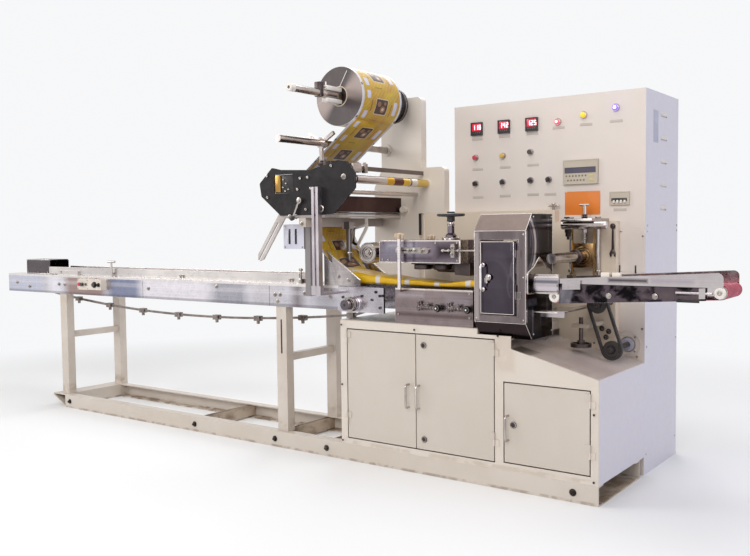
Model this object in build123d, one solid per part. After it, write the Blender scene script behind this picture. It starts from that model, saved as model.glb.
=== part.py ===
from build123d import *
import math
import os

# Flow wrap machine in millimetres.
# +X is the way the product travels, +Y is the back and +Z is up.
# The origin is on the floor under the middle of the sealing jaws, on the product line.

# Clearances and common sizes
door_gap = 5.0
running_gap = 5.0
fit_gap = 0.3
cut_over = 1.0

# Base frame
rail_height = 80.0
rail_flange = 50.0
rail_sheet = 6.0
rail_front_y = -130.0
rail_rear_y = 333.0
rail_left_x = -3042.0
nose_length = 154.0
nose_toe_radius = 9.0
cross_member_x = (-1873.0, -1285.0, -950.0)
cross_member_width = 36.0
cross_member_drop = 10.0

# Lower cabinet
cabinet_left_x = -856.0
cabinet_right_x = 405.0
cabinet_rear_y = 388.0
cabinet_sheet = 3.0
deck_z = 663.0
deck_right_x = 31.0
chute_start_drop = 72.0
chute_end_drop = 168.0
chute_inner_length = 71.0
well_left_x = -125.0
well_rear_y = 95.0
well_depth = 34.0
notch_depth = 23.0

# Cabinet doors, given by the openings they close
door_pair_left_x = -819.5
door_pair_right_x = -43.5
door_pair_middle_x = -435.0
door_pair_bottom_z = 107.0
door_pair_top_drop = 39.0
small_door_left_x = -4.5
small_door_right_x = 373.5
small_door_bottom_z = 112.5
small_door_height = 339.0
door_sheet = 3.0
door_edge_depth = 18.0
hinge_radius = 4.0
hinge_stand_off = 5.0
hinge_height = 28.0
hinge_tab_width = 22.0
hinge_tab_thickness = 3.0
hinge_inset = 70.0
handle_rod = 10.0
handle_height = 112.0
handle_reach = 34.0
handle_bend_radius = 12.0
left_handle_inset = 37.0
right_handle_inset = 18.0
pair_handle_rise = 180.0
small_handle_inset = 22.5
small_handle_rise = 92.5
lock_radius = 14.0
lock_height = 5.0
pair_lock_inset = 42.0
pair_lock_margin = 50.5
small_lock_inset = 46.5
small_lock_rise = 163.5

# Control cabinet, which rises over the machine wall by its panel, and the instruments'
# drop from the cabinet's top
control_left_x = -538.0
control_rear_y = 841.0
panel_height = 510.0
control_split_drop = 595.0
control_edge_radius = 8.0
control_seam = 3.0
port_x = 331.0
port_z = 569.0
port_radius = 34.0
port_depth = 12.0
cover_margin = 6.0
service_cover_top_margin = 12.0
service_cover_height = 177.0
louvre_count = 5
louvre_pitch = 103.5
louvre_height = 8.0
louvre_depth = 4.0
louvre_first_drop = 104.0
louvre_front_inset = 197.0
louvre_length = 80.0
panel_chamfer = 2.0
controller_left_x = (-440.0, -295.0, -152.0)
controller_width = 58.0
controller_height = 60.0
controller_drop = 84.0
controller_depth = 12.0
display_left_x = 35.0
display_width = 161.0
display_drop = 290.0
display_height = 106.0
display_depth = 14.0
breaker_left_x = 250.0
breaker_width = 86.0
breaker_drop = 437.0
breaker_height = 56.0
breaker_depth = 10.0
lamp_places = ((4.0, 113.0), (127.0, 93.0), (274.0, 73.0))
lamp_bezel_radius = 15.0
lamp_bezel_depth = 8.0
lamp_lens_radius = 11.0
lamp_lens_depth = 18.0
button_places = (
    (-420.0, 250.0), (-274.0, 250.0), (-131.0, 240.0),
    (-420.0, 374.0), (-274.0, 372.0), (-131.0, 370.0), (-40.0, 370.0),
)
button_ring_radius = 14.0
button_ring_depth = 6.0
button_cap_radius = 10.0
button_cap_depth = 20.0

# Machine wall and unwind stand
wall_front_y = 343.0
wall_left_x = -691.0
wall_right_x = 292.0
wall_step_x = 10.0
wall_left_top_z = 1160.0
wall_right_top_z = 1106.0
stand_foot_left_x = -856.0
stand_foot_height = 40.0
stand_flare_height = 190.0
stand_shoulder_drop = 90.0
stand_left_x = -994.0
stand_neck_x = -721.0
stand_shelf_right_x = -571.0
stand_shelf_top_z = 1384.0
stand_mast_left_x = -947.0
stand_mast_right_x = -703.0
stand_top_margin = 44.0
stand_corner_radius = 24.0

# Film reel and its shaft
film_width = 310.0
film_thickness = 1.0
reel_x = -825.0
reel_z = 1690.7
reel_radius = 135.0
shaft_radius = 17.0
shaft_reach = 500.0
shaft_tail = 30.0
brake_radius = 86.0
brake_thickness = 26.0
chuck_radius = 56.0
chuck_thickness = 16.0
chuck_nut_radius = 28.0
chuck_nut_length = 28.0
collar_step = 8.0
collar_clearance = 2.0
collar_length = 16.0
spare_x = -915.0
spare_z = 1483.0
spare_reach = 475.0
spare_hub_radius = 26.0
spare_hub_length = 22.0
spare_arm_count = 3
spare_arm_radius = 86.0
spare_arm_width = 16.0
spare_arm_thickness = 14.0
spare_arm_y = -185.0
bearing_ring = 12.0
bearing_height = 10.0

# Film path below the reel, as corner points of the web seen from the front
web_slope_degrees = 37.1
web_corner_1_x = -1150.0
web_corner_2 = (-1012.0, 1146.0)
web_corner_3 = (-990.0, 1060.0)
web_end = (-945.0, 985.0)
web_roller_radius = 20.0
web_roller_margin = 20.0
web_axle_radius = 8.0

# Date printer
printer_front_y = -265.0
printer_plate = 8.0
printer_corner_radius = 12.0
printer_right_x = -655.0
printer_outline = (
    (-1229.0, 1305.0), (-1148.0, 1376.0), (-1092.0, 1364.0), (-913.0, 1355.0), (-749.0, 1392.0),
    (-699.0, 1384.0),
    (printer_right_x, 1332.0), (printer_right_x, 1265.0), (-775.0, 1156.0), (-840.0, 1150.0),
    (-1097.0, 1150.0),
    (-1218.0, 1243.0),
)
window_left_x = -1135.0
window_right_x = -1020.0
window_rise = 105.0
window_height = 87.0
type_wheel_rise = 142.0
type_wheel_radii = (26.0, 34.0, 30.0, 34.0, 26.0)
type_wheel_width = 14.0
type_wheel_setback = 12.0
type_axle_radius = 8.0
type_holder_thickness = 8.0
chrome_roller = (-674.0, 1305.0, 18.5)
lower_roller = (-735.0, 1252.0, 11.0)
tie_rod = (-846.0, 1157.0, 5.0)
guide_bar_x = -696.0
guide_bar_z = 1346.0
guide_bar_height = 20.0
guide_bar_thickness = 8.0
bar_clamp_width = 26.0
bar_clamp_length = 60.0
bar_clamp_height = 34.0
housing_left_x = -985.0
housing_right_x = -828.0
housing_bottom_z = 1165.0
housing_top_z = 1238.0
lever_x = -970.0
lever_z = 1218.0
lever_length = 91.0
lever_angle = 243.0
lever_hub_radius = 12.0
lever_knob_radius = 8.0
lever_width = 9.0
lever_thickness = 7.0
lever_stand_off = 14.0

# What carries the printer
beam_left_x = -983.0
beam_right_x = -943.0
beam_bottom_z = 1096.0
base_bar_left_x = -1066.0
base_bar_right_x = -830.0
base_bar_z = 1138.0
base_bar_height = 12.0
base_bar_width = 40.0
base_bar_rear_y = -162.0
inner_post_left_x = -1015.0
inner_post_depth = 28.0
inner_post_bottom_z = 771.0
inner_post_foot_height = 40.0
sensor_left_x = -1144.0
sensor_bottom_z = 993.0
sensor_top_z = 1110.0
sensor_front_y = -195.0
sensor_depth = 40.0
hanger_x = -915.0
hanger_y = 20.0
hanger_radius = 13.0
hanger_low_z = 926.0
hanger_high_z = 1119.0
hanger_block = 34.0
stand_knob_x = -802.0
stand_knob_z = 1178.0
stand_knob_radius = 16.0
stand_knob_reach = 30.0
slant_arm_root = (-1084.0, 1166.0)
slant_arm_tip = (-1255.0, 932.0)
slant_arm_bar = 16.0
slant_arm_slot = 10.0
slant_arm_thickness = 8.0
slant_arm_head = 60.0
slant_arm_point = 30.0
alu_post_left_x = -884.0
alu_post_width = 38.0
alu_post_depth = 28.0
alu_post_bottom_z = 829.0
alu_post_top_z = 1276.0
alu_groove_width = 10.0
alu_groove_depth = 10.0
alu_foot_margin = 8.0
alu_foot_drop = 43.0
alu_foot_sheet = 10.0
alu_foot_thickness = 25.0

# Infeed conveyor
infeed_left_x = -3660.0
infeed_right_x = -874.0
infeed_half_width = 112.0
infeed_sheet = 4.0
infeed_bottom_z = 705.0
infeed_top_z = 820.0
infeed_slot = 40.0
leg_width = 66.0
leg_depth = 50.0
left_leg_x = -3067.0
right_leg_x = -1248.0
leg_top_z = 775.0
cross_bar_height = 50.0
mid_bar_z = 430.0
mid_bar_height = 36.0
mid_bar_width = 36.0
chain_link_height = 12.0
chain_width = 14.0
sprocket_radius = 45.0
head_shaft_x = -782.0
head_shaft_z = 738.0
tail_shaft_x = -3590.0
head_plate_stand_off = 6.0
head_plate_inner = 6.0
head_plate_right_x = -614.0
head_plate_margin_low = 5.0
head_plate_margin_high = 3.0
head_shaft_radius = 13.0
head_shaft_bore = 6.0
head_collar_radius = 33.0
head_collar_length = 34.0
head_washer_radius = 24.0
head_washer_length = 12.0
head_spring_radius = 19.0
head_spring_length = 28.0
chain_low_x = -1990.0
chain_low_z = 612.0
chain_curve = 4.85e-5
chain_run_off = 80.0
chain_arc_steps = 10
chain_sag_steps = 24
track_height = 8.0
lug_pitch = 310.0
lug_first_x = -3060.0
lug_end_clearance = 90.0
lug_length = 40.0
lug_above = 12.0
lug_below = 14.0
lug_pin_length = 10.0
lug_pin_drop = 30.0
tail_cover_left_x = -3515.0
tail_cover_right_x = -3260.0
tail_cover_half_width = 70.0
tail_cover_shoulder_z = 905.0
tail_cover_top_z = 912.0
tail_cover_bevel = 10.0
tail_cover_sheet = 3.0

# Guide rails over the infeed, with their clamps
rail_offset_y = 75.0
rail_thickness = 6.0
guide_left_end_x = -3250.0
guide_right_end_x = -1149.0
rail_bottom_z = 824.0
rail_top_z = 867.0
rail_foot_x = (-3100.0, -2600.0, -2000.0, -1200.0)
rail_foot_length = 24.0
end_block_left_x = -3139.0
end_block_right_x = -2932.0
end_block_thickness = 14.0
end_block_height = 26.0
t_clamp_x = -2597.0
t_clamp_z = 908.0
t_clamp_length = 62.0
t_clamp_radius = 7.0
t_clamp_post_radius = 6.0
t_clamp_post_y = -97.0

# Switch boxes on the infeed's front plate
switch_box_left_x = -2855.0
switch_box_split_x = -2750.0
switch_box_right_x = -2628.0
switch_box_depth = 40.0
switch_box_bottom_z = 740.0
switch_box_height = 65.0
switch_box_step = 2.0
switch_knob_radius = 11.0
switch_knob_length = 14.0

# Film former and film tube
former_apex = (-957.0, 992.0)
former_right_x = -742.0
former_right_z = 848.0
former_half_width = 120.0
former_sheet = 3.0
former_tray = 2.0
tube_low_z = 824.0
tube_round_ratio = 0.45
# Place along the line, half width and height of the folded film
tube_sections = (
    (-860.0, 100.0, 74.0), (-700.0, 84.0, 56.0), (-500.0, 74.0, 38.0),
    (-330.0, 72.0, 28.0), (-200.0, 70.0, 42.0), (-75.0, 70.0, 44.0),
)

# Fin seal unit
fin_front_y = -125.0
upper_box_left_x = -630.0
upper_box_right_x = -207.0
upper_box_bottom_z = 933.0
upper_box_height = 100.0
upper_box_rear_y = 40.0
upper_arm_inset = (60.0, 283.0)
upper_arm_width = 40.0
upper_arm_rise = 27.0
upper_arm_height = 46.0
lower_box_left_x = -545.0
lower_box_right_x = -148.0
lower_box_bottom_z = 690.0
lower_box_top_z = 820.0
lower_box_foot_depth = 30.0
disc_x = -696.0
disc_z = 975.0
disc_radius = 47.5
disc_length = 60.0
disc_recess_radius = 30.0
disc_recess_depth = 8.0
disc_hub_radius = 14.0
disc_hub_reach = 4.0
disc_arm_height = 50.0
disc_arm_thickness = 12.0
disc_arm_margin = 24.0
guide_post_x = -505.0
guide_post_radius = 9.0
guide_post_top_z = 1040.0
guide_post_foot = 12.0
guide_post_foot_drop = 14.0
slide_left_x = -535.0
slide_right_x = -362.0
slide_z = 988.0
slide_height = 26.0
slide_thickness = 10.0
slide_knob_x = -398.0
slide_knob_radius = 11.0
slide_knob_length = 14.0
stop_x = -234.0
stop_width = 16.0
stop_height = 58.0
stop_depth = 22.0
stop_rod_radius = 4.0
stop_rod_left_x = -295.0
stop_rod_right_x = -130.0
lever_rows = ((-421.0, -311.0), (-268.0, -163.0))
lever_row_z = 741.0
lever_row_bar = 10.0
lever_row_knob_radius = 13.0
lever_row_knob_length = 34.0
lever_row_stem_radius = 6.0
lever_row_stem_length = 10.0
handwheel_x = -292.0
handwheel_y = -60.0
handwheel_z = 1138.0
handwheel_radius = 61.0
handwheel_rim = 7.0
handwheel_dish = 6.0
handwheel_hub_radius = 17.0
handwheel_hub_length = 26.0
handwheel_cap = 10.0
screw_radius = 9.0
tower_base_radius = 24.0
tower_height = 59.0
tower_neck_radius = 15.0
tower_bore_floor = 10.0

# Sealing jaws and their cover
cover_left_x = -118.0
cover_right_x = 115.0
cover_front_y = -165.0
cover_chamfer_y = -110.0
cover_rear_y = 86.0
cover_face_bottom_z = 697.0
cover_face_top_z = 1071.0
cover_top_z = 1139.0
cover_sheet = 3.0
arch_apex_y = -40.0
arch_apex_z = 966.0
arch_foot_z = 900.0
arch_sill_z = 815.0
arch_front_y = -150.0
arch_rear_y = 70.0
guard_left_x = -91.0
guard_right_x = 75.0
guard_bottom_z = 727.0
guard_top_z = 1034.0
guard_thickness = 12.0
guard_sheet = 3.0
guard_handle_inset = 18.0
guard_handle_rise = 99.0
jaw_upper_z = 930.0
jaw_lower_z = 770.0
jaw_shaft_radius = 20.0
jaw_shaft_front_y = -120.0
jaw_bar_half_width = 18.0
jaw_bar_front_y = -90.0
jaw_bar_rear_y = 78.0
jaw_gap_half = 25.0
jaw_meeting_z = 846.0
jaw_bar_root = 10.0
jaw_tooth_count = 4
jaw_tooth_width = 4.0
jaw_tooth_depth = 2.0

# Drive head on the wall, right of the jaws
side_shaft_x = 158.0
side_shaft_z = 955.0
side_shaft_radius = 22.0
side_shaft_front_y = -20.0
bearing_half_width = 48.0
bearing_depth = 40.0
bearing_bottom_z = 905.0
bearing_top_z = 1010.0
head_plate_gap = 8.0
top_plate_right_x = 262.0
top_plate_front_y = 150.0
top_plate_thickness = 12.0
column_offset = 62.0
column_radius = 8.0
column_bottom_z = 870.0
column_foot = 14.0
pressure_screw_radius = 8.0
pressure_screw_top_z = 1178.0
pressure_spring_radius = 15.0
pressure_bar_length = 44.0
pressure_bar_radius = 5.0

# Discharge conveyor
belt_half_width = 97.0
belt_thickness = 2.5
head_roller_x = 841.0
head_roller_z = 844.0
tail_roller_x = 213.0
tail_roller_z = 808.0
conveyor_roller_radius = 24.5
conveyor_axle_radius = 8.0
roller_overhang = 3.0
guide_y = 115.0
guide_sheet = 3.0
guide_height = 44.0
guide_left_x = 209.0
guide_right_x = 853.0
guide_corner_radius = 20.0
side_plate_left_x = 235.0
side_plate_right_x = 795.0
take_up_slot_left_x = 690.0
take_up_slot_right_x = 775.0
take_up_slot_height = 12.0
take_up_screw_radius = 5.0
take_up_screw_reach = 22.0
take_up_block_length = 22.0
take_up_block_height = 38.0
take_up_block_depth = 12.0
end_arm_half_height = 10.0
end_arm_reach = 12.0
entry_guide_left_x = 45.0
entry_guide_low_z = 818.0
entry_guide_high_z = 896.0
entry_guide_bow = 7.0
frame_rod_radius = 10.0
frame_rod_inset = 30.0
frame_rod_middle_x = 520.0
clamp_block_left_x = 252.0
clamp_block_length = 74.0
clamp_block_height = 34.0
clamp_block_depth = 10.0
wall_arm_left_x = 240.0
wall_arm_right_x = 285.0
wall_arm_height = 24.0
tray_left_x = 128.0
tray_right_x = 232.0
tray_z = 742.0
tray_front_y = -60.0
tray_rear_y = 150.0
tray_sheet = 3.0
tray_lip = 22.0
tray_rod_radius = 9.0

# Drive at the discharge end
drive_y = 200.0
drive_upper = (269.0, 753.0)
drive_sprocket_radius = 36.0
drive_chain_height = 10.0
drive_chain_width = 16.0
drive_axle_radius = 12.0
drive_axle_front = 24.0
hand_screw_x = 203.0
hand_screw_y = 180.0
hand_screw_z = 581.0
hand_screw_radius = 44.0
hand_screw_thickness = 16.0
hand_screw_hub_radius = 16.0
hand_screw_hub_height = 20.0
hand_screw_top_z = 700.0
bracket_left_x = 168.0
bracket_right_x = 240.0
bracket_bottom_z = 656.0
bracket_thickness = 16.0
bracket_margin = 20.0

# Sizes worked out from the ones above
chute_start_z = deck_z - chute_start_drop
chute_end_z = deck_z - chute_end_drop
well_floor_z = deck_z - well_depth
notch_top_z = deck_z - notch_depth
door_pair_top_z = deck_z - door_pair_top_drop
small_door_top_z = small_door_bottom_z + small_door_height
control_height = wall_left_top_z + panel_height
control_split_z = control_height - control_split_drop
service_cover_top_z = control_split_z - service_cover_top_margin
infeed_front_y = -infeed_half_width
lug_last_x = head_shaft_x - lug_end_clearance
lug_count = int((lug_last_x - lug_first_x) / lug_pitch) + 1
upper_box_top_z = upper_box_bottom_z + upper_box_height
shaft_front_y = -shaft_reach
stand_top_z = reel_z + stand_top_margin
belt_radius = conveyor_roller_radius + belt_thickness
head_roller = (head_roller_x, head_roller_z)
tail_roller = (tail_roller_x, tail_roller_z)
printer_rear_y = printer_front_y + printer_plate
base_bar_top_z = base_bar_z + base_bar_height
window_bottom_z = base_bar_top_z + window_rise
window_top_z = window_bottom_z + window_height
type_wheel_z = base_bar_top_z + type_wheel_rise


def block(x_range, y_range, z_range):
    # A box between two limits on each axis
    size = [high - low for low, high in (x_range, y_range, z_range)]
    middle = [(high + low) / 2 for low, high in (x_range, y_range, z_range)]
    return Pos(*middle) * Box(*size)


def front_profile(points, y_front, y_rear):
    # A closed outline in X and Z, drawn out from front to rear
    plane = Plane(origin=(0, y_front, 0), x_dir=(1, 0, 0), z_dir=(0, -1, 0))
    face = plane * make_face(Polyline(*points, close=True))
    return extrude(face, amount=y_rear - y_front, dir=(0, 1, 0))


def side_profile(points, x_left, x_right):
    # A closed outline in Y and Z, drawn out from left to right
    plane = Plane(origin=(x_left, 0, 0), x_dir=(0, 1, 0), z_dir=(1, 0, 0))
    face = plane * make_face(Polyline(*points, close=True))
    return extrude(face, amount=x_right - x_left, dir=(1, 0, 0))


def rod_y(x, z, radius, y_front, y_rear):
    plane = Plane(origin=(x, y_front, z), x_dir=(1, 0, 0), z_dir=(0, 1, 0))
    return extrude(plane * Circle(radius), amount=y_rear - y_front)


def rod_z(x, y, radius, z_low, z_high):
    return extrude(Plane.XY.offset(z_low) * Pos(x, y) * Circle(radius), amount=z_high - z_low)


def rod_x(y, z, radius, x_left, x_right):
    plane = Plane(origin=(x_left, y, z), x_dir=(0, 1, 0), z_dir=(1, 0, 0))
    return extrude(plane * Circle(radius), amount=x_right - x_left)


def turned_y(x, z, steps, y_front):
    # A turned piece along Y, given as (radius, length) steps from front to rear
    points = [(0, 0)]
    along = 0
    for radius, length in steps:
        points.append((radius, along))
        along += length
        points.append((radius, along))
    points.append((0, along))
    plane = Plane(origin=(x, y_front, z), x_dir=(1, 0, 0), z_dir=(0, 0, 1))
    profile = plane * make_face(Polyline(*points, close=True))
    return revolve(profile, axis=Axis((x, y_front, z), (0, 1, 0)))


def turned_z(x, y, outline):
    # A turned piece along Z, given by its outline as (radius, height) points
    plane = Plane(origin=(x, y, 0), x_dir=(1, 0, 0), z_dir=(0, -1, 0))
    return revolve(plane * make_face(Polyline(*outline, close=True)), axis=Axis((x, y, 0), (0, 0, 1)))


def chute_z(x):
    # Height of the sloping chute plate's upper face
    slope = (chute_end_z - chute_start_z) / (cabinet_right_x - deck_right_x)
    return chute_start_z + (x - deck_right_x) * slope


def bend_centre(before, corner, after, radius):
    # Centre of the arc that rounds a corner of a path
    to_before = (Vector(*before) - Vector(*corner)).normalized()
    to_after = (Vector(*after) - Vector(*corner)).normalized()
    half_angle = math.radians(to_before.get_angle(to_after)) / 2
    middle = (to_before + to_after).normalized()
    return Vector(*corner) + middle * (radius / math.sin(half_angle))


def base_rails():
    web = rail_sheet

    def channel(outer_y, inner_y):
        step = web if inner_y > outer_y else -web
        return [
            (outer_y, 0), (inner_y, 0), (inner_y, web), (outer_y + step, web),
            (outer_y + step, rail_height - web), (inner_y, rail_height - web),
            (inner_y, rail_height), (outer_y, rail_height),
        ]

    front = side_profile(channel(rail_front_y, rail_front_y + rail_flange), rail_left_x, cabinet_right_x)
    rear = side_profile(channel(rail_rear_y, rail_rear_y - rail_flange), rail_left_x, cabinet_right_x)
    return [front, rear]


def base_cross_members():
    inner = (rail_front_y + rail_sheet, rail_rear_y - rail_sheet)
    low = cross_member_drop
    high = rail_height - cross_member_drop
    members = []
    for x in cross_member_x:
        left = x - cross_member_width / 2
        right = x + cross_member_width / 2
        channel = block((left, right), inner, (low, high))
        channel -= block((left + rail_sheet, right - rail_sheet), inner, (low + rail_sheet, high))
        members.append(channel)
    return members


def base_end_nose():
    # A folded toe that closes the left end of the rails
    tip_x = rail_left_x - nose_length
    points = [(rail_left_x, rail_height), (tip_x, rail_height), (rail_left_x, 0)]
    outer = make_face(Polyline(*points, close=True))
    toe = outer.vertices().sort_by(Axis.X)[0]
    outer = fillet(toe, nose_toe_radius)
    inner = offset(make_face(Polyline(*points, close=True)), -rail_sheet, kind=Kind.INTERSECTION)
    plane = Plane(origin=(0, rail_front_y, 0), x_dir=(1, 0, 0), z_dir=(0, -1, 0))
    depth = rail_rear_y - rail_front_y
    skin = extrude(plane * outer, amount=depth, dir=(0, 1, 0))
    return [skin - extrude(plane * inner, amount=depth, dir=(0, 1, 0))]


def base_floor_plate():
    between = (rail_front_y + rail_flange, rail_rear_y - rail_flange)
    return [block((cabinet_left_x, cabinet_right_x), between, (0, rail_sheet))]


def hinge_places():
    # Side that the door hangs on, hinge axis, opening's bottom and opening's height
    pair_height = door_pair_top_z - door_pair_bottom_z
    return [
        (-1, door_pair_left_x + door_gap / 2, door_pair_bottom_z, pair_height),
        (1, door_pair_right_x - door_gap / 2, door_pair_bottom_z, pair_height),
        (1, small_door_right_x - door_gap / 2, small_door_bottom_z, small_door_height),
    ]


def hinge_levels(bottom, height):
    return (bottom + hinge_inset, bottom + height - hinge_inset)


def hinge_half(axis_x, side, z_low, front_y=rail_front_y, height=hinge_height):
    # One knuckle of a lift-off hinge with the tab that carries it
    y = front_y - hinge_stand_off
    knuckle = rod_z(axis_x, y, hinge_radius, z_low, z_low + height)
    tab_x = sorted((axis_x, axis_x + side * hinge_tab_width))
    return knuckle + block(tab_x, (front_y - hinge_tab_thickness, front_y), (z_low, z_low + height))


def cabinet_front():
    top = deck_z - cabinet_sheet
    outline = [
        (cabinet_left_x, rail_height), (cabinet_right_x, rail_height),
        (cabinet_right_x, chute_z(cabinet_right_x) - cabinet_sheet),
        (deck_right_x, chute_z(deck_right_x) - cabinet_sheet),
        (deck_right_x, notch_top_z), (well_left_x, notch_top_z),
        (well_left_x, top), (cabinet_left_x, top),
    ]
    front = rail_front_y
    plate = front_profile(outline, front, front + cabinet_sheet)
    through = (front - cut_over, front + cabinet_sheet + cut_over)
    plate -= block((door_pair_left_x, door_pair_right_x), through, (door_pair_bottom_z, door_pair_top_z))
    plate -= block(
        (small_door_left_x, small_door_right_x), through, (small_door_bottom_z, small_door_top_z),
    )
    for side, edge_x, bottom, height in hinge_places():
        for z in hinge_levels(bottom, height):
            plate += hinge_half(edge_x, side, z)
    return [plate]


def door_leaf(left_x, right_x, bottom_z, top_z, hinge_side, axis_x):
    # A folded sheet door with returned edges and the upper hinge knuckles
    front = rail_front_y
    leaf = block((left_x, right_x), (front, front + door_edge_depth), (bottom_z, top_z))
    leaf -= block(
        (left_x + door_sheet, right_x - door_sheet),
        (front + door_sheet, front + door_edge_depth),
        (bottom_z + door_sheet, top_z - door_sheet),
    )
    opening_bottom = bottom_z - door_gap
    opening_height = top_z - bottom_z + 2 * door_gap
    for z in hinge_levels(opening_bottom, opening_height):
        leaf += hinge_half(axis_x, -hinge_side, z + hinge_height + fit_gap)
    return leaf


def left_door():
    return [door_leaf(
        door_pair_left_x + door_gap, door_pair_middle_x - door_gap / 2,
        door_pair_bottom_z + door_gap, door_pair_top_z - door_gap, -1, door_pair_left_x + door_gap / 2,
    )]


def right_door():
    return [door_leaf(
        door_pair_middle_x + door_gap / 2, door_pair_right_x - door_gap,
        door_pair_bottom_z + door_gap, door_pair_top_z - door_gap, 1, door_pair_right_x - door_gap / 2,
    )]


def small_door():
    return [door_leaf(
        small_door_left_x + door_gap, small_door_right_x - door_gap,
        small_door_bottom_z + door_gap, small_door_top_z - door_gap, 1, small_door_right_x - door_gap / 2,
    )]


def lock(x, z):
    # A round cam lock with its key slot, seated on the door's face
    barrel = rod_y(x, z, lock_radius, rail_front_y - lock_height, rail_front_y)
    barrel = chamfer(barrel.edges().sort_by(Axis.Y)[0], lock_height / 5)
    slot = (x - lock_radius / 8, x + lock_radius / 8)
    cut = (rail_front_y - lock_height - cut_over, rail_front_y - lock_height / 2)
    return barrel - block(slot, cut, (z - lock_radius / 2, z + lock_radius / 2))


def right_door_locks():
    x = door_pair_middle_x + pair_lock_inset
    return [lock(x, door_pair_bottom_z + pair_lock_margin), lock(x, door_pair_top_z - pair_lock_margin)]


def small_door_lock():
    return [lock(small_door_left_x + small_lock_inset, small_door_bottom_z + small_lock_rise)]


def pull_handle(x, z_low, face_y):
    # A bent rod with both ends square on the door
    reach_y = face_y - handle_reach + handle_rod / 2
    low = z_low + handle_rod / 2
    high = z_low + handle_height - handle_rod / 2
    path = FilletPolyline(
        (x, face_y, low), (x, reach_y, low), (x, reach_y, high), (x, face_y, high),
        radius=handle_bend_radius,
    )
    section = Plane(origin=(x, face_y, low), z_dir=(0, -1, 0)) * Circle(handle_rod / 2)
    return sweep(section, path=path)


def left_door_handle():
    return [pull_handle(
        door_pair_middle_x - left_handle_inset, door_pair_bottom_z + pair_handle_rise, rail_front_y,
    )]


def right_door_handle():
    return [pull_handle(
        door_pair_middle_x + right_handle_inset, door_pair_bottom_z + pair_handle_rise, rail_front_y,
    )]


def small_door_handle():
    x = small_door_left_x + small_handle_inset
    return [pull_handle(x, small_door_bottom_z + small_handle_rise, rail_front_y)]


def cabinet_walls():
    # Left side, right side, back and floor behind the front frame
    sheet = cabinet_sheet
    inner_front = rail_front_y + sheet
    inner_rear = cabinet_rear_y - sheet
    top = deck_z - sheet
    depth = (inner_front, cabinet_rear_y)
    left = block((cabinet_left_x, cabinet_left_x + sheet), depth, (rail_height, top))
    right_top = chute_z(cabinet_right_x) - sheet
    right = block((cabinet_right_x - sheet, cabinet_right_x), depth, (rail_height, right_top))
    back = front_profile(
        [
            (cabinet_left_x, rail_height), (cabinet_right_x, rail_height), (cabinet_right_x, right_top),
            (deck_right_x, chute_z(deck_right_x) - sheet), (deck_right_x, top), (cabinet_left_x, top),
        ],
        inner_rear, cabinet_rear_y,
    )
    floor = block((cabinet_left_x, cabinet_right_x), depth, (rail_height, rail_height + sheet))
    return [left + right + back + floor]


def cabinet_deck():
    # The flat top with the sunk well that the jaw cover stands in
    sheet = cabinet_sheet
    inner_front = rail_front_y + sheet
    plate = block((cabinet_left_x, deck_right_x), (rail_front_y, cabinet_rear_y), (deck_z - sheet, deck_z))
    plate -= block(
        (well_left_x, deck_right_x + cut_over), (rail_front_y - cut_over, well_rear_y),
        (deck_z - sheet - cut_over, deck_z + cut_over),
    )
    under = well_floor_z - sheet
    well_top = deck_z - sheet
    depth = (inner_front, well_rear_y + sheet)
    plate += block((well_left_x - sheet, deck_right_x), depth, (under, well_floor_z))
    plate += block((well_left_x - sheet, well_left_x), depth, (under, well_top))
    plate += block(
        (well_left_x - sheet, deck_right_x), (well_rear_y, well_rear_y + sheet), (under, well_top),
    )
    plate += block(
        (deck_right_x - sheet, deck_right_x), (well_rear_y, cabinet_rear_y - sheet), (under, well_top),
    )
    return [plate]


def chute_plate():
    # The sloping plate that carries finished packs out of the cabinet's right end
    sheet = cabinet_sheet

    def strip(x_left, x_right):
        return [
            (x_left, chute_z(x_left)), (x_right, chute_z(x_right)),
            (x_right, chute_z(x_right) - sheet), (x_left, chute_z(x_left) - sheet),
        ]

    outer = front_profile(strip(deck_right_x, cabinet_right_x), rail_front_y, cabinet_rear_y)
    inner = front_profile(
        strip(deck_right_x - chute_inner_length, deck_right_x),
        rail_front_y + sheet, cabinet_rear_y - sheet,
    )
    return [outer + inner]


def control_cabinet_lower():
    top = control_split_z - control_seam / 2
    body = block((control_left_x, cabinet_right_x), (cabinet_rear_y, control_rear_y), (0, top))
    body = fillet(body.edges().filter_by(Axis.Z).group_by(Axis.Y)[-1], control_edge_radius)
    body -= rod_y(port_x, port_z, port_radius, cabinet_rear_y, cabinet_rear_y + port_depth)
    body += block(
        (wall_right_x + cover_margin, cabinet_right_x - cover_margin),
        (cabinet_rear_y - cabinet_sheet, cabinet_rear_y),
        (service_cover_top_z - service_cover_height, service_cover_top_z),
    )
    return [body]


def control_cabinet_upper():
    bottom = control_split_z - control_seam / 2
    body = block(
        (control_left_x, cabinet_right_x), (cabinet_rear_y, control_rear_y), (bottom, control_height),
    )
    body = fillet(body.edges().filter_by(Axis.Z).group_by(Axis.Y)[-1], control_edge_radius)
    front = cabinet_rear_y + louvre_front_inset
    for level in range(louvre_count):
        z = control_height - louvre_first_drop - level * louvre_pitch
        body -= block(
            (cabinet_right_x - louvre_depth, cabinet_right_x + cut_over), (front, front + louvre_length),
            (z, z + louvre_height),
        )
    return [body]


def panel_box(left_x, width, drop, height, depth):
    # An instrument on the panel with a bevelled bezel, hung from the cabinet's top
    top = control_height - drop
    box = block((left_x, left_x + width), (cabinet_rear_y - depth, cabinet_rear_y), (top - height, top))
    return chamfer(box.faces().sort_by(Axis.Y)[0].edges(), panel_chamfer)


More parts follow.
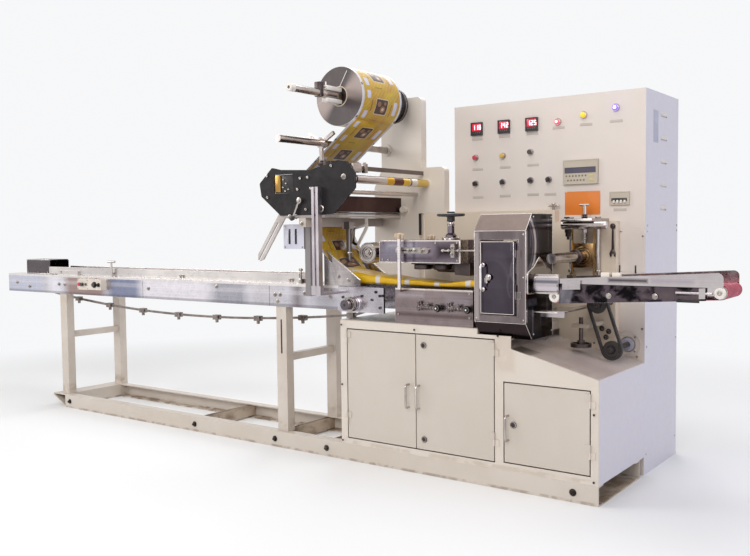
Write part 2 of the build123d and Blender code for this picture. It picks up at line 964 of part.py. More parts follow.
def panel_round(x, drop, steps):
    # A round panel piece, given as (radius, reach) steps that stand on the panel
    plane = Plane(origin=(x, cabinet_rear_y, control_height - drop), x_dir=(1, 0, 0), z_dir=(0, -1, 0))
    piece = None
    for radius, reach in steps:
        step = extrude(plane * Circle(radius), amount=reach)
        piece = step if piece is None else piece + step
    return piece


def temperature_controllers():
    return [
        panel_box(left, controller_width, controller_drop, controller_height, controller_depth)
        for left in controller_left_x
    ]


def display_and_breaker():
    return [
        panel_box(display_left_x, display_width, display_drop, display_height, display_depth),
        panel_box(breaker_left_x, breaker_width, breaker_drop, breaker_height, breaker_depth),
    ]


def indicator_lamps():
    steps = ((lamp_bezel_radius, lamp_bezel_depth), (lamp_lens_radius, lamp_lens_depth))
    return [panel_round(x, drop, steps) for x, drop in lamp_places]


def push_buttons():
    steps = ((button_ring_radius, button_ring_depth), (button_cap_radius, button_cap_depth))
    return [panel_round(x, drop, steps) for x, drop in button_places]


def machine_wall():
    outline = [
        (wall_left_x, deck_z), (deck_right_x, deck_z), (deck_right_x, chute_z(deck_right_x)),
        (wall_right_x, chute_z(wall_right_x)), (wall_right_x, wall_right_top_z),
        (wall_step_x, wall_right_top_z), (wall_step_x, wall_left_top_z), (wall_left_x, wall_left_top_z),
    ]
    return [front_profile(outline, wall_front_y, cabinet_rear_y)]


def unwind_stand():
    # The cream stand with the shelf for the printer and the mast for the reel
    outline = [
        (stand_foot_left_x, deck_z), (stand_neck_x, deck_z), (stand_neck_x, wall_left_top_z),
        (stand_shelf_right_x, wall_left_top_z), (stand_shelf_right_x, stand_shelf_top_z),
        (stand_mast_right_x, stand_shelf_top_z), (stand_mast_right_x, stand_top_z),
        (stand_mast_left_x, stand_top_z), (stand_mast_left_x, stand_shelf_top_z),
        (stand_left_x, stand_shelf_top_z - stand_shoulder_drop),
        (stand_left_x, deck_z + stand_flare_height),
        (stand_foot_left_x, deck_z + stand_foot_height),
    ]
    stand = front_profile(outline, wall_front_y, cabinet_rear_y)
    corners = stand.edges().filter_by(Axis.Y)
    rounded = [
        corners.sort_by_distance((x, 0, z))[0]
        for x, z in (
            (stand_shelf_right_x, stand_shelf_top_z), (stand_mast_right_x, stand_top_z),
            (stand_mast_left_x, stand_top_z),
        )
    ]
    stand = fillet(rounded, stand_corner_radius)
    bore = shaft_radius + fit_gap
    for x, z in ((reel_x, reel_z), (spare_x, spare_z)):
        stand += rod_y(x, z, bore + bearing_ring, wall_front_y - bearing_height, wall_front_y)
        stand -= rod_y(x, z, bore, wall_front_y - bearing_height - cut_over, cabinet_rear_y + cut_over)
    stand += rod_y(
        stand_knob_x, stand_knob_z, stand_knob_radius, wall_front_y - stand_knob_reach, wall_front_y,
    )
    return [stand]


def shaft_collar(x, z):
    # The collar that keeps a shaft in the stand, behind the plate
    front = cabinet_rear_y + collar_clearance
    return rod_y(x, z, shaft_radius + collar_step, front, front + collar_length)


def reel_shaft():
    # Shaft with the brake disc in front of the stand and a chuck on each side of the reel
    brake_rear = wall_front_y - bearing_height - running_gap
    half = film_width / 2
    shaft = rod_y(reel_x, reel_z, shaft_radius, shaft_front_y, cabinet_rear_y + shaft_tail)
    shaft += rod_y(reel_x, reel_z, brake_radius, brake_rear - brake_thickness, brake_rear)
    shaft += rod_y(reel_x, reel_z, chuck_radius, half, half + chuck_thickness)
    shaft += rod_y(reel_x, reel_z, chuck_radius, -half - chuck_thickness, -half)
    nut_front = -half - chuck_thickness - chuck_nut_length
    shaft += rod_y(reel_x, reel_z, chuck_nut_radius, nut_front, -half)
    return [shaft + shaft_collar(reel_x, reel_z)]


def film_reel():
    half = film_width / 2
    roll = rod_y(reel_x, reel_z, reel_radius, -half, half)
    return [roll - rod_y(reel_x, reel_z, shaft_radius, -half - cut_over, half + cut_over)]


def spare_shaft():
    shaft = rod_y(spare_x, spare_z, shaft_radius, -spare_reach, cabinet_rear_y + shaft_tail)
    shaft += shaft_collar(spare_x, spare_z)
    shaft += rod_y(spare_x, spare_z, spare_hub_radius, spare_arm_y, spare_arm_y + spare_hub_length)
    plane = Plane(origin=(spare_x, spare_arm_y, spare_z), x_dir=(1, 0, 0), z_dir=(0, 1, 0))
    arm = Pos(spare_arm_radius / 2, 0) * Rectangle(spare_arm_radius, spare_arm_width)
    for turn in range(spare_arm_count):
        angle = 90 + turn * 360 / spare_arm_count
        shaft += extrude(plane * (Rot(0, 0, angle) * arm), amount=spare_arm_thickness)
    return [shaft]


def web_path():
    slope = math.radians(web_slope_degrees)
    lift = reel_radius + fit_gap + film_thickness / 2
    start = (reel_x + lift * math.sin(slope), reel_z - lift * math.cos(slope))
    reach = (start[0] - web_corner_1_x) / math.cos(slope)
    first = (web_corner_1_x, start[1] - reach * math.sin(slope))
    return [start, first, web_corner_2, web_corner_3, web_end]


def film_web():
    # The film as one thin sheet that leaves the reel at a tangent and bends round its rollers
    radius = web_roller_radius + fit_gap + film_thickness / 2
    line = FilletPolyline(*web_path(), radius=radius)
    section = offset(line, film_thickness / 2, kind=Kind.INTERSECTION)
    plane = Plane(origin=(0, -film_width / 2, 0), x_dir=(1, 0, 0), z_dir=(0, -1, 0))
    return [extrude(plane * make_face(section), amount=film_width, dir=(0, 1, 0))]


def printer_front_plate():
    plate = front_profile(printer_outline, printer_front_y, printer_rear_y)
    plate = fillet(plate.edges().filter_by(Axis.Y), printer_corner_radius)
    through = (printer_front_y - cut_over, printer_rear_y + cut_over)
    return [plate - block((window_left_x, window_right_x), through, (window_bottom_z, window_top_z))]


def type_wheels():
    # The ganged type wheels behind the window, on an axle from a bracket beside it
    x = (window_left_x + window_right_x) / 2
    front = printer_rear_y
    rear = front + type_wheel_setback + len(type_wheel_radii) * type_wheel_width
    wheels = [(radius, type_wheel_width) for radius in type_wheel_radii]
    gang = turned_y(x, type_wheel_z, wheels, front + type_wheel_setback)
    gang += rod_y(
        x, type_wheel_z, type_axle_radius, front + type_wheel_setback, rear + type_holder_thickness,
    )
    bracket_x = (window_right_x, window_right_x + type_holder_thickness)
    gang += block(bracket_x, (front, rear + type_holder_thickness), (window_bottom_z, window_top_z))
    gang += block(
        (x, window_right_x), (rear, rear + type_holder_thickness),
        (type_wheel_z - type_wheel_width, type_wheel_z + type_wheel_width),
    )
    return gang


def printer_rollers():
    # Web roller, type wheels, chrome roller, lower roller, tie rod and the flat guide bar with its clamp
    points = web_path()
    centre = bend_centre(points[0], points[1], points[2], web_roller_radius + fit_gap + film_thickness / 2)
    end = film_width / 2 + web_roller_margin
    web_roller = rod_y(centre.X, centre.Y, web_roller_radius, -end, end)
    rollers = [web_roller + rod_y(centre.X, centre.Y, web_axle_radius, printer_rear_y, -end), type_wheels()]
    for x, z, radius in (chrome_roller, lower_roller, tie_rod):
        rollers.append(rod_y(x, z, radius, printer_rear_y, wall_front_y))
    bar_x = (guide_bar_x - guide_bar_thickness / 2, guide_bar_x + guide_bar_thickness / 2)
    bar = block(bar_x, (printer_rear_y, wall_front_y), (guide_bar_z, guide_bar_z + guide_bar_height))
    middle_z = guide_bar_z + guide_bar_height / 2
    bar += block(
        (guide_bar_x, guide_bar_x + bar_clamp_width), (printer_rear_y, printer_rear_y + bar_clamp_length),
        (middle_z - bar_clamp_height / 2, middle_z + bar_clamp_height / 2),
    )
    rollers.append(bar)
    return rollers


def printer_housing():
    y_range = (printer_rear_y, wall_front_y)
    return [block((housing_left_x, housing_right_x), y_range, (housing_bottom_z, housing_top_z))]


def printer_lever():
    front = printer_front_y - lever_stand_off
    angle = math.radians(lever_angle)
    tip_x = lever_x + lever_length * math.cos(angle)
    tip_z = lever_z + lever_length * math.sin(angle)
    plane = Plane(origin=(lever_x, front, lever_z), x_dir=(1, 0, 0), z_dir=(0, -1, 0))
    arm = Rot(0, 0, lever_angle) * Pos(lever_length / 2, 0) * Rectangle(lever_length, lever_width)
    lever = rod_y(lever_x, lever_z, lever_hub_radius, front, printer_front_y - fit_gap)
    lever += extrude(plane * arm, amount=lever_thickness, dir=(0, 1, 0))
    return [lever + rod_y(tip_x, tip_z, lever_knob_radius, front, front + lever_knob_radius)]


def printer_support():
    # Beam from the stand, L-shaped base bar, inner post with its foot, and the sensor box
    bar_z = (base_bar_z, base_bar_top_z)
    post_rear = base_bar_rear_y
    post_x = (inner_post_left_x, beam_left_x)
    foot_z = (inner_post_bottom_z, inner_post_bottom_z + inner_post_foot_height)
    support = block(
        (beam_left_x, beam_right_x), (printer_front_y, wall_front_y), (beam_bottom_z, base_bar_z),
    )
    support += block((base_bar_left_x, base_bar_right_x), (printer_front_y, post_rear), bar_z)
    support += block(
        (base_bar_right_x - base_bar_width, base_bar_right_x), (post_rear, wall_front_y), bar_z,
    )
    support += block(post_x, (post_rear - inner_post_depth, post_rear), (inner_post_bottom_z, base_bar_z))
    support += block(post_x, (post_rear, infeed_front_y), foot_z)
    support += block(
        (sensor_left_x, inner_post_left_x), (sensor_front_y, sensor_front_y + sensor_depth),
        (sensor_bottom_z, sensor_top_z),
    )
    hanger_y_range = (hanger_y - hanger_block / 2, hanger_y + hanger_block / 2)
    support += block(
        (beam_right_x, hanger_x + hanger_block / 2), hanger_y_range,
        (hanger_high_z - hanger_block, hanger_high_z),
    )
    return [support + former_hanger()]


def former_hanger():
    # The bright post that hangs from the beam over the former, with its tapered end
    low = hanger_low_z
    top = hanger_high_z - hanger_block
    outline = [
        (0, low), (hanger_radius / 2, low), (hanger_radius, low + hanger_radius),
        (hanger_radius, top), (0, top),
    ]
    return turned_z(hanger_x, hanger_y, outline)


def printer_arm():
    # Two flat bars with a slot between them and a pointed free end, behind the front plate
    dx = slant_arm_tip[0] - slant_arm_root[0]
    dz = slant_arm_tip[1] - slant_arm_root[1]
    length = math.hypot(dx, dz)
    half = slant_arm_slot / 2 + slant_arm_bar
    outline = Polyline(
        (0, -half), (length - slant_arm_point, -half), (length, 0),
        (length - slant_arm_point, half), (0, half),
        close=True,
    )
    slot = Pos((length + slant_arm_head) / 2, 0) * Rectangle(
        length - slant_arm_head + cut_over, slant_arm_slot,
    )
    face = make_face(outline) - slot
    plane = Plane(
        origin=(slant_arm_root[0], printer_rear_y, slant_arm_root[1]), x_dir=(1, 0, 0), z_dir=(0, -1, 0),
    )
    turned = plane * (Rot(0, 0, math.degrees(math.atan2(dz, dx))) * face)
    return [extrude(turned, amount=slant_arm_thickness, dir=(0, 1, 0))]


def slotted_post():
    # Grooved aluminium post on a foot that reaches back to the head plate
    left = alu_post_left_x
    right = left + alu_post_width
    front = printer_front_y - alu_post_depth
    middle = (left + right) / 2
    groove_x = (middle - alu_groove_width / 2, middle + alu_groove_width / 2)
    post = block((left, right), (front, printer_front_y), (alu_post_bottom_z, alu_post_top_z))
    post -= block(
        groove_x, (front - cut_over, front + alu_groove_depth),
        (alu_post_bottom_z - cut_over, alu_post_top_z + cut_over),
    )
    foot_x = (left - alu_foot_margin, right + alu_foot_margin)
    foot_low = alu_post_bottom_z - alu_foot_drop
    foot = block(foot_x, (front, front + alu_foot_thickness), (foot_low, alu_post_bottom_z))
    foot += block(
        foot_x, (front, infeed_front_y - head_plate_stand_off), (foot_low, foot_low + alu_foot_sheet),
    )
    return [post + foot]


def infeed_side_plates():
    sheet = infeed_sheet
    slot = infeed_slot / 2
    top = infeed_top_z
    front_y = infeed_front_y
    rear_y = infeed_half_width
    front = side_profile(
        [
            (front_y, infeed_bottom_z), (front_y + sheet, infeed_bottom_z), (front_y + sheet, top - sheet),
            (-slot, top - sheet), (-slot, top), (front_y, top),
        ],
        infeed_left_x, infeed_right_x,
    )
    rear = side_profile(
        [
            (rear_y, leg_top_z), (rear_y, top), (slot, top), (slot, top - sheet),
            (rear_y - sheet, top - sheet), (rear_y - sheet, leg_top_z),
        ],
        infeed_left_x, infeed_right_x,
    )
    track = block(
        (tail_shaft_x, infeed_right_x), (-chain_width, chain_width), (leg_top_z, leg_top_z + track_height),
    )
    return [front, rear, track]


def leg_frame(x):
    # An H-shaped leg frame that stands on both rails
    x_range = (x - leg_width / 2, x + leg_width / 2)
    front = infeed_front_y + infeed_sheet
    rear = rail_rear_y
    frame = block(x_range, (front, front + leg_depth), (rail_height, leg_top_z))
    frame += block(x_range, (rear - leg_depth, rear), (rail_height, leg_top_z))
    frame += block(x_range, (front, rear), (leg_top_z - cross_bar_height, leg_top_z))
    half = mid_bar_width / 2
    return frame + block((x - half, x + half), (front, rear), (mid_bar_z, mid_bar_z + mid_bar_height))


def infeed_legs():
    return [leg_frame(left_leg_x), leg_frame(right_leg_x)]


def infeed_tail_cover():
    # A folded cover over the tail, open towards the product lane
    half = tail_cover_half_width
    sheet = tail_cover_sheet

    def section(inset, bottom):
        side = half - inset
        return [
            (-side, bottom), (-side, tail_cover_shoulder_z),
            (tail_cover_bevel - half, tail_cover_top_z - inset),
            (half - tail_cover_bevel, tail_cover_top_z - inset),
            (side, tail_cover_shoulder_z), (side, bottom),
        ]

    skin = side_profile(section(0, infeed_top_z), tail_cover_left_x, tail_cover_right_x)
    hollow = side_profile(
        section(sheet, infeed_top_z - cut_over), tail_cover_left_x + sheet, tail_cover_right_x + cut_over,
    )
    return [skin - hollow]


def guide_rails():
    # Two product rails on short feet, the end block, and the T clamp beside the front rail
    rails = []
    for side in (-1, 1):
        y = sorted((side * rail_offset_y, side * (rail_offset_y + rail_thickness)))
        rail = block((guide_left_end_x, guide_right_end_x), y, (rail_bottom_z, rail_top_z))
        for x in rail_foot_x:
            rail += block((x, x + rail_foot_length), y, (infeed_top_z, rail_bottom_z))
        rails.append(rail)
    outer_y = -rail_offset_y - rail_thickness
    rails[0] += block(
        (end_block_left_x, end_block_right_x), (outer_y - end_block_thickness, outer_y),
        (infeed_top_z, infeed_top_z + end_block_height),
    )
    rails[0] += rod_z(t_clamp_x, t_clamp_post_y, t_clamp_post_radius, infeed_top_z, t_clamp_z)
    rails[0] += rod_x(
        t_clamp_post_y, t_clamp_z, t_clamp_radius, t_clamp_x - t_clamp_length / 2,
        t_clamp_x + t_clamp_length / 2,
    )
    rails[0] += block(
        (t_clamp_x - t_clamp_radius, t_clamp_x + t_clamp_radius), (t_clamp_post_y, outer_y),
        (rail_bottom_z, rail_bottom_z + 2 * t_clamp_radius),
    )
    return rails


def switch_boxes():
    front = infeed_front_y - switch_box_depth
    top = switch_box_bottom_z + switch_box_height
    y_range = (front, infeed_front_y)
    boxes = block((switch_box_left_x, switch_box_split_x), y_range, (switch_box_bottom_z, top))
    boxes += block(
        (switch_box_split_x, switch_box_right_x), y_range,
        (switch_box_bottom_z + switch_box_step, top - switch_box_step),
    )
    middle_z = (switch_box_bottom_z + top) / 2
    for low, high in ((switch_box_left_x, switch_box_split_x), (switch_box_split_x, switch_box_right_x)):
        boxes += rod_y((low + high) / 2, middle_z, switch_knob_radius, front - switch_knob_length, front)
    return [boxes]


def infeed_head_plates():
    # The end plates of the infeed with the head shaft, its collar, spring and washer
    x_range = (infeed_right_x, head_plate_right_x)
    z_range = (infeed_bottom_z - head_plate_margin_low, infeed_top_z - head_plate_margin_high)
    front = infeed_front_y
    outer = front - head_plate_stand_off
    head = block(x_range, (outer, front + head_plate_inner), z_range)
    head += block(x_range, (-front - head_plate_inner, -front + head_plate_inner), z_range)
    head += rod_y(head_shaft_x, head_shaft_z, head_shaft_radius, outer, -front + head_plate_inner)
    steps = (
        (head_washer_radius, head_washer_length), (head_spring_radius, head_spring_length),
        (head_collar_radius, head_collar_length),
    )
    nose = outer - sum(length for radius, length in steps)
    head += turned_y(head_shaft_x, head_shaft_z, steps, nose)
    return [head - rod_y(
        head_shaft_x, head_shaft_z, head_shaft_bore, nose - cut_over, nose + head_washer_length,
    )]


def ribbon(points, thickness):
    # A closed band of even thickness whose middle line runs through the points
    count = len(points)
    outer = []
    inner = []
    for index, point in enumerate(points):
        before = Vector(*points[index - 1])
        after = Vector(*points[(index + 1) % count])
        along = (after - before).normalized()
        aside = Vector(-along.Y, along.X) * (thickness / 2)
        outer.append((point[0] + aside.X, point[1] + aside.Y))
        inner.append((point[0] - aside.X, point[1] - aside.Y))
    return make_face(Polyline(*outer, close=True)) - make_face(Polyline(*inner, close=True))


def sag_z(x):
    # Height of the chain's slack lower run
    return chain_low_z + chain_curve * (x - chain_low_x) ** 2


def chain_line():
    # Taut over the track, round a sprocket at each end and sagging underneath
    centre_z = leg_top_z + track_height + chain_link_height / 2 - sprocket_radius
    points = []
    for x, start_angle in ((head_shaft_x, 90), (tail_shaft_x, -90)):
        for step in range(chain_arc_steps + 1):
            angle = math.radians(start_angle - step * 180 / chain_arc_steps)
            points.append((
                x + sprocket_radius * math.cos(angle), centre_z + sprocket_radius * math.sin(angle),
            ))
        if start_angle > 0:
            first = head_shaft_x - chain_run_off
            last = tail_shaft_x + 2 * chain_run_off
            for step in range(chain_sag_steps + 1):
                sag_x = first + (last - first) * step / chain_sag_steps
                points.append((sag_x, sag_z(sag_x)))
    return points


def infeed_chain():
    plane = Plane(origin=(0, -chain_width / 2, 0), x_dir=(1, 0, 0), z_dir=(0, -1, 0))
    band = ribbon(chain_line(), chain_link_height - 2 * fit_gap)
    chain = extrude(plane * band, amount=chain_width, dir=(0, 1, 0))
    half = lug_length / 2
    pin = lug_pin_length / 2
    for index in range(lug_count):
        x = lug_first_x + index * lug_pitch
        z = sag_z(x)
        chain += block((x - half, x + half), (-chain_width, chain_width), (z - lug_below, z + lug_above))
        chain += block((x - pin, x + pin), (-chain_width / 2, chain_width / 2), (z - lug_pin_drop, z))
    return [chain]


def former_plates():
    # Two shoulder plates on a flat tray, over which the film folds round the product
    left, apex_z = former_apex
    right = former_right_x
    floor = infeed_top_z + former_tray
    outline = [former_apex, (right, former_right_z), (right, floor), (left, floor)]
    front = front_profile(outline, -former_half_width, former_sheet - former_half_width)
    rear = front_profile(outline, former_half_width - former_sheet, former_half_width)
    tray = block((left, right), (-former_half_width, former_half_width), (infeed_top_z, floor))
    return [front + rear + tray]


def film_tube():
    # The folded film between the former and the jaws, as rounded sections along the line
    sections = []
    for x, half_width, height in tube_sections:
        plane = Plane(origin=(x, 0, tube_low_z + height / 2), x_dir=(0, 1, 0), z_dir=(1, 0, 0))
        sections.append(plane * RectangleRounded(2 * half_width, height, height * tube_round_ratio))
    return [loft(sections)]


def fin_upper_box():
    # The upper seal housing with its arms to the wall, the disc's arm and the screw tower
    left = upper_box_left_x
    low = upper_box_bottom_z
    top = upper_box_top_z
    box = block((left, upper_box_right_x), (fin_front_y, upper_box_rear_y), (low, top))
    arm_z = (low + upper_arm_rise, low + upper_arm_rise + upper_arm_height)
    for inset in upper_arm_inset:
        box += block(
            (left + inset, left + inset + upper_arm_width), (upper_box_rear_y, wall_front_y), arm_z,
        )
    arm_front = fin_front_y + disc_length + disc_hub_reach
    half = disc_arm_height / 2
    box += block(
        (disc_x - disc_arm_margin, left), (arm_front, arm_front + disc_arm_thickness),
        (disc_z - half, disc_z + half),
    )
    tower_top = top + tower_height
    outline = [
        (0, top), (tower_base_radius, top), (tower_base_radius, top + tower_height / 3),
        (tower_neck_radius, top + tower_height / 2), (tower_neck_radius, tower_top), (0, tower_top),
    ]
    tower = turned_z(handwheel_x, handwheel_y, outline)
    bore = screw_radius + fit_gap
    return [box + tower - rod_z(
        handwheel_x, handwheel_y, bore, top + tower_bore_floor, tower_top + cut_over,
    )]


def disc_roller():
    # A turned roller with a stepped, recessed front face
    rear = fin_front_y + disc_length
    roller = rod_y(disc_x, disc_z, disc_radius, fin_front_y, rear)
    roller -= rod_y(
        disc_x, disc_z, disc_recess_radius, fin_front_y - cut_over, fin_front_y + disc_recess_depth,
    )
    return [roller + rod_y(
        disc_x, disc_z, disc_hub_radius, fin_front_y - disc_hub_reach, rear + disc_hub_reach,
    )]


def handwheel():
    # A dished wheel turned from one outline, on the screw that sets the seal height
    rim = handwheel_z + handwheel_rim
    dish = handwheel_z - handwheel_dish
    hub = handwheel_hub_radius
    outline = [
        (0, handwheel_z - handwheel_hub_length), (hub, handwheel_z - handwheel_hub_length), (hub, dish),
        (handwheel_radius - handwheel_rim, handwheel_z - handwheel_rim / 2),
        (handwheel_radius, handwheel_z),
        (handwheel_radius, rim), (handwheel_radius - handwheel_rim, rim + handwheel_rim / 4),
        (hub, handwheel_z), (hub, rim + handwheel_cap), (0, rim + handwheel_cap),
    ]
    screw = rod_z(
        handwheel_x, handwheel_y, screw_radius, upper_box_top_z + 2 * tower_bore_floor, handwheel_z,
    )
    return [turned_z(handwheel_x, handwheel_y, outline) + screw]


def fin_slide_bar():
    # The slotted slide with its knob, the end stop and its rod, on the upper box's front
    rear = fin_front_y
    half = slide_height / 2
    bar = block(
        (slide_left_x + half, slide_right_x - half), (rear - slide_thickness, rear),
        (slide_z - half, slide_z + half),
    )
    for x in (slide_left_x + half, slide_right_x - half):
        bar += rod_y(x, slide_z, half, rear - slide_thickness, rear)
    bar += rod_y(slide_knob_x, slide_z, slide_knob_radius, rear - slide_thickness - slide_knob_length, rear)
    stop_z = (slide_z - stop_height / 2, slide_z + stop_height / 2)
    stop = block((stop_x - stop_width / 2, stop_x + stop_width / 2), (rear - stop_depth, rear), stop_z)
    stop += rod_x(rear - stop_depth / 2, slide_z, stop_rod_radius, stop_rod_left_x, stop_rod_right_x)
    return [bar, stop]


def fin_lower_box():
    # The lower seal housing with its foot, the guide post and two levers with round knobs
    front = fin_front_y
    x_range = (lower_box_left_x, lower_box_right_x)
    box = block(x_range, (front, wall_front_y), (lower_box_bottom_z, lower_box_top_z))
    box += block(x_range, (front, front + lower_box_foot_depth), (deck_z, lower_box_bottom_z))
    post_y = front - guide_post_radius - slide_thickness - running_gap
    foot = guide_post_foot
    box += block(
        (guide_post_x - foot, guide_post_x + foot), (post_y - foot, front),
        (lower_box_top_z - guide_post_foot_drop, lower_box_top_z + cabinet_sheet),
    )
    box += rod_z(guide_post_x, post_y, guide_post_radius, lower_box_top_z + cabinet_sheet, guide_post_top_z)
    half = lever_row_bar / 2
    for bar_left, knob_x in lever_rows:
        stem_front = front - lever_row_stem_length - lever_row_bar
        box += block(
            (bar_left, knob_x), (stem_front, stem_front + lever_row_bar),
            (lever_row_z - half, lever_row_z + half),
        )
        box += rod_y(bar_left + lever_row_bar, lever_row_z, lever_row_stem_radius, stem_front, front)
        box += rod_y(knob_x, lever_row_z, lever_row_stem_radius, stem_front, front)
        box += rod_y(
            knob_x, lever_row_z, lever_row_knob_radius,
            front - lever_row_knob_length, stem_front + lever_row_bar,
        )
    return [box]


def cover_profile(sheet):
    # The cover's outline from the side, or with a sheet thickness its hollow, open at the bottom and back
    overrun = cut_over if sheet else 0
    low = well_floor_z - overrun
    rear = cover_rear_y + overrun
    return [
        (cover_front_y + sheet, cover_face_bottom_z + sheet / 2),
        (cover_front_y + sheet, cover_face_top_z - sheet / 2),
        (cover_chamfer_y + sheet / 2, cover_top_z - sheet), (rear, cover_top_z - sheet),
        (rear, low), (cover_chamfer_y + sheet, low),
    ]


def jaw_cover():
    # A folded stainless hood with a tunnel arch in both sides and a framed door opening
    sheet = cover_sheet
    cover = side_profile(cover_profile(0), cover_left_x, cover_right_x)
    cover -= side_profile(cover_profile(sheet), cover_left_x + sheet, cover_right_x - sheet)
    arch = [
        (arch_front_y, arch_sill_z), (arch_front_y, arch_foot_z), (arch_apex_y, arch_apex_z),
        (arch_rear_y, arch_foot_z), (arch_rear_y, arch_sill_z),
    ]
    cover -= side_profile(arch, cover_left_x - cut_over, cover_right_x + cut_over)
    through = (cover_front_y - cut_over, cover_front_y + sheet + cut_over)
    cover -= block((guard_left_x, guard_right_x), through, (guard_bottom_z, guard_top_z))
    for z in hinge_levels(guard_bottom_z, guard_top_z - guard_bottom_z):
        cover += hinge_half(guard_right_x - door_gap / 2, 1, z, cover_front_y)
    return [cover]


def guard_door():
    left = guard_left_x + door_gap
    right = guard_right_x - door_gap
    low = guard_bottom_z + door_gap
    high = guard_top_z - door_gap
    front = cover_front_y
    sheet = guard_sheet
    leaf = block((left, right), (front, front + guard_thickness), (low, high))
    leaf -= block(
        (left + sheet, right - sheet), (front + sheet, front + guard_thickness),
        (low + sheet, high - sheet),
    )
    for z in hinge_levels(guard_bottom_z, guard_top_z - guard_bottom_z):
        leaf += hinge_half(guard_right_x - door_gap / 2, -1, z + hinge_height + fit_gap, front)
    return [leaf]


def guard_door_handle():
    return [pull_handle(
        guard_left_x + guard_handle_inset, guard_bottom_z + guard_handle_rise, cover_front_y,
    )]


def sealing_jaws():
    # Two shafts with toothed sealing bars that stop just short of each other
    jaws = []
    for z, side in ((jaw_upper_z, -1), (jaw_lower_z, 1)):
        jaw = rod_y(0, z, jaw_shaft_radius, jaw_shaft_front_y, wall_front_y)
        edge = jaw_meeting_z - side * jaw_gap_half
        bar_z = sorted((z + side * jaw_bar_root, edge))
        jaw += block((-jaw_bar_half_width, jaw_bar_half_width), (jaw_bar_front_y, jaw_bar_rear_y), bar_z)
        pitch = 2 * jaw_bar_half_width / jaw_tooth_count
        cut_z = sorted((edge - side * jaw_tooth_depth, edge + side * cut_over))
        for tooth in range(jaw_tooth_count - 1):
            x = (tooth + 1) * pitch - jaw_bar_half_width
            groove_x = (x - jaw_tooth_width / 2, x + jaw_tooth_width / 2)
            jaw -= block(groove_x, (jaw_bar_front_y - cut_over, jaw_bar_rear_y + cut_over), cut_z)
        jaws.append(jaw)
    return jaws


def side_drive():
    # Shaft in its bearing block between two columns, under the top plate with the pressure screw
    top = wall_right_top_z
    plate_top = top + top_plate_thickness
    shaft = rod_y(side_shaft_x, side_shaft_z, side_shaft_radius, side_shaft_front_y, wall_front_y)
    bearing = block(
        (side_shaft_x - bearing_half_width, side_shaft_x + bearing_half_width),
        (wall_front_y - bearing_depth, wall_front_y), (bearing_bottom_z, bearing_top_z),
    )
    bearing = chamfer(bearing.faces().sort_by(Axis.Y)[0].edges(), panel_chamfer)
    plate = block(
        (cover_right_x + head_plate_gap, top_plate_right_x),
        (top_plate_front_y, wall_front_y), (top, plate_top),
    )
    middle_y = wall_front_y - bearing_depth / 2
    drive = shaft + bearing + plate
    foot = column_foot
    for side in (-1, 1):
        x = side_shaft_x + side * column_offset
        drive += rod_z(x, middle_y, column_radius, column_bottom_z, top)
        drive += block(
            (x - foot, x + foot), (middle_y - foot, wall_front_y),
            (column_bottom_z - foot, column_bottom_z),
        )
    drive += rod_z(side_shaft_x, middle_y, pressure_screw_radius, bearing_top_z, pressure_screw_top_z)
    drive += rod_z(side_shaft_x, middle_y, pressure_spring_radius, (bearing_top_z + top) / 2, top)
    bar_half = pressure_bar_length / 2
    drive += rod_x(
        middle_y, pressure_screw_top_z, pressure_bar_radius,
        side_shaft_x - bar_half, side_shaft_x + bar_half,
    )
    return [drive]


def slope_at(x):
    # Height of the line through both conveyor rollers
    rise = (head_roller[1] - tail_roller[1]) / (head_roller[0] - tail_roller[0])
    return tail_roller[1] + (x - tail_roller[0]) * rise


def along_belt(x_left, x_right, low, high, y_range):
    # A plate that follows the conveyor's slope, between two heights over the roller line
    points = [
        (x_left, slope_at(x_left) + low), (x_right, slope_at(x_right) + low),
        (x_right, slope_at(x_right) + high), (x_left, slope_at(x_left) + high),
    ]
    return front_profile(points, *y_range)


def side_frame(side):
    # Product guide, side plate with the take-up slot, and the arm that holds the head roller
    y = sorted((side * guide_y, side * (guide_y - guide_sheet)))
    guide = along_belt(guide_left_x, guide_right_x, belt_radius, belt_radius + guide_height, y)
    end_corner = guide.edges().filter_by(Axis.Y).group_by(Axis.X)[-1].sort_by(Axis.Z)[-1]
    guide = fillet(end_corner, guide_corner_radius)
    plate = along_belt(side_plate_left_x, side_plate_right_x, -belt_radius, belt_radius, y)
    slot = take_up_slot_height / 2
    through = (y[0] - cut_over, y[1] + cut_over)
    plate -= along_belt(take_up_slot_left_x, take_up_slot_right_x, -slot, slot, through)
    arm_end = head_roller[0] + end_arm_reach
    arm = along_belt(side_plate_right_x, arm_end, -end_arm_half_height, belt_radius, y)
    return guide + plate + arm


def entry_guide():
    # The bowed sheet that leads packs out of the cover's arch to the front guide
    y = -guide_y
    middle_z = (entry_guide_low_z + entry_guide_high_z) / 2
    outer = ThreePointArc((y, entry_guide_low_z), (y - entry_guide_bow, middle_z), (y, entry_guide_high_z))
    inner_y = y + guide_sheet
    inner = ThreePointArc(
        (inner_y, entry_guide_high_z), (inner_y - entry_guide_bow, middle_z), (inner_y, entry_guide_low_z),
    )
    low_edge = Line((inner_y, entry_guide_low_z), (y, entry_guide_low_z))
    high_edge = Line((y, entry_guide_high_z), (inner_y, entry_guide_high_z))
    plane = Plane(origin=(entry_guide_left_x, 0, 0), x_dir=(0, 1, 0), z_dir=(1, 0, 0))
    face = plane * make_face([outer, high_edge, inner, low_edge])
    return extrude(face, amount=side_plate_left_x - entry_guide_left_x, dir=(1, 0, 0))


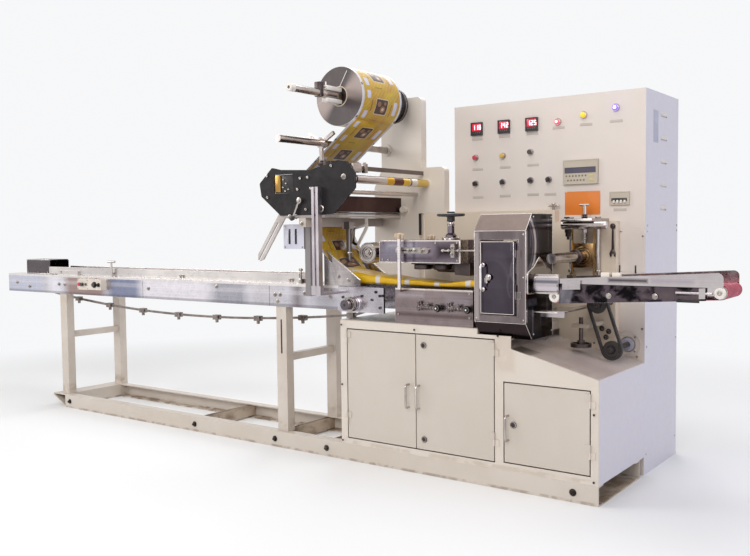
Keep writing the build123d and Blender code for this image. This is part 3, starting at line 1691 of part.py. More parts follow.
def take_up_blocks():
    # Clamp block on the front guide and the belt's two take-up blocks with their screws
    front = -guide_y
    blocks = along_belt(
        clamp_block_left_x, clamp_block_left_x + clamp_block_length,
        belt_radius, belt_radius + clamp_block_height, (front - clamp_block_depth, front),
    )
    half = take_up_block_height / 2
    right = side_plate_right_x
    left = right - take_up_block_length
    screw_z = slope_at((left + right) / 2)
    for side in (-1, 1):
        y = sorted((side * guide_y, side * (guide_y + take_up_block_depth)))
        blocks += along_belt(left, right, -half, half, y)
        screw_y = (y[0] + y[1]) / 2
        blocks += rod_x(
            screw_y, screw_z, take_up_screw_radius, take_up_slot_left_x, right + take_up_screw_reach,
        )
    return blocks


def catch_tray():
    # The bent tray between cover and conveyor, on a rod from the wall
    sheet = tray_sheet
    x_range = (tray_left_x, tray_right_x)
    tray = block(x_range, (tray_front_y, tray_rear_y), (tray_z, tray_z + sheet))
    tray += block(x_range, (tray_front_y, tray_front_y + sheet), (tray_z - tray_lip, tray_z))
    middle_x = (tray_left_x + tray_right_x) / 2
    return tray + rod_y(
        middle_x, tray_z - tray_rod_radius + sheet / 2, tray_rod_radius, tray_front_y + sheet, wall_front_y,
    )


def discharge_frame():
    frame = side_frame(-1) + side_frame(1) + entry_guide() + take_up_blocks()
    first_rod_x = side_plate_left_x + frame_rod_inset
    frame += rod_y(first_rod_x, slope_at(first_rod_x), frame_rod_radius, -guide_y, wall_front_y)
    frame += rod_y(frame_rod_middle_x, slope_at(frame_rod_middle_x), frame_rod_radius, -guide_y, guide_y)
    arm_low = drive_upper[1] + drive_sprocket_radius + drive_chain_height + running_gap
    frame += block(
        (wall_arm_left_x, wall_arm_right_x), (guide_y - guide_sheet, wall_front_y),
        (arm_low, arm_low + wall_arm_height),
    )
    return [frame, catch_tray()]


def discharge_rollers():
    rollers = []
    half = belt_half_width + roller_overhang
    axle = guide_y - guide_sheet
    for x, z in (head_roller, tail_roller):
        roller = rod_y(x, z, conveyor_roller_radius, -half, half)
        rollers.append(roller + rod_y(x, z, conveyor_axle_radius, -axle, axle))
    return rollers


def loop_face(first, second, radius):
    # Outline of a belt that runs round two equal rollers
    middle = ((first[0] + second[0]) / 2, (first[1] + second[1]) / 2)
    length = math.dist(first, second)
    angle = math.degrees(math.atan2(second[1] - first[1], second[0] - first[0]))
    return Pos(*middle) * Rot(0, 0, angle) * SlotCenterToCenter(length, 2 * radius)


def belt_loop(first, second, inner_radius, thickness, y_front, y_rear):
    band = loop_face(first, second, inner_radius + thickness) - loop_face(first, second, inner_radius)
    plane = Plane(origin=(0, y_front, 0), x_dir=(1, 0, 0), z_dir=(0, -1, 0))
    return extrude(plane * band, amount=y_rear - y_front, dir=(0, 1, 0))


def discharge_belt():
    return [belt_loop(
        tail_roller, head_roller, conveyor_roller_radius,
        belt_thickness - fit_gap, -belt_half_width, belt_half_width,
    )]


def drive_chain():
    half = drive_chain_width / 2
    return [belt_loop(
        drive_upper, (port_x, port_z), drive_sprocket_radius + fit_gap,
        drive_chain_height, drive_y - half, drive_y + half,
    )]


def drive_sprockets():
    # Both sprockets on their axles, the backing plate between the runs and the screw's bracket
    half = drive_chain_width / 2
    sprockets = []
    for (x, z), rear in ((drive_upper, wall_front_y), ((port_x, port_z), cabinet_rear_y)):
        sprocket = rod_y(x, z, drive_sprocket_radius, drive_y - half, drive_y + half)
        sprockets.append(sprocket + rod_y(x, z, drive_axle_radius, drive_y - drive_axle_front, rear))
    bracket = block(
        (bracket_left_x, bracket_right_x), (hand_screw_y - bracket_margin, wall_front_y),
        (bracket_bottom_z, bracket_bottom_z + bracket_thickness),
    )
    bore = (bracket_bottom_z - cut_over, bracket_bottom_z + bracket_thickness + cut_over)
    bracket -= rod_z(hand_screw_x, hand_screw_y, screw_radius + fit_gap, *bore)
    sprockets.append(bracket)
    return sprockets


def lower_handwheel():
    # A flat rimmed wheel under its bracket, on the screw that passes through it
    half = hand_screw_thickness / 2
    low = hand_screw_z - half
    high = hand_screw_z + half
    rim = hand_screw_radius - half
    outline = [
        (0, low + half / 2), (rim, low + half / 2), (rim, low),
        (hand_screw_radius, low), (hand_screw_radius, high),
        (rim, high), (rim, high - half / 2), (hand_screw_hub_radius, high - half / 2),
        (hand_screw_hub_radius, hand_screw_z + hand_screw_hub_height),
        (0, hand_screw_z + hand_screw_hub_height),
    ]
    wheel = turned_z(hand_screw_x, hand_screw_y, outline)
    return [wheel + rod_z(hand_screw_x, hand_screw_y, screw_radius, hand_screw_z, hand_screw_top_z)]


pieces = {
    "base_rails": base_rails,
    "base_cross_members": base_cross_members,
    "base_end_nose": base_end_nose,
    "base_floor_plate": base_floor_plate,
    "cabinet_front": cabinet_front,
    "cabinet_walls": cabinet_walls,
    "cabinet_deck": cabinet_deck,
    "chute_plate": chute_plate,
    "left_door": left_door,
    "right_door": right_door,
    "small_door": small_door,
    "right_door_locks": right_door_locks,
    "small_door_lock": small_door_lock,
    "left_door_handle": left_door_handle,
    "right_door_handle": right_door_handle,
    "small_door_handle": small_door_handle,
    "control_cabinet_lower": control_cabinet_lower,
    "control_cabinet_upper": control_cabinet_upper,
    "temperature_controllers": temperature_controllers,
    "display_and_breaker": display_and_breaker,
    "indicator_lamps": indicator_lamps,
    "push_buttons": push_buttons,
    "machine_wall": machine_wall,
    "unwind_stand": unwind_stand,
    "reel_shaft": reel_shaft,
    "film_reel": film_reel,
    "spare_shaft": spare_shaft,
    "film_web": film_web,
    "printer_front_plate": printer_front_plate,
    "printer_rollers": printer_rollers,
    "printer_housing": printer_housing,
    "printer_lever": printer_lever,
    "printer_support": printer_support,
    "printer_arm": printer_arm,
    "slotted_post": slotted_post,
    "infeed_side_plates": infeed_side_plates,
    "infeed_legs": infeed_legs,
    "infeed_tail_cover": infeed_tail_cover,
    "guide_rails": guide_rails,
    "switch_boxes": switch_boxes,
    "infeed_head_plates": infeed_head_plates,
    "infeed_chain": infeed_chain,
    "former_plates": former_plates,
    "film_tube": film_tube,
    "fin_upper_box": fin_upper_box,
    "fin_slide_bar": fin_slide_bar,
    "disc_roller": disc_roller,
    "handwheel": handwheel,
    "fin_lower_box": fin_lower_box,
    "jaw_cover": jaw_cover,
    "guard_door": guard_door,
    "guard_door_handle": guard_door_handle,
    "sealing_jaws": sealing_jaws,
    "side_drive": side_drive,
    "discharge_frame": discharge_frame,
    "discharge_rollers": discharge_rollers,
    "discharge_belt": discharge_belt,
    "drive_chain": drive_chain,
    "drive_sprockets": drive_sprockets,
    "lower_handwheel": lower_handwheel,
}

os.makedirs("parts", exist_ok=True)
for name, make in pieces.items():
    solids = [solid for piece in make() for solid in piece.solids()]
    node = Compound(children=solids) if len(solids) > 1 else solids[0]
    node.label = name
    export_step(node, f"parts/{name}.step")
    print(name, len(solids), round(sum(solid.volume for solid in solids)))
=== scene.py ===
import bpy
import math
from mathutils import Matrix, Vector


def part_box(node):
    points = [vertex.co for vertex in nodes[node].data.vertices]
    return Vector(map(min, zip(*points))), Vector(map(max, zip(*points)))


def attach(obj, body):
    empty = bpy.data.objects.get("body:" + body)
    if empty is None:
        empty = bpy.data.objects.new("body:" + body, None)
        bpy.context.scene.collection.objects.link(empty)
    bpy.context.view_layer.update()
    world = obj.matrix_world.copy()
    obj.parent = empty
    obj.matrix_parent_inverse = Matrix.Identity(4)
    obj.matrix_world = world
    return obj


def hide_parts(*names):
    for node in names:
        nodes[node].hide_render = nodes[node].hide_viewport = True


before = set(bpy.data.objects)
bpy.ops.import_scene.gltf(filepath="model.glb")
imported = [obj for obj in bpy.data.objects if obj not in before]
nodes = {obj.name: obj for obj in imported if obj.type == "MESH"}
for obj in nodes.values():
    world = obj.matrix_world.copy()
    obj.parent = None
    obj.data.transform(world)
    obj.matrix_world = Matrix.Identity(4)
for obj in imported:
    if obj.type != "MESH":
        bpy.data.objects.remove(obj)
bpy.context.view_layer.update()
scene = bpy.context.scene
print("frame loaded,", len(nodes), "nodes")


# directions on the machine: it discharges to the right and is worked from the front
toFront, toBack, toRight, upward, downward = (0, -1, 0), (0, 1, 0), (1, 0, 0), (0, 0, 1), (0, 0, -1)


# small modelling helpers, all in millimetres until a mesh is made
def metres(*values):
    return Vector([value / 1000 for value in values])


def deselectAll():
    if bpy.context.mode != "OBJECT":
        bpy.ops.object.mode_set(mode="OBJECT")
    bpy.ops.object.select_all(action="DESELECT")


def useOnly(piece):
    deselectAll()
    piece.select_set(True)
    bpy.context.view_layer.objects.active = piece


def applyPlace(piece):
    useOnly(piece)
    bpy.ops.object.transform_apply(location=True, rotation=True, scale=True)


def addBevel(piece, width, segments=2, angle=30):
    useOnly(piece)
    bevel = piece.modifiers.new("edge", "BEVEL")
    bevel.width = width / 1000
    bevel.segments = segments
    bevel.limit_method = "ANGLE"
    bevel.angle_limit = math.radians(angle)
    bpy.ops.object.modifier_apply(modifier="edge")
    return piece


def openMesh(piece):
    useOnly(piece)
    bpy.ops.object.mode_set(mode="EDIT")
    bpy.ops.mesh.select_mode(type="FACE")
    bpy.ops.mesh.select_all(action="SELECT")


def closeMesh():
    # every normal outward, and back to object mode
    bpy.ops.mesh.select_all(action="SELECT")
    bpy.ops.mesh.normals_make_consistent(inside=False)
    bpy.ops.object.mode_set(mode="OBJECT")


def smooth(piece, angle=35):
    useOnly(piece)
    bpy.ops.object.shade_smooth_by_angle(angle=math.radians(angle))
    return piece


def turnTo(axis, start=upward):
    return Vector(start).rotation_difference(Vector(axis)).to_matrix().to_4x4()


def setDown(piece, place, axis):
    # from the origin, standing up, to its place on the machine
    piece.matrix_world = Matrix.Translation(metres(*place)) @ turnTo(axis)
    applyPlace(piece)


def blockPiece(name, low, high, bevel=0.8, segments=2):
    # a plate or box between two corners, its edges broken
    low, high = metres(*low), metres(*high)
    deselectAll()
    bpy.ops.mesh.primitive_cube_add(size=1, location=(low + high) / 2)
    piece = bpy.context.object
    piece.name = name
    piece.scale = high - low
    applyPlace(piece)
    if bevel:
        addBevel(piece, bevel, segments)
    return smooth(piece)


def turnedPiece(name, place, axis, steps, sides=32, bevel=0):
    # a lathe piece: steps are (distance along the axis, radius), the first one is its foot
    deselectAll()
    along, radius = steps[0]
    bpy.ops.mesh.primitive_circle_add(vertices=sides, radius=radius / 1000, fill_type="NGON",
        location=(0, 0, along / 1000))
    piece = bpy.context.object
    piece.name = name
    applyPlace(piece)
    openMesh(piece)
    for nextAlong, nextRadius in steps[1:]:
        bpy.ops.mesh.extrude_region_move(TRANSFORM_OT_translate={"value": (0, 0,
            (nextAlong - along) / 1000)})
        if abs(nextRadius - radius) > 1e-6:
            ratio = nextRadius / radius
            bpy.ops.transform.resize(value=(ratio, ratio, 1), center_override=(0, 0, nextAlong / 1000))
        along, radius = nextAlong, nextRadius
    closeMesh()
    if bevel:
        addBevel(piece, bevel)
    setDown(piece, place, axis)
    return smooth(piece, 40)


def ringPiece(name, place, axis, profile, sides=64, bevel=0):
    # a ring or bored piece: its closed profile of (radius, along) is spun round the axis
    deselectAll()
    bpy.ops.mesh.primitive_circle_add(vertices=len(profile), radius=1, fill_type="NOTHING")
    piece = bpy.context.object
    piece.name = name
    for vertex, (radius, along) in zip(piece.data.vertices, profile):
        vertex.co = metres(radius, 0, along)
    bpy.ops.object.mode_set(mode="EDIT")
    bpy.ops.mesh.select_all(action="SELECT")
    bpy.ops.mesh.spin(steps=sides, angle=math.tau, center=(0, 0, 0), axis=upward)
    bpy.ops.mesh.select_all(action="SELECT")
    bpy.ops.mesh.remove_doubles(threshold=0.00002)
    closeMesh()
    if bevel:
        addBevel(piece, bevel)
    setDown(piece, place, axis)
    return smooth(piece, 40)


def outlinePiece(name, points, yFront, yRear, bevel=0.6):
    # a plate cut to an outline in X and Z, from its front to its rear
    deselectAll()
    bpy.ops.mesh.primitive_circle_add(vertices=len(points), radius=1, fill_type="NGON")
    piece = bpy.context.object
    piece.name = name
    for vertex, (x, z) in zip(piece.data.vertices, points):
        vertex.co = metres(x, yFront, z)
    bpy.ops.object.mode_set(mode="EDIT")
    bpy.ops.mesh.select_all(action="SELECT")
    bpy.ops.mesh.extrude_region_move(TRANSFORM_OT_translate={"value": (0, (yRear - yFront) / 1000, 0)})
    closeMesh()
    if bevel:
        addBevel(piece, bevel)
    return smooth(piece)


def rodPiece(name, start, end, radius, sides=20, bevel=0.6):
    # a round bar from point to point
    run = Vector(end) - Vector(start)
    return turnedPiece(name, start, run.normalized(), [(0, radius), (run.length, radius)], sides, bevel)


def bentRod(name, points, radius, sides=12, bend=10):
    # a rod bent along points: a curve with round corners, made a mesh
    data = bpy.data.curves.new(name, "CURVE")
    data.dimensions = "3D"
    data.bevel_depth = radius / 1000
    data.bevel_resolution = max(2, sides // 4)
    data.use_fill_caps = True
    line = data.splines.new("POLY")
    rounded = [Vector(points[0])]
    for before, corner, after in zip(points, points[1:], points[2:]):
        before, corner, after = Vector(before), Vector(corner), Vector(after)
        first = corner + (before - corner).normalized() * min(bend, (before - corner).length / 2)
        last = corner + (after - corner).normalized() * min(bend, (after - corner).length / 2)
        for step in range(7):
            part = step / 6
            rounded.append(first.lerp(corner, part).lerp(corner.lerp(last, part), part))
    rounded.append(Vector(points[-1]))
    line.points.add(len(rounded) - 1)
    for spot, place in zip(line.points, rounded):
        spot.co = (*(place / 1000), 1)
    piece = bpy.data.objects.new(name, data)
    scene.collection.objects.link(piece)
    useOnly(piece)
    bpy.ops.object.convert(target="MESH")
    return smooth(bpy.context.object, 50)


def copyOf(piece, name, move=(0, 0, 0), turn=None, pivot=(0, 0, 0)):
    # a copy with its own mesh, turned about a pivot and then moved
    twin = piece.copy()
    twin.data = piece.data.copy()
    twin.name = name
    scene.collection.objects.link(twin)
    change = Matrix.Translation(metres(*move))
    if turn is not None:
        centre = Matrix.Translation(metres(*pivot))
        change = change @ centre @ turn @ centre.inverted()
    twin.data.transform(change)
    return twin


def joined(name, pieces):
    deselectAll()
    for piece in pieces:
        piece.select_set(True)
    bpy.context.view_layer.objects.active = pieces[0]
    if len(pieces) > 1:
        bpy.ops.object.join()
    pieces[0].name = name
    return pieces[0]


def fitted(piece, finish, body="machine", replaces=()):
    # finish, body and the CAD nodes that the piece stands for
    if finish is not None:
        piece.data.materials.clear()
        piece.data.materials.append(finishes[finish])
    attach(piece, body)
    if replaces:
        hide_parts(*replaces)
    return piece


def discard(piece):
    bpy.data.objects.remove(piece, do_unlink=True)


def gathered(name, pieces, finish, body="machine"):
    return fitted(joined(name, pieces), finish, body)


def setOut(name, master, places, finish="shinyBolt", axis=toFront, body="machine", last=True):
    # copies of one small part at each place, joined: the master stands on Y 0 and looks to the front
    turn = turnTo(axis, toFront)
    copies = [copyOf(master, name + str(index), place, turn) for index, place in enumerate(places)]
    if last:
        discard(master)
    return gathered(name, copies, finish, body)


# shader nodes
def plug(tree, socket, value):
    if isinstance(value, bpy.types.NodeSocket):
        tree.links.new(value, socket)
    else:
        socket.default_value = value


def addNode(tree, kind, settings=None, **plugged):
    # plugged: socket name with spaces as underscores, given a value or another node's output
    node = tree.nodes.new(kind)
    for key, value in (settings or {}).items():
        setattr(node, key, value)
    for key, value in plugged.items():
        plug(tree, node.inputs[0 if key == "first" else key.replace("_", " ")], value)
    return node


def vectorCalc(tree, operation, *parts):
    node = addNode(tree, "ShaderNodeVectorMath", {"operation": operation})
    for socket, part in zip(node.inputs, parts):
        plug(tree, socket, part)
    return node.outputs["Value" if operation in ("LENGTH", "DOT_PRODUCT") else "Vector"]


def calc(tree, operation, *parts, clamp=False):
    # one number from numbers or sockets
    node = addNode(tree, "ShaderNodeMath", {"operation": operation, "use_clamp": clamp})
    for socket, value in zip(node.inputs, parts if len(parts) > 1 else (*parts, 0.0)):
        plug(tree, socket, value)
    return node.outputs[0]


def ramp(tree, value, low, high, toLow=0.0, toHigh=1.0, kind="LINEAR"):
    return addNode(tree, "ShaderNodeMapRange", {"interpolation_type": kind}, Value=value,
        From_Min=low, From_Max=high,
                   To_Min=toLow, To_Max=toHigh).outputs["Result"]


def objectPlace(tree):
    return addNode(tree, "ShaderNodeTexCoord").outputs["Object"]


# camera, floor and lamps
def placeCamera():
    view = {"place": (1.6515, -3.2808, 1.0856), "lens": 41.43,
            "right": (0.8076, 0.5896, -0.0115), "up": (-0.0245, 0.0530, 0.9983),
            "ahead": (-0.5892, 0.8060, -0.0572)}
    data = bpy.data.cameras.new("photoCamera")
    data.lens = view["lens"]
    data.sensor_width = 36
    data.sensor_fit = "HORIZONTAL"
    data.clip_end = 60
    camera = bpy.data.objects.new("photoCamera", data)
    scene.collection.objects.link(camera)
    right, up, ahead = (Vector(view[side]) for side in ("right", "up", "ahead"))
    turn = Matrix((right, up, -ahead)).transposed().to_4x4()
    camera.matrix_world = Matrix.Translation(Vector(view["place"])) @ turn
    scene.camera = camera


def layFloor():
    # pale near the machine, where it keeps the shadow, and the world's own colour further out
    look = {"colour": (0.86, 0.86, 0.865, 1), "far": (0.93, 0.935, 0.945, 1), "size": 60, "fadeFrom": 2.6,
            "fadeTo": 4.6, "middle": (1.4, 0.0, 0.0)}
    deselectAll()
    bpy.ops.mesh.primitive_plane_add(size=look["size"])
    floor = bpy.context.object
    floor.name = "studioFloor"
    material = bpy.data.materials.new("studioFloor")
    material.use_nodes = True
    tree = material.node_tree
    shader = tree.nodes["Principled BSDF"]
    shader.inputs["Base Color"].default_value = look["colour"]
    shader.inputs["Roughness"].default_value = 0.9
    reach = vectorCalc(tree, "LENGTH", vectorCalc(tree, "ADD", objectPlace(tree), look["middle"]))
    fade = ramp(tree, reach, look["fadeFrom"], look["fadeTo"], kind="SMOOTHSTEP")
    path = addNode(tree, "ShaderNodeLightPath").outputs
    seen = calc(tree, "MAXIMUM", path["Is Camera Ray"], path["Is Glossy Ray"])
    glow = addNode(tree, "ShaderNodeEmission", None, Color=look["far"])
    both = addNode(tree, "ShaderNodeMixShader", None, Fac=calc(tree, "MULTIPLY", fade, seen))
    tree.links.new(shader.outputs[0], both.inputs[1])
    tree.links.new(glow.outputs[0], both.inputs[2])
    tree.links.new(both.outputs[0], tree.nodes["Material Output"].inputs["Surface"])
    floor.data.materials.append(material)


def hangLamps():
    # place, aim, size, power and tint of each lamp
    lamps = {
        "keyLamp": ((0.9, -5.0, 3.8), (-0.9, 0.2, 0.9), 3.0, 158, (1.0, 0.985, 0.96)),
        "leftLamp": ((-5.5, -3.4, 3.0), (-1.8, 0, 0.8), 2.6, 100, (1.0, 0.99, 0.975)),
        "topLamp": ((-0.8, 0.4, 4.8), (-0.8, 0.2, 0.8), 3.4, 95, (1.0, 1.0, 1.0)),
        "sideLamp": ((4.6, 0.6, 2.2), (0.3, 0.3, 0.9), 2.4, 46, (0.68, 0.76, 1.0)),
        "backLamp": ((-2.2, 4.2, 3.2), (-1.0, 0.4, 0.8), 2.6, 60, (1.0, 1.0, 1.0)),
    }
    for name, (place, aim, size, power, tone) in lamps.items():
        data = bpy.data.lights.new(name, "AREA")
        data.shape = "SQUARE"
        data.size = size
        data.energy = power
        data.color = tone
        light = bpy.data.objects.new(name, data)
        scene.collection.objects.link(light)
        light.location = place
        light.rotation_euler = (Vector(aim) - Vector(place)).to_track_quat("-Z", "Y").to_euler()


def lightWorld():
    look = {"colour": (0.93, 0.935, 0.945, 1), "seen": 1.0, "fill": 0.42}
    world = bpy.data.worlds.new("studioWorld")
    scene.world = world
    world.use_nodes = True
    tree = world.node_tree
    background = tree.nodes["Background"]
    background.inputs["Color"].default_value = look["colour"]
    path = addNode(tree, "ShaderNodeLightPath").outputs
    either = calc(tree, "MAXIMUM", path["Is Camera Ray"], path["Is Glossy Ray"])
    through = calc(tree, "MAXIMUM", either, path["Is Transmission Ray"])
    tree.links.new(ramp(tree, through, 0.0, 1.0, look["fill"], look["seen"]), background.inputs["Strength"])


placeCamera()
layFloor()
hangLamps()
lightWorld()
scene.view_settings.view_transform = "Standard"
print("studio ready")


# shader groups that several finishes use
def blended(tree, factor, first, second):
    node = addNode(tree, "ShaderNodeMix", {"data_type": "RGBA"})
    for socket, value in ((node.inputs["Factor"], factor), (node.inputs[6], first),
            (node.inputs[7], second)):
        plug(tree, socket, value)
    return node.outputs[2]


def scaled(tree, colour, factor):
    return addNode(tree, "ShaderNodeVectorMath", {"operation": "SCALE"},
        first=colour, Scale=factor).outputs[0]


def separated(tree, vector):
    return addNode(tree, "ShaderNodeSeparateXYZ", None, first=vector).outputs


def noiseOf(tree, vector, scale, detail, **more):
    return addNode(tree, "ShaderNodeTexNoise", None, Vector=vector, Scale=scale,
        Detail=detail, **more).outputs["Fac"]


def useGroup(tree, name, output=0, **plugged):
    node = tree.nodes.new("ShaderNodeGroup")
    node.node_tree = bpy.data.node_groups[name]
    for key, value in plugged.items():
        plug(tree, node.inputs[key], value)
    return node.outputs[output]


def newGroup(name, inputs, outputs):
    # inputs give their usual values; an output is a number unless it is called Colour
    group = bpy.data.node_groups.new(name, "ShaderNodeTree")
    for label, value in inputs.items():
        kind = "NodeSocketVector" if isinstance(value, tuple) else "NodeSocketFloat"
        group.interface.new_socket(label, in_out="INPUT", socket_type=kind).default_value = value
    for label in outputs:
        kind = "NodeSocketColor" if label == "Colour" else "NodeSocketFloat"
        group.interface.new_socket(label, in_out="OUTPUT", socket_type=kind)
    return group, group.nodes.new("NodeGroupInput").outputs, group.nodes.new("NodeGroupOutput").inputs


def makeEdgeWearAndHighlight():
    # where sharp edges are rubbed, and on steel where they are painted as highlights, broken up by noise
    group, start, end = newGroup("edgeWearAndHighlight", {"Reach": 0.003, "Breakup": 60.0, "Amount": 0.5}, ["Mask"])
    bevel = addNode(group, "ShaderNodeBevel", {"samples": 4}, Radius=start["Reach"])
    flat = addNode(group, "ShaderNodeNewGeometry")
    turn = vectorCalc(group, "DOT_PRODUCT", bevel.outputs[0], flat.outputs["Normal"])
    edge = ramp(group, turn, 0.995, 0.80)
    breaks = ramp(group, noiseOf(group, objectPlace(group), start["Breakup"], 4.0), 0.42, 0.62)
    both = calc(group, "MULTIPLY", edge, breaks)
    group.links.new(calc(group, "MULTIPLY", both, start["Amount"]), end["Mask"])


def makeBlotches():
    # soft uneven patches, such as stains, handling marks and what a sheet reflects
    usual = {"Scale": 3.0, "Spread": 0.12, "Shift": (0, 0, 0), "Stretch": (1, 1, 1)}
    group, start, end = newGroup("blotches", usual, ["Mask"])
    moved = vectorCalc(group, "MULTIPLY_ADD", objectPlace(group), start["Stretch"], start["Shift"])
    noise = noiseOf(group, moved, start["Scale"], 6.0, Roughness=0.6, Distortion=0.5)
    low, high = (calc(group, way, 0.5, start["Spread"]) for way in ("SUBTRACT", "ADD"))
    group.links.new(ramp(group, noise, low, high, kind="SMOOTHSTEP"), end["Mask"])


def makeStreaks():
    # grain drawn out along one axis: rolling, brushing or turning lines
    group, start, end = newGroup("streaks", {"Stretch": (4, 300, 300), "Detail": 3.0}, ["Height"])
    drawn = vectorCalc(group, "MULTIPLY", objectPlace(group), start["Stretch"])
    group.links.new(noiseOf(group, drawn, 1.0, start["Detail"], Roughness=0.55), end["Height"])


def makeSettledDust():
    # faces that look up gather dust and drips
    group, start, end = newGroup("settledDust", {"Amount": 0.3, "Scale": 14.0}, ["Mask"])
    flat = addNode(group, "ShaderNodeNewGeometry").outputs["Normal"]
    level = ramp(group, separated(group, flat)["Z"], 0.55, 0.95)
    patches = ramp(group, noiseOf(group, objectPlace(group), start["Scale"], 5.0), 0.35, 0.7)
    both = calc(group, "MULTIPLY", level, patches)
    group.links.new(calc(group, "MULTIPLY", both, start["Amount"]), end["Mask"])


def makeBoxZone():
    # 1 inside a box given in metres, falling to 0 at its faces over Soft
    # where half the box is less than Soft, it falls over that
    group, start, end = newGroup("boxZone", {"Low": (0, 0, 0), "High": (1, 1, 1), "Soft": 0.0005}, ["Mask"])
    place = objectPlace(group)
    span = vectorCalc(group, "SUBTRACT", start["High"], start["Low"])
    half = vectorCalc(group, "MULTIPLY", span, (0.5, 0.5, 0.5))
    fall = vectorCalc(group, "MINIMUM", half, start["Soft"])
    least = []
    for first, second in ((place, start["Low"]), (start["High"], place)):
        room = vectorCalc(group, "DIVIDE", vectorCalc(group, "SUBTRACT", first, second), fall)
        x, y, z = separated(group, room)
        least.append(calc(group, "MINIMUM", calc(group, "MINIMUM", x, y), z))
    kept = calc(group, "MULTIPLY", calc(group, "MINIMUM", *least), 1.0, clamp=True)
    group.links.new(kept, end["Mask"])


def makeBowBand():
    # a band along a circle round the axis that Flat leaves out, as a curved reflection
    usual = {"Middle": (0, 0, 0), "Flat": (1, 0, 1), "Radius": 0.1, "Width": 0.01}
    group, start, end = newGroup("bowBand", usual, ["Mask"])
    away = vectorCalc(group, "SUBTRACT", objectPlace(group), start["Middle"])
    reach = vectorCalc(group, "LENGTH", vectorCalc(group, "MULTIPLY", away, start["Flat"]))
    off = calc(group, "ABSOLUTE", calc(group, "SUBTRACT", reach, start["Radius"]))
    near = calc(group, "SUBTRACT", 1.0, calc(group, "DIVIDE", off, start["Width"]), clamp=True)
    group.links.new(ramp(group, near, 0.0, 1.0, kind="SMOOTHSTEP"), end["Mask"])


def makeRoundLines():
    # turning lines round an axis along Y, as on a lathe face or the wound end of a reel, with a painted
    # sheen in broad rays round the axis
    usual = {"Middle": (0, 0, 0), "Lines": 900.0, "Rays": 3.0}
    group, start, end = newGroup("roundLines", usual, ["Height", "Sheen"])
    moved = vectorCalc(group, "SUBTRACT", objectPlace(group), start["Middle"])
    radius = vectorCalc(group, "LENGTH", vectorCalc(group, "MULTIPLY", moved, (1, 0, 1)))
    lines = addNode(group, "ShaderNodeTexNoise", {"noise_dimensions": "1D"}, Scale=1.0, Detail=3.0,
                    W=calc(group, "MULTIPLY", radius, start["Lines"]), Roughness=0.65)
    parts = separated(group, moved)
    angle = calc(group, "ARCTAN2", parts["Z"], parts["X"])
    turns = calc(group, "SINE", calc(group, "MULTIPLY_ADD", angle, start["Rays"], 0.9))
    group.links.new(lines.outputs["Fac"], end["Height"])
    group.links.new(ramp(group, turns, 0.1, 1.0, kind="SMOOTHSTEP"), end["Sheen"])


def makeFilmPrint():
    # the printed film on its own UV map: U over the width, V in metres along it
    look = {"width": 0.31, "pitch": 0.156, "gold": (0.62, 0.41, 0.006, 1),
        "deepGold": (0.52, 0.26, 0.006, 1),
            "margin": (0.72, 0.70, 0.74, 1), "panel": (0.060, 0.026, 0.020, 1),
            "biscuit": (0.30, 0.15, 0.08, 1), "cream": (0.66, 0.55, 0.42, 1),
            "patch": (0.66, 0.63, 0.74, 1), "line": (0.22, 0.10, 0.02, 1),
            "mark": (0.012, 0.012, 0.012, 1)}
    group, _, end = newGroup("filmPrint", {}, ["Colour"])
    spot = separated(group, addNode(group, "ShaderNodeTexCoord").outputs["UV"])
    across = calc(group, "MULTIPLY", calc(group, "SUBTRACT", spot[0], 0.5), look["width"])
    turn = calc(group, "FRACT", calc(group, "DIVIDE", spot[1], look["pitch"]))
    along = calc(group, "MULTIPLY", calc(group, "SUBTRACT", turn, 0.5), look["pitch"])

    def rounded(middle, half, radius):
        # 1 inside a panel with round corners
        squares = []
        for way, centre, room in zip((across, along), middle, half):
            off = calc(group, "ABSOLUTE", calc(group, "SUBTRACT", way, centre))
            past = calc(group, "MAXIMUM", calc(group, "SUBTRACT", off, room - radius), 0.0)
            squares.append(calc(group, "MULTIPLY", past, past))
        return calc(group, "LESS_THAN", calc(group, "SQRT", calc(group, "ADD", *squares)), radius)

    colour = blended(group, useGroup(group, "blotches", Scale=9.0, Spread=0.25),
        look["gold"], look["deepGold"])
    rays = calc(group, "SINE", calc(group, "MULTIPLY", calc(group, "ADD", across, along), 260.0))
    colour = blended(group, calc(group, "MULTIPLY", ramp(group, rays, 0.2, 0.9), 0.18), colour,
        look["cream"])
    patches = (((-0.104, 0.045), (0.014, 0.020)), ((-0.104, -0.050), (0.014, 0.018)),
        ((0.106, 0.0), (0.014, 0.032)))
    lines = (((-0.076, 0.0), (0.0045, 0.026)), ((0.074, 0.012), (0.0035, 0.030)),
        ((-0.02, 0.070), (0.026, 0.0022)))
    biscuits = (((0.012, 0.010), (0.019, 0.015)), ((-0.020, -0.012), (0.014, 0.012)),
        ((0.024, -0.018), (0.009, 0.008)))
    for middle, half in patches:
        colour = blended(group, rounded(middle, half, 0.006), colour, look["patch"])
    for middle, half in lines:
        colour = blended(group, calc(group, "MULTIPLY", rounded(middle, half, 0.002), 0.75), colour,
            look["line"])
    colour = blended(group, rounded((0.0, 0.0), (0.047, 0.038), 0.008), colour, look["cream"])
    colour = blended(group, rounded((0.0, 0.0), (0.0435, 0.0345), 0.006), colour, look["panel"])
    for middle, half in biscuits:
        colour = blended(group, rounded(middle, half, min(half)), colour, look["biscuit"])
    colour = blended(group, rounded((0.012, 0.010), (0.009, 0.007), 0.007), colour, look["cream"])
    edge = calc(group, "GREATER_THAN", calc(group, "ABSOLUTE", across), 0.139)
    colour = blended(group, edge, colour, look["margin"])
    marks = calc(group, "MAXIMUM", rounded((-0.1475, 0.062), (0.005, 0.006), 0.002),
                 rounded((0.1475, 0.062), (0.004, 0.005), 0.002))
    group.links.new(blended(group, marks, colour, look["mark"]), end["Colour"])


makeEdgeWearAndHighlight()
makeBlotches()
makeStreaks()
makeSettledDust()
makeBoxZone()
makeBowBand()
makeRoundLines()
makeFilmPrint()


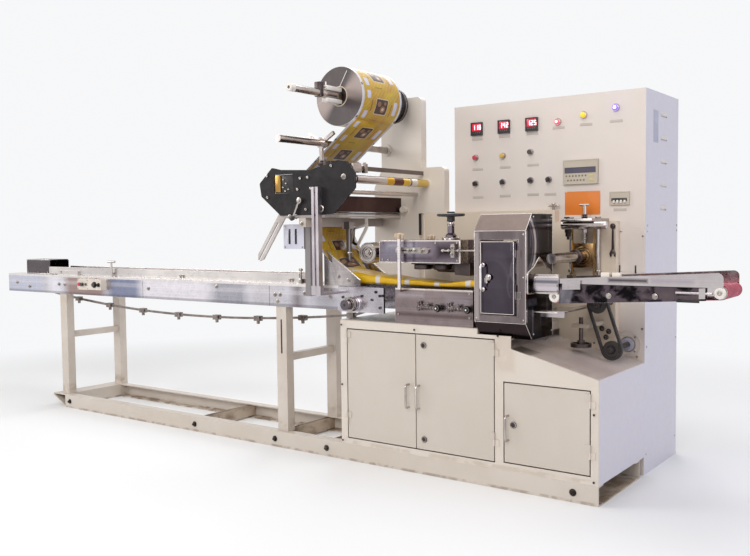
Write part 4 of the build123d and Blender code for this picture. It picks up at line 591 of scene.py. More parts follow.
def tint(red, green, blue):
    # a colour as a paint card gives it, 0 to 255, for the shader
    shares = [value / 255 for value in (red, green, blue)]
    return (*(share / 12.92 if share < 0.043 else ((share + 0.055) / 1.055) ** 2.4 for share in shares), 1)


finishes = {}

# what a finish takes where its own look doesn't say
usualLook = {
    "shift": (0.0, 0.0, 0.0), "patchSize": 3.0, "patchSpread": 0.14, "patchStretch": (1, 1, 1),
    "patchAmount": 0.6, "grain": (260, 260, 260), "grainTone": 0.04, "dust": 0.15, "edgeReach": 0.003,
    "edgeBreakup": 55.0, "edgeAmount": 0.5, "roughness": 0.4, "roughSwing": 0.1, "metallic": 0.0,
    "specular": 0.5, "coat": 0, "bump": 0.12,
}


def startFinish(name):
    finish = bpy.data.materials.new(name)
    finish.use_nodes = True
    finishes[name] = finish
    return finish.node_tree, finish.node_tree.nodes["Principled BSDF"]


def endFinish(tree, shader, colour, roughness, height, strength, depth, coat, coatRoughness):
    bump = addNode(tree, "ShaderNodeBump", None, Height=height, Strength=strength, Distance=depth)
    for label, value in (("Base Color", colour), ("Roughness", roughness),
            ("Normal", bump.outputs["Normal"])):
        tree.links.new(value, shader.inputs[label])
    if coat:
        shader.inputs["Coat Weight"].default_value = coat
        shader.inputs["Coat Roughness"].default_value = coatRoughness


def newFinish(name, own, pattern=None):
    # one surface finish: two tones, rubbed edges that on steel are painted highlights, dust, and grain in
    # its roughness and bump
    look = {**usualLook, **own}
    tree, shader = startFinish(name)
    patches = useGroup(tree, "blotches", Scale=look["patchSize"],
        Spread=look["patchSpread"], Shift=look["shift"],
                       Stretch=look["patchStretch"])
    fine = useGroup(tree, "blotches", Scale=40.0, Spread=0.2, Shift=look["shift"])
    amount = calc(tree, "MULTIPLY", patches, look["patchAmount"])
    colour = blended(tree, amount, tint(*look["base"]), tint(*look["second"]))
    if "middle" in look:
        grain = useGroup(tree, "roundLines", Middle=look["middle"], Lines=look["lines"])
        # a painted sheen in broad rays round the axis, over the turning lines
        sheen = useGroup(tree, "roundLines", 1, Middle=look["middle"], Rays=look["rays"])
        colour = blended(tree, calc(tree, "MULTIPLY", sheen, look["sheenAmount"]),
            colour, tint(*look["sheen"]))
    else:
        grain = useGroup(tree, "streaks", Stretch=look["grain"])
    if pattern:
        colour = pattern(tree, colour)
    colour = scaled(tree, colour, ramp(tree, grain, 0.3, 0.7, 1 - look["grainTone"], 1 + look["grainTone"]))
    if look["dust"] > 0:
        dust = useGroup(tree, "settledDust", Amount=look["dust"], Scale=12.0)
        dusty = tint(*look["dustColour"]) if "dustColour" in look else (0.42, 0.37, 0.30, 1)
        colour = blended(tree, dust, colour, dusty)
    edgeMask = useGroup(tree, "edgeWearAndHighlight", Reach=look["edgeReach"], Breakup=look["edgeBreakup"],
        Amount=look["edgeAmount"])
    edgeTone = tint(*look["edgeColour"]) if "edgeColour" in look else (0.35, 0.30, 0.25, 1)
    colour = blended(tree, edgeMask, colour, edgeTone)
    both = calc(tree, "MULTIPLY_ADD", fine, 0.6, calc(tree, "MULTIPLY", grain, 0.4))
    low, high = look["roughness"] - look["roughSwing"], look["roughness"] + look["roughSwing"]
    height = calc(tree, "MULTIPLY_ADD", fine, 0.4, grain)
    endFinish(tree, shader, colour, ramp(tree, both, 0.2, 0.8, low, high), height, look["bump"],
        0.0006, look["coat"], 0.15)
    shader.inputs["Metallic"].default_value = look["metallic"]
    shader.inputs["Specular IOR Level"].default_value = look["specular"]
    if "glow" in look:
        shader.inputs["Emission Strength"].default_value = look["glow"]
        shader.inputs["Emission Color"].default_value = tint(*look["glowColour"])


def zone(tree, colour, low, high, shade, soft=0.0005, amount=1.0, rough=None):
    # another tone inside a box given in millimetres, broken up into patches where rough gives their size
    mask = useGroup(tree, "boxZone", Low=metres(*low), High=metres(*high), Soft=soft)
    if rough:
        shift = (low[0] / 300, 2.0, high[2] / 200)
        mask = calc(tree, "MULTIPLY", mask, useGroup(tree, "blotches", Scale=rough,
            Spread=0.08, Shift=shift))
    return blended(tree, calc(tree, "MULTIPLY", mask, amount), colour, tint(*shade))


def bow(tree, colour, middle, flat, radius, width, shade, low, high, soft, amount):
    # a curved reflection, kept inside a box in millimetres
    mask = useGroup(tree, "bowBand", Middle=metres(*middle), Flat=flat,
        Radius=radius / 1000, Width=width / 1000)
    room = useGroup(tree, "boxZone", Low=metres(*low), High=metres(*high), Soft=soft)
    inside = calc(tree, "MULTIPLY", mask, room)
    return blended(tree, calc(tree, "MULTIPLY", inside, amount), colour, tint(*shade))


def patternOf(painter, rows):
    # paints one row after another over the colour
    def pattern(tree, colour):
        for row in rows:
            colour = painter(tree, colour, *row)
        return colour
    return pattern


def zones(*rows):
    return patternOf(zone, rows)


def bows(*rows):
    return patternOf(bow, rows)


def chained(*patterns):
    return patternOf(lambda tree, colour, part: part(tree, colour), [(part,) for part in patterns])


# finishes of the machine
def creamOf(name, changes=None, pattern=None):
    look = {
        "base": (217, 207, 197), "second": (206, 194, 181), "patchSize": 2.2, "patchSpread": 0.22,
        "patchAmount": 0.7, "grain": (420, 420, 420), "grainTone": 0.015, "roughness": 0.40,
        "roughSwing": 0.09, "bump": 0.10, "coat": 0.12, "dust": 0.20, "dustColour": (168, 150, 130),
        "edgeColour": (120, 100, 82), "edgeReach": 0.0022, "edgeAmount": 0.5, "edgeBreakup": 26.0,
    }
    look.update(changes or {})
    newFinish(name, look, pattern)


def steelOf(name, base, second, changes=None, pattern=None):
    look = {
        "base": base, "second": second, "patchSize": 2.0, "patchSpread": 0.24,
        "patchStretch": (1.0, 1.0, 0.6), "patchAmount": 0.9, "grain": (3, 320, 320), "grainTone": 0.06,
        "metallic": 1.0, "roughness": 0.27, "roughSwing": 0.06, "bump": 0.06, "dust": 0.05,
        # the light edge colour paints highlights along the steel's edges
        "edgeColour": (232, 228, 226), "edgeAmount": 0.75, "edgeReach": 0.0016, "edgeBreakup": 14.0,
    }
    look.update(changes or {})
    newFinish(name, look, pattern)


# brown marks where packs and oil land at the top of the slope, a rubbed lower strip, and a painted shadow
# under the jaw cover
chuteStainsAndShadow = zones(
    ((-60, -140, 560), (230, 120, 640), (150, 127, 106), 0.05, 0.8, 6.0),
    ((60, 60, 540), (320, 345, 620), (188, 166, 148), 0.04, 0.75, 5.0),
    ((-60, -138, 480), (402, -60, 640), (178, 160, 148), 0.03, 0.5, 9.0),
    # painted shadow under the jaw cover at the top of the slope
    ((20, -150, 560), (125, -30, 622), (38, 32, 32), 0.02, 0.95),
)

# darker patches toward the back and the middle of the deck, and a painted shadow under the infeed's head
# plates
deckPatchesAndShadow = zones(
    ((-856, 40, 655), (31, 343, 670), (140, 120, 102), 0.08, 0.8, 5.0),
    # painted shadow under the head plates and in the gap beside them
    ((-852, -122, 655), (-548, 200, 671), (84, 72, 68), 0.03, 0.85),
    ((-330, -125, 655), (31, 120, 671), (120, 104, 92), 0.04, 0.7, 8.0),
)

# painted shade on the wall round the jaws and the printer, broken into patches
wallShade = zones(
    ((-640, 335, 640), (20, 345, 900), (168, 150, 136), 0.08, 0.8, 4.0),
    ((-20, 335, 640), (300, 345, 1100), (196, 178, 154), 0.06, 0.7, 5.0),
    ((-840, 330, 990), (-730, 345, 1060), (150, 132, 116), 0.02, 0.7, 14.0),
)

# the foot of the cabinet is darker, with small chips, and a painted shadow falls on the front under the jaw
# cover
cabinetMarksAndShadow = zones(
    ((-860, -141, 78), (410, -125, 104), (176, 160, 144), 0.012, 0.7, 12.0),
    # painted shadow under the jaw cover
    ((-60, -141, 480), (60, -125, 668), (190, 172, 156), 0.04, 0.7, 10.0),
)

railMarks = zones(
    ((-3200, -135, -5), (410, 340, 14), (120, 92, 70), 0.008, 0.85, 14.0),
    ((-1500, -120, 30), (-856, 330, 82), (150, 128, 108), 0.03, 0.7, 8.0),
    ((-2500, -135, 30), (-1900, -100, 82), (186, 168, 148), 0.02, 0.6, 9.0),
)

legMarks = zones(
    ((-3200, -140, 78), (-1100, 330, 150), (168, 148, 130), 0.03, 0.75, 14.0),
    ((-3200, -140, 640), (-1100, 330, 780), (178, 160, 144), 0.05, 0.7, 9.0),
)

# the long polished plate mirrors the room: bluish, warm and bright stretches
infeedStretches = [
    (-3720, -3240, (196, 198, 214), 0.8), (-3230, -3040, (236, 232, 240), 0.8),
    (-3060, -2620, (160, 136, 130), 0.95), (-2640, -2300, (124, 130, 156), 0.9),
    (-2330, -1740, (226, 220, 226), 0.9), (-1760, -1450, (160, 158, 166), 0.9),
    (-1470, -1220, (196, 192, 196), 0.9), (-1200, -1070, (120, 110, 112), 0.85),
    (-1060, -860, (166, 162, 168), 0.8),
]
infeedReflections = zones(
    *[((left, -124, 600), (right, -100, 900), shade, 0.07, amount)
    for left, right, shade, amount in infeedStretches],
    ((-3665, -118, 760), (-880, -100, 792), (238, 232, 236), 0.012, 0.35),
    ((-3665, -118, 700), (-880, -100, 722), (96, 90, 98), 0.006, 0.45),
    ((-3665, -118, 806), (-880, -60, 822), (228, 222, 218), 0.002, 0.9),
)

# brushed front frame, brown sloping faces, and a dark polished side with light bowed bands
coverSideBands = [
    (-166, -148, 700, 1075, (206, 200, 204)), (-128, -112, 1000, 1112, (96, 96, 112)),
    (40, 50, 1000, 1130, (110, 106, 118)), (-146, -60, 764, 800, (170, 170, 186)),
    (-112, -92, 650, 770, (132, 132, 148)), (-40, -20, 660, 740, (96, 92, 104)),
    (20, 44, 700, 800, (104, 98, 108)),
]
coverBows = [(150, 15, (226, 222, 228)), (128, 9, (118, 114, 128)), (172, 8, (86, 84, 98))]
coverReflections = chained(
    zones(
        ((-125, -170, 1068), (118, -90, 1142), (88, 77, 72), 0.001, 0.95),
        ((-125, -170, 600), (118, -108, 700), (44, 32, 35), 0.001, 0.95),
        ((-122, -170, 700), (-92, -160, 1070), (196, 184, 182), 0.01, 0.55),
        ((80, -170, 700), (112, -160, 1070), (104, 92, 94), 0.012, 0.5),
        ((112, -160, 600), (118, 92, 1145), (34, 29, 33), 0.004, 0.95),
        *[((112, front, low), (118, rear, high), shade, 0.009, 0.9)
        for front, rear, low, high, shade in coverSideBands],
    ),
    bows(*[
        ((115, -226, 1010), (0, 1, 1), radius, width, shade, (112, -160, 905), (118, 90, 1136), 0.02, 0.95)
        for radius, width, shade in coverBows
    ]),
    zones(
        ((112, -70, 600), (118, 92, 700), (52, 42, 44), 0.03, 0.8),
        ((-113, -161, 700), (111, 84, 1068), (20, 16, 18), 0.0006, 0.97),
        ((-125, -112, 700), (-112, 92, 1070), (120, 110, 110), 0.01, 0.7),
    ),
)

# the dark mirror of the guard door, with a lighter rim and a warm arc low down
doorBows = [(92, 26, (116, 100, 98), 0.9), (74, 12, (150, 140, 146), 0.6), (122, 14, (58, 48, 55), 0.8)]
doorReflections = chained(
    zones(
        ((-80, -182, 960), (70, -164, 1032), (128, 120, 132), 0.05, 0.9),
        ((-84, -182, 732), (74, -164, 840), (40, 33, 40), 0.05, 0.9),
    ),
    bows(
        *[
            ((-40, -174, 880), (1, 0, 1), radius, width, shade, (-86, -182, 884),
            (76, -164, 1010), 0.02, amount)
            for radius, width, shade, amount in doorBows
        ],
        ((128, -174, 912), (1, 0, 1), 78, 9, (206, 198, 204), (30, -182, 860), (76, -164, 960), 0.02, 0.9),
        ((130, -174, 850), (1, 0, 1), 96, 8, (168, 158, 164), (20, -182, 800), (76, -164, 900), 0.02, 0.8),
    ),
)

# upper housing: grey blue to the left, darker to the right, bright rims
finReflections = zones(
    ((-640, -150, 930), (-400, -100, 1036), (134, 129, 142), 0.05, 0.9),
    ((-350, -150, 930), (-207, -100, 1036), (30, 20, 21), 0.05, 0.95),
    ((-500, -150, 936), (-330, -100, 970), (84, 74, 84), 0.03, 0.8),
    ((-600, -150, 990), (-420, -100, 1030), (178, 174, 186), 0.03, 0.6),
    ((-455, -150, 930), (-430, -100, 1036), (60, 52, 60), 0.012, 0.6),
    ((-640, -150, 1026), (-206, -100, 1036), (222, 212, 204), 0.002, 0.9),
    ((-216, -150, 930), (-206, -60, 1036), (226, 216, 208), 0.001, 0.9),
    ((-640, -150, 930), (-206, -100, 937), (214, 206, 202), 0.001, 0.8),
)

lowerFinReflections = zones(
    ((-548, -150, 812), (-140, -100, 822), (196, 184, 178), 0.002, 0.9),
    ((-520, -175, 816), (-490, -132, 1042), (228, 220, 220), 0.001, 0.97),
    ((-548, -150, 770), (-380, -100, 815), (176, 164, 166), 0.03, 0.7),
    ((-548, -150, 690), (-140, -100, 720), (92, 78, 76), 0.012, 0.8),
    ((-300, -150, 735), (-150, -100, 812), (150, 140, 146), 0.03, 0.6),
)

# discharge sides: light upper guide with one dark mirrored stretch, black mirror below
entryBands = [
    (882, 890, (255, 250, 250), 0.8), (858, 876, (112, 112, 126), 0.9), (834, 850, (196, 190, 198), 0.8),
    (822, 831, (62, 58, 68), 0.95),
]
guideReflections = zones(
    ((225, -118, 770), (800, -104, 862), (14, 10, 14), 0.001, 0.99),
    ((225, -126, 770), (800, -104, 862), (104, 92, 98), 0.004, 0.75, 16.0),
    ((225, -126, 770), (330, -110, 850), (168, 162, 172), 0.03, 0.6, 9.0),
    ((560, -126, 780), (800, -110, 850), (120, 104, 104), 0.03, 0.7, 12.0),
    ((430, -122, 868), (590, -108, 892), (66, 54, 62), 0.012, 0.95),
    ((590, -122, 868), (760, -108, 894), (170, 160, 172), 0.02, 0.6),
    *[((40, -130, low), (236, -100, high), shade, 0.006, amount)
    for low, high, shade, amount in entryBands],
    ((120, -130, 738), (236, -118, 760), (120, 112, 118), 0.003, 0.8),
)

# rubbed places and oil on the black printer plate
plateScratches = zones(
    ((-1120, -270, 1150), (-900, -250, 1220), (52, 46, 49), 0.03, 0.8, 10.0),
    ((-900, -270, 1300), (-650, -250, 1395), (46, 40, 43), 0.03, 0.7, 7.0),
)

# film wound over the roller's middle shows as yellow bands and a brown one
rollerFilm = [(-16, 42, (226, 180, 34)), (42, 120, (96, 50, 40)), (120, 175, (226, 186, 50)),
    (240, 335, (214, 186, 96))]
rollerBands = zones(
    *[((-700, front, 1280), (-650, rear, 1330), shade, 0.001, 0.95) for front, rear, shade in rollerFilm],
    ((-714, -260, 1330), (-680, 345, 1382), (112, 102, 100), 0.001, 0.95),
)

# bluish sensor box, grey metal inner post, dark bright-edged hanger: the rest is painted
supportParts = zones(
    ((-1018, -240, 765), (-980, -155, 1136), (128, 122, 124), 0.001, 0.97),
    ((-932, 2, 920), (-898, 38, 1122), (86, 78, 82), 0.001, 0.97),
    ((-908, 4, 925), (-903, 36, 1100), (196, 190, 188), 0.001, 0.9),
    ((-1068, -268, 1136), (-828, -160, 1152), (150, 142, 140), 0.001, 0.97),
    ((-1146, -198, 990), (-1016, -152, 1112), (206, 206, 220), 0.001, 0.97),
)

# the slanted arm is painted, darker and greasy at its root
armParts = zones(
    ((-1120, -260, 1090), (-1060, -245, 1180), (128, 116, 110), 0.03, 0.8, 9.0),
)

# painted cool light: the cabinets' right sides are tinted blue
coolSide = zones(
    ((403, -145, -10), (407, 850, 1680), (214, 209, 217), 0.0005, 1.0),
)

# the knobs on the two switch boxes
switchKnobs = [(-2817, -2788), (-2704, -2674)]
switchParts = zones(*[((left, -170, 758), (right, -152.4, 788), (34, 28, 30), 0.0005, 0.97)
    for left, right in switchKnobs])

# the head shaft's collar and spring are darker than the plates, with bright lines turned in them
collarLines = [(-190, -186), (-172, -168), (-136, -131)]
headParts = zones(
    ((-830, -195, 690), (-735, -124, 790), (96, 88, 94), 0.001, 0.95),
    *[((-830, front, 690), (-735, rear, 790), (214, 206, 208), 0.0005, 0.8) for front, rear in collarLines],
)

# the lower hand wheel's bracket and its screw are lighter than the sprockets
bracketPaint = zones(
    ((150, 150, 640), (250, 392, 700), (196, 182, 164), 0.001, 0.9),
)

creamOf("creamPaint")
creamOf("creamFront", {"patchSize": 1.6, "shift": (1.0, 0.0, 3.0)}, cabinetMarksAndShadow)
creamOf("creamWall", {"base": (230, 215, 196), "second": (212, 196, 176)}, wallShade)
creamOf("creamChute", {"base": (214, 203, 195), "second": (196, 184, 176), "dust": 0.1}, chuteStainsAndShadow)
creamOf("creamDeck", {"base": (208, 195, 182), "second": (184, 168, 150), "dust": 0.25}, deckPatchesAndShadow)
creamOf("creamDoors", {"base": (202, 192, 181), "second": (195, 184, 172), "shift": (3.0, 1.0, 2.0)})
creamOf("creamPanel", {
    "base": (224, 214, 207), "second": (216, 205, 196), "dust": 0.05, "edgeAmount": 0.25,
    "patchSize": 1.4}, coolSide)
creamOf("creamRails", {"base": (207, 197, 187), "second": (196, 184, 171), "patchSize": 4.0,
    "edgeAmount": 0.75, "shift": (0.0, 2.0, 1.0)}, railMarks)
creamOf("creamStained", {
    "base": (190, 174, 156), "second": (120, 98, 78), "patchSize": 7.0,
    "patchSpread": 0.1, "patchAmount": 0.8,
    "dust": 0.5, "dustColour": (128, 108, 88), "edgeAmount": 0.8, "roughness": 0.55, "coat": 0})
creamOf("creamLegs", {
    "base": (208, 198, 189), "second": (192, 179, 166), "patchSize": 5.0, "edgeAmount": 0.8,
    "shift": (1.0, 5.0, 0.0)}, legMarks)
creamOf("creamStand", {"base": (230, 220, 209), "second": (218, 206, 193)})
creamOf("creamSides", None, coolSide)
creamOf("creamSwitch", {"patchSize": 12.0, "edgeAmount": 0.7}, switchParts)
creamOf("creamSupport", {"base": (200, 188, 178), "second": (170, 156, 144), "patchSize": 8.0},
    supportParts)
creamOf("creamArm", {"base": (196, 188, 184), "second": (168, 158, 152), "patchSize": 9.0}, armParts)
newFinish("blackPlate", {
    "specular": 0.25, "base": (15, 11, 13), "second": (28, 22, 24), "patchSize": 6.0, "patchAmount": 0.7,
    "grain": (700, 700, 700), "roughness": 0.50, "roughSwing": 0.1, "bump": 0.25, "dust": 0.15,
    "edgeColour": (170, 160, 152), "edgeAmount": 0.75,
    "edgeReach": 0.0018}, plateScratches)
newFinish("sprocketPaint", {
    "base": (40, 34, 34), "second": (60, 50, 48), "patchSize": 8.0, "grain": (500, 500, 500),
    "roughness": 0.35, "bump": 0.2,
    "dust": 0.2, "edgeColour": (140, 128, 120), "edgeReach": 0.0018}, bracketPaint)
newFinish("blackPaint", {
    "specular": 0.3, "base": (26, 21, 21), "second": (44, 35, 34), "patchSize": 8.0, "patchAmount": 0.8,
    "grain": (500, 500, 500), "roughness": 0.35, "roughSwing": 0.1, "bump": 0.2, "dust": 0.2,
    "edgeColour": (150, 138, 130), "edgeAmount": 0.6,
    "edgeReach": 0.0018})
steelOf("housingBrown", (92, 70, 68), (58, 42, 42),
    {"grain": (3, 260, 260), "dust": 0.04, "roughness": 0.2, "patchSize": 5.0})
steelOf("infeedSteel", (222, 218, 222), (180, 176, 186), {
    "grain": (2, 200, 200), "roughness": 0.30, "edgeBreakup": 8.0}, infeedReflections)
steelOf("railSteel", (222, 216, 212), (186, 180, 178), {"roughness": 0.33})
steelOf("tailSteel", (104, 96, 98), (72, 66, 70), {"patchSize": 5.0, "edgeBreakup": 5.0})
steelOf("chainSteel", (150, 140, 136), (104, 92, 86),
    {"patchSize": 20.0, "grain": (160, 160, 160), "roughness": 0.4, "bump": 0.15})
steelOf("postAluminium", (214, 208, 212), (168, 160, 164), {
    "grain": (260, 260, 4), "roughness": 0.36, "grainTone": 0.08, "patchSize": 5.0})
steelOf("headSteel", (214, 208, 214), (160, 154, 160), {"patchSize": 7.0, "roughness": 0.26}, headParts)
steelOf("formerSteel", (206, 198, 196), (140, 132, 132), {"patchSize": 6.0, "roughness": 0.22})
steelOf("finSteel", (146, 136, 146), (112, 98, 106),
    {"patchSize": 3.0, "grain": (3, 240, 240)}, finReflections)
steelOf("lowerFinSteel", (150, 136, 136), (116, 102, 102), {
    "patchSize": 4.0, "grain": (4, 180, 180), "grainTone": 0.12, "roughness": 0.32}, lowerFinReflections)
steelOf("coverSteel", (140, 128, 128), (104, 93, 95), {
    "patchSize": 4.0, "patchStretch": (2.4, 2.4, 0.35), "grain": (220, 220, 5), "grainTone": 0.05,
    "roughness": 0.17, "roughSwing": 0.03, "bump": 0.03, "dust": 0.0}, coverReflections)
steelOf("mirrorSteel", (84, 77, 86), (58, 50, 58), {
    "patchSize": 5.0, "roughness": 0.10, "roughSwing": 0.03, "grainTone": 0.02, "bump": 0.015, "dust": 0.0,
    "edgeReach": 0.0012}, doorReflections)
steelOf("guideSteel", (202, 194, 194), (170, 162, 164),
    {"patchSize": 3.0, "roughness": 0.17, "grainTone": 0.04, "dust": 0.0}, guideReflections)
steelOf("chrome", (206, 198, 193), (160, 150, 146), {
    "patchSize": 9.0, "grain": (300, 8, 300), "grainTone": 0.05, "roughness": 0.14,
    "roughSwing": 0.05, "bump": 0.03})
steelOf("rollerChrome", (232, 226, 224), (170, 160, 158), {
    "patchSize": 4.0, "patchStretch": (3.0, 0.6, 6.0), "grain": (300, 8, 300), "roughness": 0.16,
    "bump": 0.03}, rollerBands)
steelOf("handleSteel", (246, 242, 242), (222, 216, 216),
    {"patchSize": 30.0, "roughness": 0.32, "dust": 0.0})
steelOf("darkSteel", (96, 86, 84), (58, 50, 50),
    {"patchSize": 14.0, "grain": (200, 200, 200), "roughness": 0.36})
steelOf("shinyBolt", (190, 182, 176), (128, 120, 114),
    {"patchSize": 40.0, "grain": (600, 600, 600), "roughness": 0.26})
steelOf("darkBolt", (70, 62, 60), (38, 33, 33),
    {"patchSize": 40.0, "grain": (600, 600, 600), "roughness": 0.38})
steelOf("brass", (196, 158, 92), (150, 112, 60),
    {"patchSize": 12.0, "edgeColour": (236, 206, 148), "roughness": 0.3})
steelOf("bearingBrown", (146, 116, 80), (92, 66, 46),
    {"patchSize": 9.0, "edgeColour": (220, 184, 120), "dust": 0.2})
newFinish("whiteNylon", {
    "base": (234, 228, 222), "second": (214, 205, 196), "patchSize": 20.0,
    "grain": (500, 500, 500), "grainTone": 0.02,
    "roughness": 0.38, "bump": 0.08, "dust": 0.1, "edgeColour": (190, 180, 170), "edgeAmount": 0.3})
newFinish("blackPlastic", {
    "base": (38, 35, 38), "second": (54, 49, 52), "grain": (700, 700, 700), "roughness": 0.36, "bump": 0.2,
    "dust": 0.1, "edgeColour": (120, 114, 112), "edgeAmount": 0.5, "edgeReach": 0.0015})
newFinish("blackRubber", {
    "base": (36, 32, 32), "second": (54, 47, 44), "grain": (500, 120, 500), "roughness": 0.62, "bump": 0.35,
    "dust": 0.2, "edgeColour": (96, 88, 84), "edgeAmount": 0.5})
newFinish("redBelt", {
    "base": (168, 30, 64), "second": (142, 26, 54), "patchSize": 10.0, "grain": (30, 700, 700),
    "grainTone": 0.10, "roughness": 0.5, "bump": 0.3, "dust": 0.12, "dustColour": (180, 130, 140),
    "edgeColour": (212, 130, 148), "edgeAmount": 0.6})
newFinish("instrumentBlack", {
    "base": (44, 38, 42), "second": (58, 50, 54), "grain": (900, 900, 900), "roughness": 0.35, "bump": 0.12,
    "dust": 0.0, "edgeColour": (118, 108, 110), "edgeAmount": 0.5, "edgeReach": 0.0015})
newFinish("instrumentBeige", {
    "base": (196, 186, 170), "second": (184, 172, 156), "grain": (900, 900, 900),
    "roughness": 0.45, "bump": 0.15,
    "dust": 0.05, "edgeColour": (120, 110, 100), "edgeAmount": 0.6, "edgeReach": 0.0015})
print("finishes ready")

finishNodes = {
    "creamRails": "base_rails base_end_nose", "creamStained": "base_cross_members base_floor_plate",
    "creamFront": "cabinet_front", "creamSides": "cabinet_walls", "creamDeck": "cabinet_deck",
    "creamChute": "chute_plate", "creamDoors": "left_door right_door small_door",
    "darkSteel": "right_door_locks small_door_lock lower_handwheel",
    "chrome": "left_door_handle right_door_handle small_door_handle indicator_lamps reel_shaft spare_shaft "
              "printer_lever disc_roller sealing_jaws side_drive",
    "creamPanel": "control_cabinet_lower control_cabinet_upper",
    "instrumentBlack": "temperature_controllers", "instrumentBeige": "display_and_breaker",
    "blackPlastic": "push_buttons film_reel handwheel", "creamWall": "machine_wall",
    "creamStand": "unwind_stand", "creamPaint": "film_web film_tube", "blackPlate": "printer_front_plate",
    "rollerChrome": "printer_rollers", "housingBrown": "printer_housing", "creamSupport": "printer_support",
    "creamArm": "printer_arm", "postAluminium": "slotted_post", "infeedSteel": "infeed_side_plates",
    "creamLegs": "infeed_legs", "tailSteel": "infeed_tail_cover",
    "railSteel": "guide_rails discharge_rollers", "creamSwitch": "switch_boxes",
    "headSteel": "infeed_head_plates", "chainSteel": "infeed_chain", "formerSteel": "former_plates",
    "finSteel": "fin_upper_box", "shinyBolt": "fin_slide_bar", "lowerFinSteel": "fin_lower_box",
    "coverSteel": "jaw_cover", "mirrorSteel": "guard_door", "handleSteel": "guard_door_handle",
    "guideSteel": "discharge_frame", "redBelt": "discharge_belt", "blackRubber": "drive_chain",
    "sprocketPaint": "drive_sprockets",
}
for finishName, nodeNames in finishNodes.items():
    for nodeName in nodeNames.split():
        nodes[nodeName].data.materials.clear()
        nodes[nodeName].data.materials.append(finishes[finishName])
print("CAD nodes finished")


# the film: reel, web and folded tube, printed on their own UV maps
filmLook = {"axisX": -825.0, "axisZ": 1690.7, "radius": 134.6, "core": 41.0, "half": 155.0,
    "leaveX": 0.6032, "leaveZ": -0.7976,
            "path": [(-743.6, 1583.0), (-1150.0, 1275.6), (-1012.0, 1146.0),
            (-990.0, 1060.0), (-945.0, 985.0)],
            "foldShift": 0.93, "tubeShift": 1.08}


def filmFinish(name, wrinkle, banded=False):
    tree, shader = startFinish(name)
    colour = useGroup(tree, "filmPrint")
    if banded:
        # folded, the film shows its plain yellow side with white bands across
        plain = useGroup(tree, "blotches", Scale=9.0, Spread=0.3, Stretch=(0.4, 1.4, 1.4))
        colour = blended(tree, ramp(tree, plain, 0.0, 1.0, 0.82, 1.0), colour, tint(232, 184, 12))
        parts = separated(tree, addNode(tree, "ShaderNodeTexCoord").outputs["UV"])
        turn = calc(tree, "FRACT", calc(tree, "DIVIDE", parts[1], 0.156))
        inBand = calc(tree, "LESS_THAN", calc(tree, "ABSOLUTE", calc(tree, "SUBTRACT", turn, 0.12)), 0.08)
        colour = blended(tree, calc(tree, "MULTIPLY", inBand, 1.0), colour, tint(226, 218, 208))
    creases = useGroup(tree, "blotches", Scale=16.0, Spread=0.3, Stretch=(0.5, 1.6, 1.6))
    # the same noise darkens the film in its creases: painted shade
    colour = scaled(tree, colour, ramp(tree, creases, 0.0, 1.0, 0.80, 1.0))
    roughness = ramp(tree, creases, 0.0, 1.0, 0.30, 0.44)
    endFinish(tree, shader, colour, roughness, creases, wrinkle, 0.002, 0.12, 0.12)


filmFinish("filmWound", 0.12)
filmFinish("filmWeb", 0.35)
filmFinish("filmFolded", 0.6, True)
# the reel's wound end: turning lines with a painted sheen in broad rays
steelOf("reelEnd", (82, 72, 72), (60, 51, 51), {
    "middle": (-0.825, 0.0, 1.6907), "lines": 1500.0, "rays": 2.0,
    "sheen": (168, 152, 146), "sheenAmount": 0.75,
    "metallic": 0.25, "roughness": 0.34, "grainTone": 0.16, "bump": 0.12, "edgeAmount": 0.3})
newFinish("reelCore", {
    "base": (214, 200, 180), "second": (186, 168, 146), "grain": (200, 200, 200), "roughness": 0.7,
    "bump": 0.3, "dust": 0.0})
newFinish("coreDark", {
    "base": (40, 32, 32), "second": (60, 48, 46), "grain": (200, 200, 200), "roughness": 0.6,
    "bump": 0.2, "dust": 0.0})


def windReel():
    look = filmLook
    middle = Vector((look["axisX"], 0, look["axisZ"]))
    half, radius, core = look["half"], look["radius"], look["core"]
    profile = [(core, 3), (core + 0.6, 0.6), (core + 5, 0.6), (core + 5.4, 1.6), (78, 0.8), (104, 1.4),
        (radius - 1.2, 0.6), (radius, 1.8),
               (radius, 2 * half - 1.8), (radius - 1.2, 2 * half - 0.6), (90, 2 * half - 1.4),
               (core + 5, 2 * half - 0.6), (core, 2 * half - 3)]
    reel = ringPiece("filmReel", (look["axisX"], -half, look["axisZ"]), toBack, profile, 128)
    reel.data.materials.clear()
    for finish in ("filmWound", "reelEnd", "reelCore"):
        reel.data.materials.append(finishes[finish])
    uvs = reel.data.uv_layers.active or reel.data.uv_layers.new(name="film")
    start = math.atan2(look["leaveZ"], look["leaveX"])
    turnLength = math.tau * radius / 1000
    for face in reel.data.polygons:
        place = face.center * 1000 - middle
        reach = math.hypot(place.x, place.z)
        face.material_index = 0 if reach > radius - 0.8 else (1 if reach > core + 5.2 else 2)
        spots = []
        for loop in face.loop_indices:
            spot = reel.data.vertices[reel.data.loops[loop].vertex_index].co * 1000 - middle
            turn = (math.atan2(spot.z, spot.x) - start) % math.tau
            spots.append([(spot.y + half) / (2 * half), -radius * turn / 1000])
        top = max(spot[1] for spot in spots)
        for loop, spot in zip(face.loop_indices, spots):
            if top - spot[1] > turnLength / 2:
                spot[1] += turnLength
            uvs.data[loop].uv = spot
    return fitted(reel, None, "reel", ["film_reel"])


def alongPath(x, z):
    # how far down the web a point lies
    best, gone = (1e9, 0.0), 0.0
    for (x0, z0), (x1, z1) in zip(filmLook["path"], filmLook["path"][1:]):
        length = math.hypot(x1 - x0, z1 - z0)
        part = min(1, max(0, ((x - x0) * (x1 - x0) + (z - z0) * (z1 - z0)) / length ** 2))
        away = math.hypot(x - x0 - part * (x1 - x0), z - z0 - part * (z1 - z0))
        best = min(best, (away, gone + part * length))
        gone += length
    return best[1] / 1000


